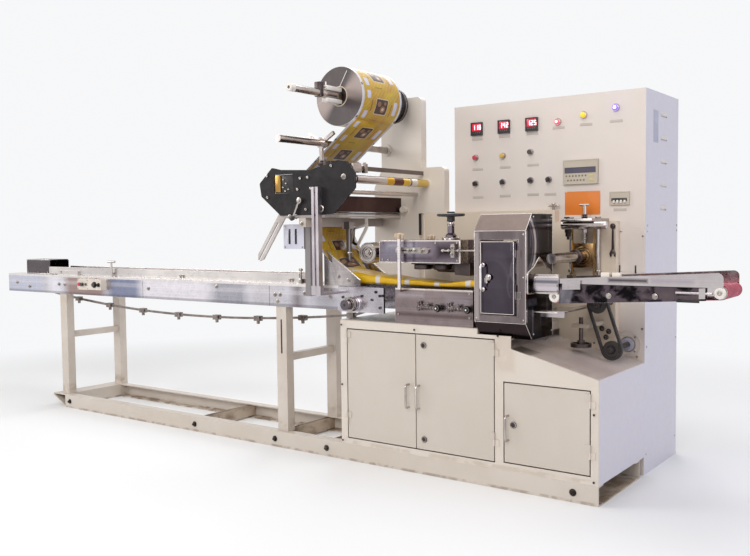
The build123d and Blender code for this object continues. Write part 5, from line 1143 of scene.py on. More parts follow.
def hangWeb():
    # the CAD web's own shape, merged, cut across for the print and given its UV map
    web = bpy.data.objects.new("filmWeb", nodes["film_web"].data.copy())
    scene.collection.objects.link(web)
    useOnly(web)
    bpy.ops.object.mode_set(mode="EDIT")
    bpy.ops.mesh.select_all(action="SELECT")
    bpy.ops.mesh.remove_doubles(threshold=0.00002)
    for level in range(980, 1580, 40):
        bpy.ops.mesh.select_all(action="SELECT")
        bpy.ops.mesh.bisect(plane_co=(0, 0, level / 1000), plane_no=upward)
    bpy.ops.object.mode_set(mode="OBJECT")
    while web.data.uv_layers:
        web.data.uv_layers.remove(web.data.uv_layers[0])
    uvs = web.data.uv_layers.new(name="film")
    for loop in web.data.loops:
        spot = web.data.vertices[loop.vertex_index].co * 1000
        uvs.data[loop.index].uv = ((spot.y + 155) / 310, alongPath(spot.x, spot.z))
    web.data.materials.clear()
    smooth(web, 40)
    length = alongPath(-945, 985)
    fitted(web, "filmWeb", "machine", ["film_web"])
    return web


def bentSheet(name, across, along, shape):
    # a grid of film, each corner moved to its place; shape gives x, y, z and the print's V
    deselectAll()
    bpy.ops.mesh.primitive_grid_add(x_subdivisions=across, y_subdivisions=along, size=2, calc_uvs=True)
    piece = bpy.context.object
    piece.name = name
    spots = {}
    for vertex in piece.data.vertices:
        u, t = (vertex.co.x + 1) / 2, (vertex.co.y + 1) / 2
        x, y, z, v = shape(u, t)
        spots[vertex.index] = (u, v)
        vertex.co = metres(x, y, z)
    uvs = piece.data.uv_layers.active
    for loop in piece.data.loops:
        uvs.data[loop.index].uv = spots[loop.vertex_index]
    openMesh(piece)
    closeMesh()
    return smooth(piece, 60)


tubeLook = {"low": 824.5, "stations": [(-860, 99, 73), (-700, 83, 55), (-500, 73, 37), (-330, 71, 27),
    (-200, 69, 41), (-75, 69, 43)],
            "sink": 5.0, "creases": 2.2}


def tubeSize(x):
    # half width and height of the folded film at a place on the line
    stations = tubeLook["stations"]
    for (x0, w0, h0), (x1, w1, h1) in zip(stations, stations[1:]):
        if x <= x1:
            part = (x - x0) / (x1 - x0)
            part = part * part * (3 - 2 * part)
            return w0 + (w1 - w0) * part, h0 + (h1 - h0) * part
    return stations[-1][1:]


def tubePoint(u, x):
    # round the section from its seam under the middle, up the front, over the top and back
    half, height = tubeSize(x)
    angle = math.tau * u - math.pi / 2
    across, up = -math.cos(angle), math.sin(angle)
    across = math.copysign(abs(across) ** 0.55, across)
    up = math.copysign(abs(up) ** 0.6, up)
    lift = (1 + up) / 2
    ripple = math.sin(x / 23 + 3 * math.sin(u * 9)) * math.sin(u * math.pi) ** 2 * tubeLook["creases"]
    sink = tubeLook["sink"] * max(0.0, up) * (1 - across * across) * (1 + 0.5 * math.sin(x / 60))
    side = across * (half - abs(ripple) * 0.6)
    return side, tubeLook["low"] + lift * (height - 2) - sink - abs(ripple) * 0.4


def foldTube():
    left, right = tubeLook["stations"][0][0], tubeLook["stations"][-1][0]

    def shape(u, t):
        x = left + (right - left) * t
        y, z = tubePoint(u, x)
        return x, y, z, filmLook["tubeShift"] + (x - left) / 1000

    tube = bentSheet("filmTube", 56, 120, shape)
    return fitted(tube, "filmFolded", "machine", ["film_tube"])


def foldShoulder():
    # between the web and the tube the film turns down over the former's shoulders
    left = tubeLook["stations"][0][0]
    top = {"x": -949, "z": 990, "half": 152}

    def shape(u, t):
        y1, z1 = tubePoint(0.08 + 0.84 * u, left + 2)
        x0, y0, z0 = top["x"], (2 * u - 1) * top["half"], top["z"]
        bow = math.sin(t * math.pi)
        pleat = math.sin(u * 40 + 2 * math.sin(t * 5)) * 3.5 * bow
        ease = t * t * (3 - 2 * t)
        sag = 16 * bow * (1 - abs(2 * u - 1))
        x, y = x0 + (left + 2 - x0) * t + pleat, y0 + (y1 - y0) * ease
        return x, y, z0 + (z1 - z0) * t - sag + pleat, filmLook["foldShift"] + 0.15 * t

    sheet = bentSheet("filmShoulder", 60, 24, shape)
    return fitted(sheet, "filmWeb")


def dressReelShaft():
    # bored nylon cap, shaft, set block with its T screw, core clamps and the brake behind the reel
    look = {"x": -825.0, "z": 1690.7, "front": -500.0}
    x, z, front = look["x"], look["z"], look["front"]
    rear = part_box("reel_shaft")[1].y * 1000
    shaft = turnedPiece("reelShaft", (x, front + 8, z), toBack,
        [(0, 12), (2, 16.5), (rear - front - 8, 16.5)], 40, 0.5)
    fitted(shaft, "chrome", "reel", ["reel_shaft"])
    cap = ringPiece("reelShaftCap", (x, front, z), toBack,
        [(7, 0), (15, 0), (17.6, 2.5), (17.6, 30), (7, 30), (7, 14)], 40)
    fitted(cap, "whiteNylon", "reel")
    # a dark disc in the cap's bore: painted shade inside it
    hole = turnedPiece("reelShaftBore", (x, front + 6, z), toBack, [(0, 6.8), (3, 6.8), (5, 4)], 24)
    fitted(hole, "coreDark", body="reel")
    block = blockPiece("setBlock", (x - 17, -311, z - 19), (x + 17, -285, z + 47), 3)
    screws = [rodPiece("setScrew", (x, -290, z + 30), (x, -250, z + 30), 5),
        rodPiece("setBar", (x, -248, z + 6), (x, -248, z + 54), 4.5, 16, 1.2)]
    fitted(block, "darkSteel", "reel")
    gathered("setScrew", screws, "shinyBolt", body="reel")
    jaw = blockPiece("jaw", (x - 17, -262, z + 17), (x + 17, -152, z + 37), 5, 3)
    jaws = [jaw, copyOf(jaw, "jawBelow", (0, 0, 0), Matrix.Rotation(math.pi, 4, "Y"), (x, 0, z))]
    gathered("coreClamps", jaws, "whiteNylon", "reel")
    plug = turnedPiece("corePlug", (x, -128, z), toBack,
        [(0, 40.6), (14, 40.6), (16, 20), (240, 20)], 40, 0.6)
    fitted(plug, "coreDark", body="reel")
    brake = ringPiece("brakeDrum", (x, 176, z), toBack,
        [(17, 0), (44, 0), (46, 24), (78, 28), (80, 32), (80, 84), (86, 87), (86, 108), (82, 112),
                                                            (60, 112), (56, 122), (17, 122)], 72)
    fitted(brake, "blackPaint", body="reel")
    rims = [ringPiece("brakeRim", (x, 176 + y, z), toBack, [(r, 0), (r + 1.2, 0), (r + 1.2, 2), (r, 2)],
        72) for y, r in ((90, 85.4), (104, 85.4), (58, 79.4))]
    gathered("brakeRims", rims, "shinyBolt", body="reel")
    bolt = turnedPiece("brakeBolt", (0, 0, 0), toFront, [(0, 8), (7, 8), (8, 6)], 6)
    places = [(x + 62 * math.cos(a), 203, z + 62 * math.sin(a)) for a in (0.5, 2.07, 3.64, 5.21)]
    setOut("brakeBolts", bolt, places, body="reel")
    (x0, z0), (x1, z1) = (-823, 1732), (-779, 1802)
    tape = outlinePiece("reelTape", [(x0, z0), (x0 + 2.6, z0 - 1.4), (x1 + 2.6, z1 - 1.4), (x1, z1)],
        -156.2, -154.6, 0)
    fitted(tape, "whiteNylon", "reel")


windReel()
hangWeb()
foldTube()
foldShoulder()
dressReelShaft()
print("film ready")


# the panel's instruments
def framedPiece(name, low, high, rim, depth, bevel=0.5):
    # a box whose front is inset and pushed back behind its frame
    piece = blockPiece(name, low, high, 0)
    openMesh(piece)
    bpy.ops.object.mode_set(mode="OBJECT")
    for face in piece.data.polygons:
        face.select = face.normal.y < -0.9
    bpy.ops.object.mode_set(mode="EDIT")
    bpy.ops.mesh.inset(thickness=rim / 1000)
    bpy.ops.mesh.extrude_region_move(TRANSFORM_OT_translate={"value": (0, depth / 1000, 0)})
    bpy.ops.object.mode_set(mode="OBJECT")
    addBevel(piece, bevel)
    return smooth(piece)


def glowing(name, colour, strength, base=None):
    newFinish(name, {
        "base": base or colour, "second": base or colour, "glow": strength,
        "glowColour": colour, "roughness": 0.25,
        "dust": 0.0, "bump": 0.03, "edgeAmount": 0.0, "grain": (900, 900, 900), "coat": 0.5})


def plainPlate(name, colour, changes=None):
    look = {"base": colour, "second": [part - 12 for part in colour], "patchSize": 12.0,
        "grain": (800, 800, 800),
            "grainTone": 0.02, "roughness": 0.45, "bump": 0.08, "dust": 0.05, "edgeColour": (110, 100, 92),
            "edgeAmount": 0.4, "edgeReach": 0.0012}
    look.update(changes or {})
    newFinish(name, look)


glowing("digitGlow", (255, 206, 214), 2.2)
glowing("windowGlow", (214, 34, 66), 0.75, (150, 24, 48))
glowing("redLens", (255, 70, 96), 1.5, (214, 40, 60))
glowing("redHeart", (255, 214, 220), 3.0)
glowing("yellowLens", (240, 206, 20), 0.55, (226, 190, 24))
glowing("blueLens", (96, 66, 255), 3.2, (90, 66, 230))
glowing("blueHeart", (226, 216, 255), 6.0)
plainPlate("redButton", (198, 52, 78), {"roughness": 0.3, "coat": 0.4})
plainPlate("yellowButton", (218, 178, 82), {"roughness": 0.3, "coat": 0.4})
plainPlate("darkButton", (66, 58, 54), {"roughness": 0.3, "coat": 0.3})
plainPlate("labelStrip", (196, 187, 178))
plainPlate("orangePlate", (226, 128, 44), {"patchSize": 6.0})
plainPlate("lcdScreen", (74, 68, 86), {"roughness": 0.12, "coat": 0.6})
plainPlate("keyBrown", (128, 112, 98))
plainPlate("keyPad", (206, 190, 130))
plainPlate("sideLabel", (184, 184, 200))
panelLook = {
    "face": 388.0, "controllers": (-440.0, -295.0, -152.0), "controllerTop": 1586.0,
    "readings": ("118", "142", "125"),
    "labels": [(-411, 1508), (-266, 1511), (-123, 1514), (7, 1531), (137, 1535), (275, 1539), (-410, 1364),
    (-262, 1367), (-119, 1370),
               (-408, 1230), (-263, 1232), (-119, 1234), (-33, 1233), (294, 1155)],
    "lamps": [(4.0, 1557.0, "red"), (127.0, 1577.0, "yellow"), (274.0, 1597.0, "blue")],
    "buttons": [(-420.0, 1420.0, "redButton"), (-274.0, 1420.0, "yellowButton"),
    (-131.0, 1430.0, "darkButton")],
    "selectors": [(-420.0, 1296.0), (-274.0, 1298.0), (-131.0, 1300.0), (-40.0, 1300.0)],
}
digitBars = {"0": "abcdef", "1": "bc", "2": "abged", "3": "abgcd", "4": "fgbc", "5": "afgcd",
    "6": "afgcde", "7": "abc", "8": "abcdefg", "9": "abcdfg"}


def digitPieces(text, x, y, z, width, height, stroke):
    # lit bars of a row of figures, from its lower left corner
    pieces = []
    half = height / 2
    spots = {"a": ((0, height), (width, height)), "g": ((0, half), (width, half)),
        "d": ((0, 0), (width, 0)), "f": ((0, half), (0, height)),
             "b": ((width, half), (width, height)), "e": ((0, 0), (0, half)),
             "c": ((width, 0), (width, half))}
    for index, figure in enumerate(text):
        left = x + index * (width + 2.6 * stroke)
        for bar in digitBars[figure]:
            (x0, z0), (x1, z1) = spots[bar]
            low = (left + min(x0, x1) - stroke / 2, y, z + min(z0, z1) - stroke / 2)
            high = (left + max(x0, x1) + stroke / 2, y + 0.8, z + max(z0, z1) + stroke / 2)
            pieces.append(blockPiece("bar", low, high, 0))
    return pieces


def dressControllers():
    look = panelLook
    frames, windows, lower, digits, keys = [], [], [], [], []
    for x, reading in zip(look["controllers"], look["readings"]):
        top = look["controllerTop"]
        frames.append(framedPiece("frame", (x - 1, 373.5, top - 61), (x + 59, 388, top + 1), 4.5, 3))
        windows.append(blockPiece("window", (x + 6, 375.6, top - 40), (x + 52, 377, top - 5), 0.4))
        lower.append(blockPiece("lower", (x + 6, 375.4, top - 55), (x + 52, 377, top - 42), 0.4))
        digits += digitPieces(reading, x + 12, 375.0, top - 33, 8.5, 19, 3.0)
        keys += [turnedPiece("key", (x + 13 + 11 * k, 375.6, top - 48.5), toFront,
            [(0, 2.6), (1.2, 2.4)], 12) for k in range(4)]
    gathered("controllerFrames", frames, "instrumentBlack")
    gathered("controllerWindows", windows, "windowGlow")
    gathered("controllerFoot", lower, "instrumentBlack")
    gathered("controllerDigits", digits, "digitGlow")
    gathered("controllerKeys", keys, "keyBrown")


def dressLamps():
    for x, z, colour in panelLook["lamps"]:
        bezel = ringPiece(colour + "LampBezel", (x, 388, z), toFront,
            [(12, 0), (16.5, 0), (16.5, 5), (14.6, 9), (12, 9)], 40)
        fitted(bezel, "chrome")
        lens = turnedPiece(colour + "LampLens", (x, 382, z), toFront,
            [(0, 12), (9, 12), (12.6, 10.4), (14.4, 7.6), (15.2, 3.8)], 32)
        fitted(lens, colour + "Lens")
        if colour != "yellow":
            heart = turnedPiece(colour + "LampHeart", (x, 368.6, z), toFront,
                [(0, 7.4), (1.6, 5.6), (2.2, 2.6)], 24)
            fitted(heart, colour + "Heart")


def dressButtons():
    rings, caps = [], {}
    for x, z, finish in panelLook["buttons"]:
        rings.append(ringPiece("ring", (x, 388, z), toFront,
            [(10.6, 0), (15.4, 0), (15.4, 4), (13, 8), (10.6, 8)], 36))
        cap = turnedPiece(finish + "Cap", (x, 384, z), toFront,
            [(0, 10.6), (15, 10.6), (17.4, 9), (17.8, 6), (16.8, 2)], 32, 0.5)
        fitted(cap, finish)
    knobs, bars = [], []
    for x, z in panelLook["selectors"]:
        rings.append(ringPiece("ring", (x, 388, z), toFront,
            [(10.6, 0), (15.4, 0), (15.4, 4), (13, 7), (10.6, 7)], 36))
        knobs.append(turnedPiece("knob", (x, 384, z), toFront,
            [(0, 11.4), (14, 10.8), (16.4, 9.6)], 32, 0.5))
        bars.append(outlinePiece("handle", [(x - 5, z - 12), (x + 1, z - 13), (x + 9, z + 9),
            (x + 4, z + 12)], 360, 371, 1.2))
    gathered("buttonRings", rings, "chrome")
    gathered("selectorKnobs", knobs + bars, "blackPlastic")


def dressDisplay():
    rim = framedPiece("displayFrame", (34, 372.5, 1273), (197, 388, 1381), 4, 2)
    fitted(rim, "instrumentBeige")
    screen = framedPiece("displayScreen", (42, 372.9, 1322), (188, 375, 1348), 1.6, 0.8, 0.3)
    fitted(screen, "lcdScreen")
    keys = [turnedPiece("key", (51 + 15 * k, 374.6, 1310), toFront, [(0, 4.4), (1.6, 4.2), (2.2, 3.2)], 16)
        for k in range(7)]
    keys += [turnedPiece("key", (58 + 15 * k, 374.6, 1291), toFront,
        [(0, 4.4), (1.6, 4.2), (2.2, 3.2)], 16) for k in range(6)]
    gathered("displayKeys", keys, "keyBrown")
    pads = [blockPiece("pad", (160, 373, 1304), (176, 375, 1315), 0.8),
        blockPiece("pad", (160, 373, 1285), (176, 375, 1296), 0.8)]
    gathered("displayPads", pads, "keyPad")
    breaker = framedPiece("breakerFrame", (249, 376.5, 1176), (337, 388, 1234), 5, 2)
    fitted(breaker, "instrumentBeige")
    fitted(blockPiece("breakerSlot", (258, 377.2, 1192), (328, 379.4, 1206), 0.6), "blackPlastic")
    toggles = [blockPiece("toggle", (266 + 16 * k, 371, 1184), (275 + 16 * k, 378, 1197), 1.2)
        for k in range(4)]
    gathered("breakerToggles", toggles, "whiteNylon")


def dressPanelPlates():
    strips = [blockPiece("strip", (x - 29, 387.0, z - 6), (x + 29, 388.4, z + 6), 0.4)
        for x, z in panelLook["labels"]]
    gathered("panelLabels", strips, "labelStrip")
    plate = blockPiece("orangePlate", (38, 386.6, 1136), (204, 388.4, 1241), 0.5)
    fitted(plate, "orangePlate")
    fitted(blockPiece("sideLabel", (404.6, 484, 1448), (405.6, 548, 1588), 0.3), "sideLabel")
    places = [(x, 386.6, z) for x in (43, 199) for z in (1141, 1236)]
    setOut("plateRivets", turnedPiece("rivet", (0, 0, 0), toFront, [(0, 2.6), (0.8, 2.4), (1.4, 1.2)], 12),
        places)


def dressCabinetSide():
    # pressed hoods over the louvre slots, the seam's screws and the round port's ring
    hoods = []
    for level in range(5):
        z = 1566 - 103.5 * level
        hood = turnedPiece("hood", (404.4, 580, z + 13), toBack,
            [(0, 2), (6, 7), (14, 8.5), (76, 8.5), (84, 7), (90, 2)], 24)
        hood.data.transform(Matrix.Translation((0.4044, 0, 0)) @ Matrix.Scale(0.55, 4,
            toRight) @ Matrix.Translation((-0.4044, 0, 0)))
        hoods.append(hood)
    gathered("louvreHoods", hoods, "creamPanel")
    screw = turnedPiece("screw", (0, 0, 0), toFront,
        [(0, 5), (1.4, 4.8), (2.6, 3), (2.6, 1.6), (1.6, 1.2)], 16)
    places = [(-500, 385, 1050), (-500, 385, 700), (300, 385, 1062), (395, 385, 1040), (395, 385, 820),
        (395, 385, 640), (364, 385, 602), (362, 385, 541), (373, 385, 518)]
    setOut("cabinetScrews", screw, places, last=False)
    sideScrews = [(405, y, z) for y in (412, 818) for z in (1085, 1062, 90, 560)]
    setOut("cabinetSideScrews", screw, sideScrews, axis=toRight)
    ring = ringPiece("portRing", (331, 386, 569), toFront,
        [(56, 0), (60, 0), (60, 2.4), (58, 3.6), (56, 2.4)], 64)
    fitted(ring, "creamPanel")
    slits = [blockPiece("slit", (290, 383.6, 880), (297, 386, 914), 0.4),
        blockPiece("slit", (361, 383.6, 880), (368, 386, 914), 0.4)]
    gathered("coverSlits", slits, "blackPlastic")
    disc = turnedPiece("portDisc", (331, 386, 569), toFront, [(0, 30), (1.6, 30), (2.4, 28)], 48)
    fitted(disc, "sideLabel")


dressControllers()
dressLamps()
dressButtons()
dressDisplay()
dressPanelPlates()
dressCabinetSide()
print("panel ready")


# small parts that several units share
def hexHead(across, height, washer=0.0, thread=0.0):
    # a bolt head or nut looking to the front, with its washer and a bit of thread
    steps = [(0, washer), (1.4, washer)] if washer else []
    pieces = [turnedPiece("washer", (0, 0, 0), toFront, steps, 20, 0.2)] if washer else []
    foot = 1.2 if washer else 0
    head = turnedPiece("head", (0, 0, 0), toFront,
        [(foot, across), (foot + height * 0.75, across), (foot + height, across * 0.86)], 6, 0.25)
    pieces.append(head)
    if thread:
        pieces.append(turnedPiece("thread", (0, 0, 0), toFront,
            [(foot, across * 0.5), (foot + height + thread, across * 0.5)], 14, 0.3))
    return joined("hexHead", pieces)


def capScrew(radius, height):
    # a socket screw: its head and the dark hexagon sunk in it
    return ringPiece("capScrew", (0, 0, 0), toFront,
        [(0.2, 0), (radius, 0), (radius, height), (radius * 0.5, height), (radius * 0.46, height * 0.45),
        (0.2, height * 0.4)], 18, 0.25)


def lobedKnob(name, place, axis, radius, height, lobes, finish, body="machine"):
    # a hand knob: a turned hub with grips round it
    parts = [turnedPiece("hub", (0, 0, 0), upward,
        [(0, radius * 0.5), (height, radius * 0.5), (height * 1.15, radius * 0.3)], 24, 0.6)]
    grip = turnedPiece("grip", (radius * 0.66, 0, 0), upward,
        [(0, radius * 0.2), (height * 0.12, radius * 0.34), (height * 0.9, radius * 0.34),
        (height, radius * 0.2)], 16, 0.5)
    parts += [copyOf(grip, "grip" + str(turn), (0, 0, 0), Matrix.Rotation(math.tau * turn / lobes, 4, "Z"))
        for turn in range(lobes)]
    discard(grip)
    knob = joined(name, parts)
    setDown(knob, place, axis)
    return fitted(knob, finish, body)


def coilPiece(name, start, end, radius, wire, turns):
    # a spring wound round the line from start to end
    run = Vector(end) - Vector(start)
    turn = turnTo(run.normalized())
    steps = turns * 12
    places = []
    for step in range(steps + 1):
        angle = math.tau * step / 12
        spot = Vector((radius * math.cos(angle), radius * math.sin(angle), run.length * step / steps))
        places.append(tuple(turn @ spot + Vector(start)))
    return bentRod(name, places, wire, 8, 0.5)


printerLook = {
    "plateBolts": [(-1178, 1339), (-1176, 1238), (-971, 1320), (-925, 1322), (-987, 1270), (-908, 1272),
    (-939, 1177), (-787, 1368)],
    "bigBolt": (-718, 1317), "studs": [(-1082, 1318), (-1066, 1300), (-1084, 1282),
    (-1050, 1272), (-1070, 1264)],
}
plainPlate("windowDark", (34, 27, 28), {"dust": 0.2})
creamOf("beigeKnob", {"base": (205, 184, 158), "second": (176, 152, 126), "patchSize": 22.0, "dust": 0.3})
plainPlate("nylonScreen", (44, 40, 44), {"roughness": 0.2})


def dressPrinterPlate():
    look = printerLook
    setOut("printerPlateScrews", capScrew(6.2, 5.5), [(x, -265, z) for x, z in look["plateBolts"]])
    setOut("printerPlateNut", hexHead(10, 6, 13, 7), [(look["bigBolt"][0], -265, look["bigBolt"][1])])
    back = blockPiece("windowBack", (-1134, -257, 1256), (-1021, -250, 1341), 0.5)
    fitted(back, "windowDark")
    strip = blockPiece("windowBrass", (-1134, -262, 1261), (-1098, -257, 1340), 0.8)
    fitted(strip, "brass")
    setOut("windowStuds", turnedPiece("stud", (0, 0, 0), toFront, [(0, 4.4), (4, 4.4), (5.4, 2.6)], 14,
        0.3), [(x, -257, z) for x, z in look["studs"]])


def dressPrinterTop():
    # the clamp with its pins behind the plate, the guide bar's clamps and the roller's dark bearing
    block = blockPiece("printerClamp", (-842, -257, 1352), (-798, -205, 1392), 1.4)
    arm = blockPiece("printerClampArm", (-886, -240, 1374), (-842, -222, 1390), 1.2)
    pins = [rodPiece("pin", (-864, -250, z), (-864, -205, z), 3.2) for z in (1370, 1394)]
    gathered("printerClampParts", [block, arm] + pins, "darkBolt")
    clamps = [blockPiece("barClamp", (-706, y, 1336), (-686, y + 22, 1378), 1.6) for y in (-200, -150)]
    clamps += [turnedPiece("barScrew", (-696, y + 11, 1378), upward, [(0, 6), (6, 6), (7, 4.4)], 12, 0.3)
        for y in (-200, -150)]
    gathered("guideBarClamps", clamps, "shinyBolt")
    ends = [ringPiece("rollerEnd", (-674, y, 1305), toBack, [(17.5, 0), (19.6, 0), (19.6, 7), (17.5, 7)],
        40) for y in (-250, 180)]
    gathered("chromeRollerRings", ends, "darkBolt")
    knob = ringPiece("tieKnob", (-846, -262, 1178), toFront,
        [(1, 0), (16, 0), (16, 10), (11.5, 12), (11, 6), (1, 6)], 36, 0.5)
    fitted(knob, "chrome")
    core = turnedPiece("tieKnobCore", (-846, -264, 1178), toFront,
        [(0, 10.6), (5.5, 10.6), (7, 8)], 28, 0.3)
    fitted(core, "blackPlastic")


def dressLever():
    # the hub's bright washer and cap, and the grip on the lever's end
    washer = turnedPiece("leverWasher", (-970, -279, 1218), toFront,
        [(0, 14.5), (2, 14.5), (2.6, 9), (7, 9), (8, 6.5)], 32, 0.3)
    fitted(washer, "shinyBolt", body="print_lever")
    grip = turnedPiece("leverGrip", (-1011.3, -278, 1136.9), toFront,
        [(-2, 8.6), (3, 11), (8, 11.4), (12, 9), (13.6, 4)], 28, 0.4)
    fitted(grip, "blackPlastic", body="print_lever")


def dressSupport():
    # sensor slots and screws, nuts on beam, post and foot
    slots = [blockPiece("slot", (x, -196.6, 1016), (x + 12, -194, 1088), 0.4) for x in (-1112, -1072)]
    gathered("sensorSlots", slots, "nylonScreen")
    places = [(-966, -265, 1112), (-1000, -265, 1144), (-860, -265, 1144), (-1040, -265, 1144)]
    setOut("supportNuts", hexHead(8, 6, 11, 4), places)
    screw = capScrew(4, 3)
    setOut("sensorScrews", screw, [(x, -195, z) for x in (-1134, -1026) for z in (1002, 1101)], last=False)
    bolts = [(-865, -283.5, z) for z in (1252, 1150, 905)]
    setOut("postScrews", screw, [(x, y + 0.5, z) for x, y, z in bolts], "darkBolt")
    # two bent straps hang from the base bar to carry the folding plates
    straps = [outlinePiece("strap", [(-848, 1140), (-830, 1140), (-829, 1089), (-884, 1004),
        (-898, 1012), (-847, 1092)], 58, 62)]
    straps.append(outlinePiece("strapLeft", [(-915, 1092), (-901, 1090), (-921, 1014), (-898, 1004),
        (-890, 1012), (-908, 1020), (-934, 1018)], 54, 58))
    straps.append(outlinePiece("strapTop", [(-915, 1080), (-836, 1096), (-836, 1108), (-915, 1092)], 54,
        58))
    gathered("foldingStraps", straps, "whiteNylon")
    knurl = turnedPiece("hangerNut", (-915, 20, 1100), upward, [(0, 15.5), (10, 15.5), (12, 13.5)], 6, 0.6)
    collar = ringPiece("hangerCollar", (-915, 20, 960), upward,
        [(12.6, 0), (18, 0), (18, 14), (12.6, 14)], 32, 0.5)
    gathered("hangerFittings", [knurl, collar], "shinyBolt")


dressPrinterPlate()
dressPrinterTop()
dressLever()
dressSupport()
print("printer dressed")


# fin seal unit
finLook = {"front": -125.0, "rowZ": 741.0, "rows": [(-421.0, -311.0), (-268.0, -163.0)],
    "disc": (-696.0, 975.0), "wheel": (-292.0, -60.0)}
# light steel for folded edges, rims and beads: painted highlights
steelOf("edgeHighlightSteel", (232, 224, 218), (206, 196, 190), {"grain": (300, 300, 300), "roughness": 0.3})
steelOf("shadedChrome", (134, 124, 122), (74, 64, 64), {"patchSize": 30.0, "roughness": 0.2})
plainPlate("knobBlack", (14, 12, 13), {"specular": 0.25, "roughness": 0.35, "edgeAmount": 0.0, "dust": 0.0})


def edgeStrips(name, left, right, low, high, y, width, proud, finish="edgeHighlightSteel", body="machine"):
    # folded edges round a front face, drawn bright as painted highlights
    pieces = [
        blockPiece("edgeStrip", (left, y - proud, high - width), (right, y, high), 0.3),
        blockPiece("edgeStrip", (left, y - proud, low), (right, y, low + width), 0.3),
        blockPiece("edgeStrip", (left, y - proud, low), (left + width, y, high), 0.3),
        blockPiece("edgeStrip", (right - width, y - proud, low), (right, y, high), 0.3),
    ]
    return fitted(joined(name, pieces), finish, body)


def dressUpperBox():
    edgeStrips("upperBoxEdges", -629, -208, 934, 1032, finLook["front"], 2.0, 0.8)
    places = [(x, -125.4, z) for x in (-612, -223)
        for z in (946, 1021)] + [(-580, -125.4, 946), (-330, -125.4, 1021)]
    setOut("upperBoxScrews", capScrew(4.2, 3), places)
    # clamping nuts along the slide bar and the square screw end beside the stop
    nut = hexHead(7.4, 7, 10, 5)
    setOut("slideNuts", nut, [(x, -135, 988) for x in (-520, -462, -432)], last=False)
    setOut("stopNuts", nut, [(-234, -147, z) for z in (974, 1002)])
    # a dark strip in the slide bar's slot: painted shade inside it
    slot = blockPiece("slideSlot", (-498, -135.4, 985), (-412, -134, 991), 0.3)
    fitted(slot, "windowDark")
    collars = [turnedPiece("stopCollar", (x, -136, 988), toRight, [(0, 7.2), (9, 7.2)], 18, 0.6)
        for x in (-262, -216, -290)]
    gathered("stopCollars", collars, "shinyBolt")
    lobedKnob("guidePostKnob", (-505, -146, 1040), upward, 24, 22, 5, "beigeKnob")
    lobedKnob("boxTopKnob", (-446, 20, 1033), upward, 22, 20, 5, "beigeKnob")
    # seal wheels under the box, over the folded film
    wheels = []
    for x in (-452, -350):
        for y in (-38, 50):
            wheels.append(turnedPiece("sealWheel", (x, y, 902), upward,
                [(0, 38), (3, 40), (20, 40), (23, 36), (23, 14), (32, 14)], 40, 0.4))
    wheels.append(blockPiece("wheelYoke", (-500, -60, 924), (-300, 60, 934), 1.2))
    wheels.append(outlinePiece("wheelHousing",
        [(-470, 933), (-440, 886), (-150, 878), (-150, 933)], 64, 150, 2))
    wheels.append(outlinePiece("wheelGuard", [(-296, 933), (-286, 880), (-212, 876), (-212, 933)], -40, 64,
        2))
    gathered("sealWheels", wheels, "darkSteel")


def dressWheelStem():
    # collars and the bracket under the upper hand wheel, which stay with the housing
    x, y = finLook["wheel"]
    collar = ringPiece("stemCollar", (x, y, 1094), upward,
        [(10, 0), (17, 0), (17, 5), (13, 9), (13, 14), (10, 14)], 36, 0.5)
    ring = ringPiece("stemRing", (x, y, 1034), upward,
        [(24, 0), (40, 0), (40, 6), (31, 10), (24, 10)], 40, 0.6)
    bolts = [turnedPiece("stemBolt", (x + 34 * math.cos(a), y + 34 * math.sin(a), 1040), upward,
        [(0, 4.6), (4, 4.6)], 6, 0.3) for a in (0.6, 2.2, 3.9, 5.4)]
    gathered("stemFittings", [collar, ring] + bolts, "chrome")


def dressDisc():
    # concentric steps, hub nut and three screws on the disc's face
    x, z = finLook["disc"]
    rings = [
        ringPiece("discRing", (x, -125, z), toFront, [(39, 0), (46.6, 0), (45, 3), (40.6, 3)], 56, 0.4),
        ringPiece("discRing", (x, -121, z), toFront, [(20, 0), (27, 0), (26, 3.4), (21, 3.4)], 48, 0.4),
        turnedPiece("discNut", (x, -129, z), toFront, [(0, 8.5), (6, 8.5), (7, 7)], 6, 0.4),
    ]
    for turn in range(3):
        angle = math.tau * turn / 3 + 0.5
        rings.append(turnedPiece("discScrew", (x + 34.5 * math.cos(angle), -125,
            z + 34.5 * math.sin(angle)), toFront, [(0, 3.4), (2.6, 3.2)], 14, 0.3))
    gathered("discRings", rings, "shinyBolt")


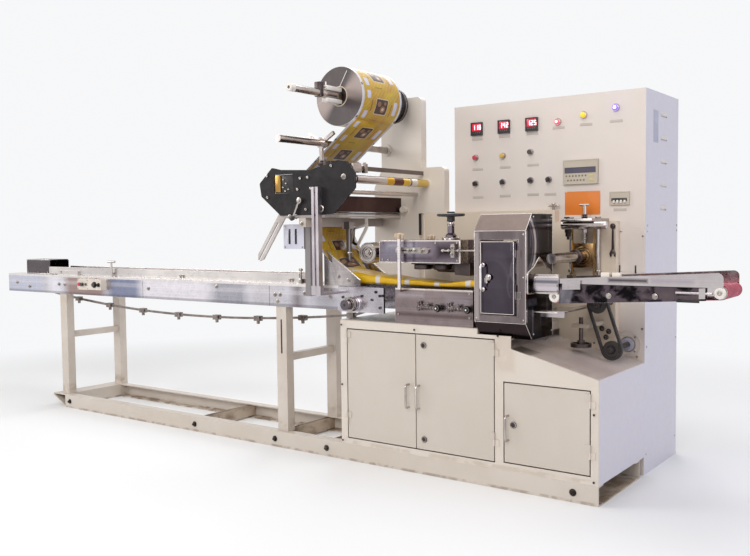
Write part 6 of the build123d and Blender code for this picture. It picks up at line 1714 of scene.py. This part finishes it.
def dressLeverRows():
    # each row: bar with spring, wing nut and collars, black ball knob with a white mark
    bright, knobs, marks = [], [], []
    z = finLook["rowZ"]
    for left, knobX in finLook["rows"]:
        y = -140
        bright.append(turnedPiece("rowHub", (left + 10, -124, z), toFront,
            [(0, 12), (6, 12), (7, 9), (22, 9), (24, 6)], 24, 0.5))
        bright.append(coilPiece("rowSpring", (left + 22, y, z), (left + 58, y, z), 7.5, 1.5, 7))
        bright.append(turnedPiece("rowCollar", (left + 58, y, z), toRight, [(0, 9), (9, 9)], 24, 0.6))
        bright.append(turnedPiece("rowNut", (left + 72, y, z), toRight, [(0, 9.6), (9, 9.6)], 6, 0.6))
        bright.append(outlinePiece("rowWing", [(left + 40, z + 6), (left + 62, z + 6), (left + 66, z + 20),
            (left + 56, z + 18), (left + 50, z + 12), (left + 44, z + 18), (left + 36, z + 20)], y - 2,
            y + 2, 0.8))
        bright.append(turnedPiece("rowScrew", (left + 10, y, z - 16), upward,
            [(0, 5), (34, 5), (36, 7), (42, 7)], 16, 0.4))
        knobs.append(turnedPiece("ballKnob", (knobX, -126, z), toFront,
            [(4, 7), (9, 13), (16, 17), (22, 17.6), (28, 16), (33, 11), (35.2, 5)], 32))
        marks.append(turnedPiece("knobMark", (knobX, -161, z), toFront, [(-0.4, 4.2), (0.6, 4)], 20))
    gathered("leverRowFittings", bright, "shadedChrome")
    gathered("leverRowKnobs", knobs, "knobBlack")
    gathered("leverRowMarks", marks, "whiteNylon")
    # the lower box's top edge, drawn bright as a painted highlight
    top = blockPiece("lowerBoxEdge", (-544, -126, 817), (-149, -124, 820.4), 0.3)
    fitted(top, "edgeHighlightSteel")
    setOut("lowerBoxScrews", capScrew(4, 3), [(x, -125.4, z2) for x in (-528, -164) for z2 in (704, 806)])


def dressStandSlot():
    # the narrow open slot in the stand beside the seal unit, drawn as a dark strip of painted shade
    slot = blockPiece("standSlot", (-722, 341.6, 1050), (-706, 343.4, 1158), 0.6)
    fitted(slot, "windowDark")


def dressDriveShadow():
    # a dark block on the deck between the infeed's head and the seal unit: painted shade in the gap there
    shadowBlock = blockPiece("driveShadowBlock", (-604, -24, 663.4), (-548, 300, 808), 2.5)
    fitted(shadowBlock, "blackPaint")
    lip = blockPiece("driveShadowLip", (-607, -27, 663.2), (-546.5, 302, 668), 1)
    fitted(lip, "blackPaint")


def dressFormer():
    # nuts on the former's side plate and the rolled rims that the film slides over, the rims drawn bright
    # as painted highlights
    setOut("formerNuts", hexHead(7, 6, 10), [(-870, -120, 862), (-812, -120, 848)])
    rims = [rodPiece("formerRim", (-955, y, 990.5), (-743, y, 848.5), 3.2, 14, 0.8)
        for y in (-118.5, 118.5)]
    gathered("formerRims", rims, "edgeHighlightSteel")


dressUpperBox()
dressWheelStem()
dressDisc()
dressLeverRows()
dressStandSlot()
dressDriveShadow()
dressFormer()
print("fin unit dressed")


# jaw cover, guard door, entry guide and the drive side behind it
coverLook = {
    "left": -118.0, "right": 115.0, "front": -165.0, "faceLow": 697.0, "faceHigh": 1071.0,
    "door": (-86.0, 76.0, 732.0, 1029.0),
    "latch": (-58.0, 882.0), "arch": [(-150, 818), (-150, 902), (-96, 922), (-40, 964),
    (14, 922), (68, 902), (68, 818)],
}
# near black for the inside of bores and slots: painted shade
plainPlate("archDark", (22, 18, 20), {"roughness": 0.6, "dust": 0.0, "edgeAmount": 0.0})


def dressCover():
    look = coverLook
    left, right, front = look["left"], look["right"], look["front"]
    edgeStrips("coverEdges", left + 0.3, right - 0.3, look["faceLow"], look["faceHigh"], front, 1.5, 0.6)
    doorLeft, doorRight, doorLow, doorHigh = look["door"]
    edgeStrips("doorFrameEdges", doorLeft - 9, doorRight + 9, doorLow - 9, doorHigh + 9, front,
        2.4, 0.8, "shadedChrome")
    # thin bright lines along the cover's edges and a rim round the arch: painted highlights
    lines = [
        rodPiece("edgeLine", (left + 1, -110, 1138.4), (right - 1, -110, 1138.4), 1.2, 10, 0),
        rodPiece("edgeLine", (right - 0.6, -163.8, 1071), (right - 0.6, -110, 1138), 1.2, 10, 0),
        rodPiece("edgeLine", (right - 0.6, -163.8, 697), (right - 0.6, -111, 632), 1.2, 10, 0),
        rodPiece("edgeLine", (right - 0.6, -109, 1138.2), (right - 0.6, 84, 1138.2), 1.2, 10, 0),
        rodPiece("edgeLine", (right - 0.6, 85, 1137), (right - 0.6, 85, 632), 1.2, 10, 0),
    ]
    arch = bentRod("archRim", [(right + 0.4, y, z) for y, z in look["arch"]], 2.4, 10, 12)
    gathered("coverLines", lines + [arch], "edgeHighlightSteel")
    rivet = turnedPiece("rivet", (0, 0, 0), toFront, [(0, 4), (1.6, 3.6), (2.6, 2)], 16)
    places = [(x, front, z) for x in (left + 10, right - 10) for z in (712, 884, 1056)]
    setOut("coverRivets", rivet, places, last=False)
    side = [(right, y, z) for y in (-96, 74) for z in (650, 1126)]
    setOut("coverSideRivets", rivet, side, axis=toRight)


def dressGuardDoor():
    look = coverLook
    left, right, low, high = look["door"]
    # the door's folded rim as a painted highlight, its latch with the round boss, and the handle's feet
    edgeStrips("guardDoorRim", left + 1.5, right - 9, low + 1.5, high - 1.5, -174, 2.2, 0.8,
        "edgeHighlightSteel", "guard_door_leaf")
    x, z = look["latch"]
    parts = [
        turnedPiece("latchBoss", (x + 10, -173.4, z), toFront,
        [(0, 13), (3, 13), (4.4, 10), (9, 10), (10.4, 7)], 32, 0.4),
        turnedPiece("latchScrew", (x + 10, -183, z), toFront, [(0, 5), (3, 5), (4, 3.4)], 6, 0.3),
        outlinePiece("latchTail", [(x - 6, z - 5), (x + 6, z - 7), (x + 8, z - 22), (x + 2, z - 26),
        (x - 5, z - 20)], -178, -174, 0.8),
    ]
    for footZ in (832, 932):
        parts.append(turnedPiece("handleFoot", (-73, -173.4, footZ), toFront,
            [(0, 9), (2.4, 9), (4, 6.4)], 28, 0.4))
    gathered("guardLatch", parts, "chrome", body="guard_door_leaf")


def dressEntryGuide():
    # stiffening beads and the upper flange of the polished band where the packs leave, drawn bright as
    # painted highlights
    beads = [blockPiece("entryBead", (116, -121, z), (234, -118.6, z + 3), 0.6) for z in (822, 888)]
    beads.append(blockPiece("entryFlange", (116, -121.5, 893), (234, -115, 896), 0.6))
    gathered("entryBeads", beads, "edgeHighlightSteel")


def dressSideDrive():
    # bearing cap, the shaft's end, spring, screws and rods under the top plate
    x, z = 158, 955
    cap = ringPiece("bearingCap", (x, 303, z), toFront,
        [(22.6, 0), (42, 0), (42, 6), (37, 9), (30, 9), (28, 13), (22.6, 13)], 48, 0.5)
    cheek = blockPiece("bearingCheek", (x - 48.6, 301.6, 904), (x + 48.6, 304, 1011), 1.0)
    gathered("bearingCapParts", [cap, cheek], "bearingBrown")
    strips = [blockPiece("goldStrip", (right - 5, 294, 872), (right, 306, 1104), 1.0)
        for right in (x + 55, x - 44)]
    gathered("goldStrips", strips, "brass")
    roll = turnedPiece("guardRoll", (118, 172, 1089), toRight,
        [(0, 13), (3, 16.5), (199, 16.5), (202, 13)], 36, 0.4)
    fitted(roll, "chrome")
    key = ringPiece("shaftCollar", (x, 236, z), toFront,
        [(22.2, 0), (31, 0), (31, 18), (22.2, 18)], 40, 0.7)
    fitted(key, "darkSteel")
    spring = coilPiece("pressureSpring", (x, 323, 1012), (x, 323, 1060), 13, 1.8, 6)
    nuts = [turnedPiece("pressureNut", (x, 323, z2), upward, [(0, 14), (9, 14)], 6, 0.8)
        for z2 in (1118, 1128, 1084)]
    for side in (-62, 62):
        nuts += [turnedPiece("columnNut", (x + side, 323, z2), upward, [(0, 13), (8, 13)], 6, 0.8)
            for z2 in (1118, 1096)]
        nuts.append(ringPiece("columnCollar", (x + side, 323, 884), upward,
            [(8, 0), (14, 0), (14, 10), (8, 10)], 28, 0.5))
    gathered("pressureFittings", [spring] + nuts, "shinyBolt")
    # T-handled screw on the plate's left and a knurled one under it, both dark
    knurled = [
        turnedPiece("knurledScrew", (x - 36, 230, 1106), downward,
        [(0, 9), (26, 9), (28, 15), (46, 15), (49, 12), (64, 12), (66, 6), (78, 6)], 24, 0.5),
        turnedPiece("plateScrew", (x + 52, 200, 1118), upward, [(0, 12), (7, 12), (8, 9), (18, 9)], 6, 0.5),
        turnedPiece("plateScrew", (x - 20, 180, 1118), upward, [(0, 12), (7, 12), (8, 9)], 6, 0.5),
    ]
    gathered("knurledScrews", knurled, "darkBolt")
    # the top plate's edge, drawn bright as a painted highlight
    edge = blockPiece("topPlateEdge", (124, 148.8, 1107), (261, 150.4, 1117), 0.4)
    fitted(edge, "edgeHighlightSteel")


def dressBehindCover():
    # stainless T-bolt on the wall top behind the cover, and a spanner hung on the cabinet side
    post = turnedPiece("tBolt", (-8, 366, 1108), upward,
        [(0, 12), (8, 12), (9, 6), (74, 6), (76, 8.5), (84, 8.5)], 20, 0.5)
    bar = rodPiece("tBar", (-34, 366, 1180), (18, 366, 1180), 4.4)
    gathered("wallBolt", [post, bar], "chrome")
    hook = turnedPiece("spannerHook", (281, 343, 1085), toFront,
        [(0, 4), (9, 4), (10.4, 6), (13, 6)], 16, 0.4)
    shank = outlinePiece("spannerShank", [(277, 1078), (285, 1078), (287, 980), (275, 980)], 334.5, 338.5,
        0.8)
    eye = ringPiece("spannerEye", (281, 338.5, 1084), toFront, [(6, 0), (12, 0), (12, 5), (6, 5)], 32, 0.5)
    jaw = outlinePiece("spannerJaw", [(275, 984), (287, 984), (296, 966), (292, 950), (286, 956),
        (286, 966), (276, 966), (276, 956), (270, 950), (266, 966)], 334, 339, 0.8)
    gathered("spanner", [hook, shank, eye, jaw], "darkSteel")


dressCover()
dressGuardDoor()
dressEntryGuide()
dressSideDrive()
dressBehindCover()
print("cover and drive side dressed")


# infeed: bolts, rail clamps, switches, head and chain fittings
infeedLook = {
    "face": -112.0, "headFace": -118.0,
    "bolts": [(-1283, 763), (-1250, 764), (-1267, 731), (-1090, 775), (-927, 796), (-928, 763),
    (-3100, 763), (-3040, 763), (-2250, 763),
              (-1700, 790), (-2880, 790), (-3560, 763), (-3420, 740)],
    "headScrews": [(-736, 776), (-656, 797), (-634, 780), (-618, 781), (-679, 760), (-634, 726),
    (-847, 767), (-796, 711)],
    "feet": (-3100.0, -2600.0, -2000.0, -1200.0),
}


def dressInfeedPlates():
    look = infeedLook
    setOut("infeedBolts", hexHead(8.4, 6, 11.5, 3), [(x, look["face"], z) for x, z in look["bolts"]])
    setOut("headScrews", capScrew(6.2, 5), [(x, look["headFace"] - 0.2, z) for x, z in look["headScrews"]],
        "darkBolt")
    seam = [blockPiece("plateSeam", (x, -112.5, 706), (x + 1.6, -111.6, 806), 0) for x in (-2300, -1322)]
    gathered("plateSeams", seam, "windowDark")


def dressGuideRails():
    # each foot gets its wing screw, the T clamp its knob, and a clamp stands by the former
    parts = []
    for x in infeedLook["feet"]:
        for side in (-1, 1):
            parts.append(turnedPiece("footScrew", (x, side * 92, 832), upward,
                [(-8, 5), (4, 5), (5, 8.4), (11, 8.4), (12, 6)], 18, 0.4))
    parts.append(blockPiece("railClamp", (-1130, -108, 822), (-1112, -76, 846), 1.2))
    parts.append(rodPiece("railClampStem", (-1121, -100, 840), (-1121, -100, 886), 5))
    parts.append(turnedPiece("railClampHead", (-1121, -100, 884), upward,
        [(0, 10), (10, 10), (12, 8)], 24, 0.5))
    gathered("railScrews", parts, "shinyBolt")
    # beads along the rails' tops, drawn bright as painted highlights
    beads = [rodPiece("railBead", (-3244, y, 866.2), (-1155, y, 866.2), 2.2, 10, 0) for y in (-75, 75)]
    gathered("railBeads", beads, "edgeHighlightSteel")


def dressSwitches():
    # start and stop caps, the rotary knob's pointer and the covers' screws
    red = turnedPiece("redCap", (-2834, -152, 773), toFront, [(0, 11), (7, 11), (10, 8.6)], 28, 0.5)
    dark = turnedPiece("darkCap", (-2770, -152, 773), toFront, [(0, 8), (5, 8), (7, 6)], 24, 0.5)
    fitted(red, "redButton")
    fitted(dark, "darkButton")
    skirt = ringPiece("rotarySkirt", (-2689, -152, 772.5), toFront,
        [(11, 0), (19, 0), (17.5, 5), (11, 6)], 36, 0.4)
    knob = turnedPiece("rotaryKnob", (-2648, -152, 772.5), toFront,
        [(0, 12), (6, 12), (8, 9.5), (12, 9)], 28, 0.5)
    gathered("rotaryKnobs", [skirt, knob], "knobBlack")
    places = [(x, -152.4, z) for x in (-2848, -2757) for z in (747, 798)]
    setOut("switchScrews", capScrew(2.6, 1.6), places, "darkBolt")


def dressHeadShaft():
    # collar, bore and knurled ring of the head shaft
    x, z = -782, 738
    knurl = ringPiece("shaftKnurl", (x, -150, z), toFront,
        [(20, 0), (34.5, 0), (35.5, 3), (35.5, 10), (34.5, 13), (20, 13)], 24, 0.4)
    fitted(knurl, "shinyBolt")
    # a dark disc down the bore: painted shade inside it
    bore = turnedPiece("shaftBore", (x, -191.6, z), toFront, [(-4, 10.5), (0.3, 10.5)], 32)
    fitted(bore, "archDark")
    lip = ringPiece("shaftLip", (x, -189, z), toFront,
        [(11, 0), (16.5, 0), (15.6, 2.8), (11.6, 2.8)], 40, 0.3)
    fitted(lip, "chrome")
    grub = turnedPiece("collarGrub", (x - 8, -138, z + 31), upward, [(0, 4.4), (3.4, 4.4)], 14, 0.4)
    fitted(grub, "darkBolt")


def dressTail():
    # screws and a folded edge on the tail cover, drawn bright as a painted highlight
    setOut("tailScrews", capScrew(3.6, 2.4), [(x, -70.4, 832) for x in (-3496, -3388, -3280)])
    strips = [blockPiece("tailEdge", (-3514, -71.2, z), (-3262, -69.6, z + 3), 0.3) for z in (821, 909)]
    strips.append(blockPiece("tailEdgeUp", (-3514, -71.2, 822), (-3511, -69.6, 911), 0.3))
    gathered("tailEdges", strips, "edgeHighlightSteel")


def dressLegs():
    # the adjusting slot down the front leg by the cabinet, drawn as a dark strip of painted shade
    slot = blockPiece("legSlots", (-1253, -109.2, 470), (-1244, -107.6, 640), 1)
    fitted(slot, "windowDark")


dressInfeedPlates()
dressGuideRails()
dressSwitches()
dressHeadShaft()
dressTail()
dressLegs()
print("infeed dressed")


# discharge and its drive
dischargeLook = {
    "plateFace": -118.0, "bolts": [(438, 820), (614, 824)], "rollers": [(841, 844), (213, 808)],
    "sprockets": [(269.0, 753.0, 22), (331.0, 569.0, 22)], "wheel": (203.0, 180.0, 581.0),
}


def dressGuides():
    look = dischargeLook
    setOut("guideBolts", hexHead(8, 6, 11, 4), [(x, look["plateFace"], z) for x, z in look["bolts"]])
    blocks = [blockPiece("guideBlock", (x, -108, 874), (x + 34, -92, 908), 1.4) for x in (402, 446)]
    gathered("guideBlocks", blocks, "creamStand")
    # a dark strip in the take-up slots: painted shade inside them
    slot = blockPiece("takeUpSlots", (692, -119, 806), (773, -117.6, 814), 0.4)
    fitted(slot, "archDark")


def dressRollers():
    # nylon end rings with bright cores, on the tail roller and on the front one
    ends = dischargeLook["rollers"]
    profile = [(9, 0), (22, 0), (22, 2.4), (17, 4), (9, 4)]
    rings = [ringPiece("rollerEndRing", (x, -111.4, z), toFront, profile, 40, 0.4) for x, z in ends]
    gathered("rollerEndRings", rings, "whiteNylon")
    profile = [(3.4, 0), (9, 0), (9, 5), (3.4, 5)]
    cores = [ringPiece("rollerCore", (x, -112, z), toFront, profile, 28, 0.4) for x, z in ends]
    gathered("rollerCores", cores, "shinyBolt")


def dressDrive():
    # the sprockets' teeth, hubs and nuts, and three bolts inside the loop
    teeth, nuts = [], []
    for x, z, count in dischargeLook["sprockets"]:
        for index in range(count):
            angle = math.tau * index / count
            spot = (x + 33.5 * math.cos(angle), 190.5, z + 33.5 * math.sin(angle))
            tooth = turnedPiece("tooth", spot, toBack, [(0, 2.4), (4, 3.4), (15, 3.4), (19, 2.4)], 8, 0)
            teeth.append(tooth)
        teeth.append(ringPiece("sprocketHub", (x, 190, z), toFront,
            [(7, 0), (17, 0), (17, 8), (14, 11), (7, 11)], 36, 0.5))
        nuts.append(turnedPiece("sprocketNut", (x, 190, z), toFront,
            [(0, 8), (9, 8), (10, 6.4), (15, 6.4)], 6, 0.4))
    gathered("sprocketTeeth", teeth, "blackPaint")
    gathered("sprocketNuts", nuts, "darkBolt")
    setOut("loopBolts", hexHead(8, 7, 12, 5),
        [(231, 343, 637), (262, 343, 626), (250, 343, 600)], "darkBolt")


def dressLowerWheel():
    # rim ring and nut of the lower hand wheel, which turn with it
    x, y, z = dischargeLook["wheel"]
    rim = ringPiece("lowerWheelRim", (x, y, z - 7), upward,
        [(40, 0), (43.8, 1), (43.8, 9), (40, 10)], 56, 0.4)
    nut = turnedPiece("lowerWheelNut", (x, y, z + 8), upward, [(0, 13), (10, 13), (11, 10)], 6, 0.6)
    gathered("lowerWheelFittings", [rim, nut], "darkSteel", "lower_hand_wheel")


def dressTray():
    # lip on the tray under the entry, drawn bright as a painted highlight
    lip = blockPiece("trayLip", (129, -124.6, 743), (231, -123, 747), 0.4)
    fitted(lip, "edgeHighlightSteel")


dressGuides()
dressRollers()
dressDrive()
dressLowerWheel()
dressTray()
print("discharge dressed")


# cabinet doors, locks and base fittings
cabinetLook = {
    "locks": [("right_door_leaf", -393.0, 573.0), ("right_door_leaf", -393.0, 158.0),
    ("small_door_leaf", 42.0, 276.0)],
}


def dressLocks():
    # key slot, a dark strip of painted shade, and outer ring on each lock face
    for index, (body, x, z) in enumerate(cabinetLook["locks"]):
        slot = blockPiece("lockSlot" + str(index), (x - 1.3, -135.6, z - 5), (x + 1.3, -134.6, z + 5), 0.2)
        fitted(slot, "archDark", body)
        ring = ringPiece("lockRing" + str(index), (x, -134.6, z), toFront,
            [(9.6, 0), (13.4, 0), (12.6, 1.2), (10.4, 1.2)], 32, 0.2)
        fitted(ring, "shinyBolt", body=body)


def dressCabinetFront():
    # dark screws round the frame
    places = [(x, -139, z) for x in (-842, 390) for z in (96, 360, 640)] + [(x, -139, 640)
        for x in (-435, -24, 190)]
    setOut("frameScrews", capScrew(4.6, 3), places, "darkBolt")


def dressBase():
    # bolts through the channel rails
    setOut("railBolts", hexHead(11, 8, 15, 6),
        [(x, -130, 40) for x in (-3000, -1873, -1285, -950, 300)], "darkBolt")


dressLocks()
dressCabinetFront()
dressBase()
print("cabinet dressed")
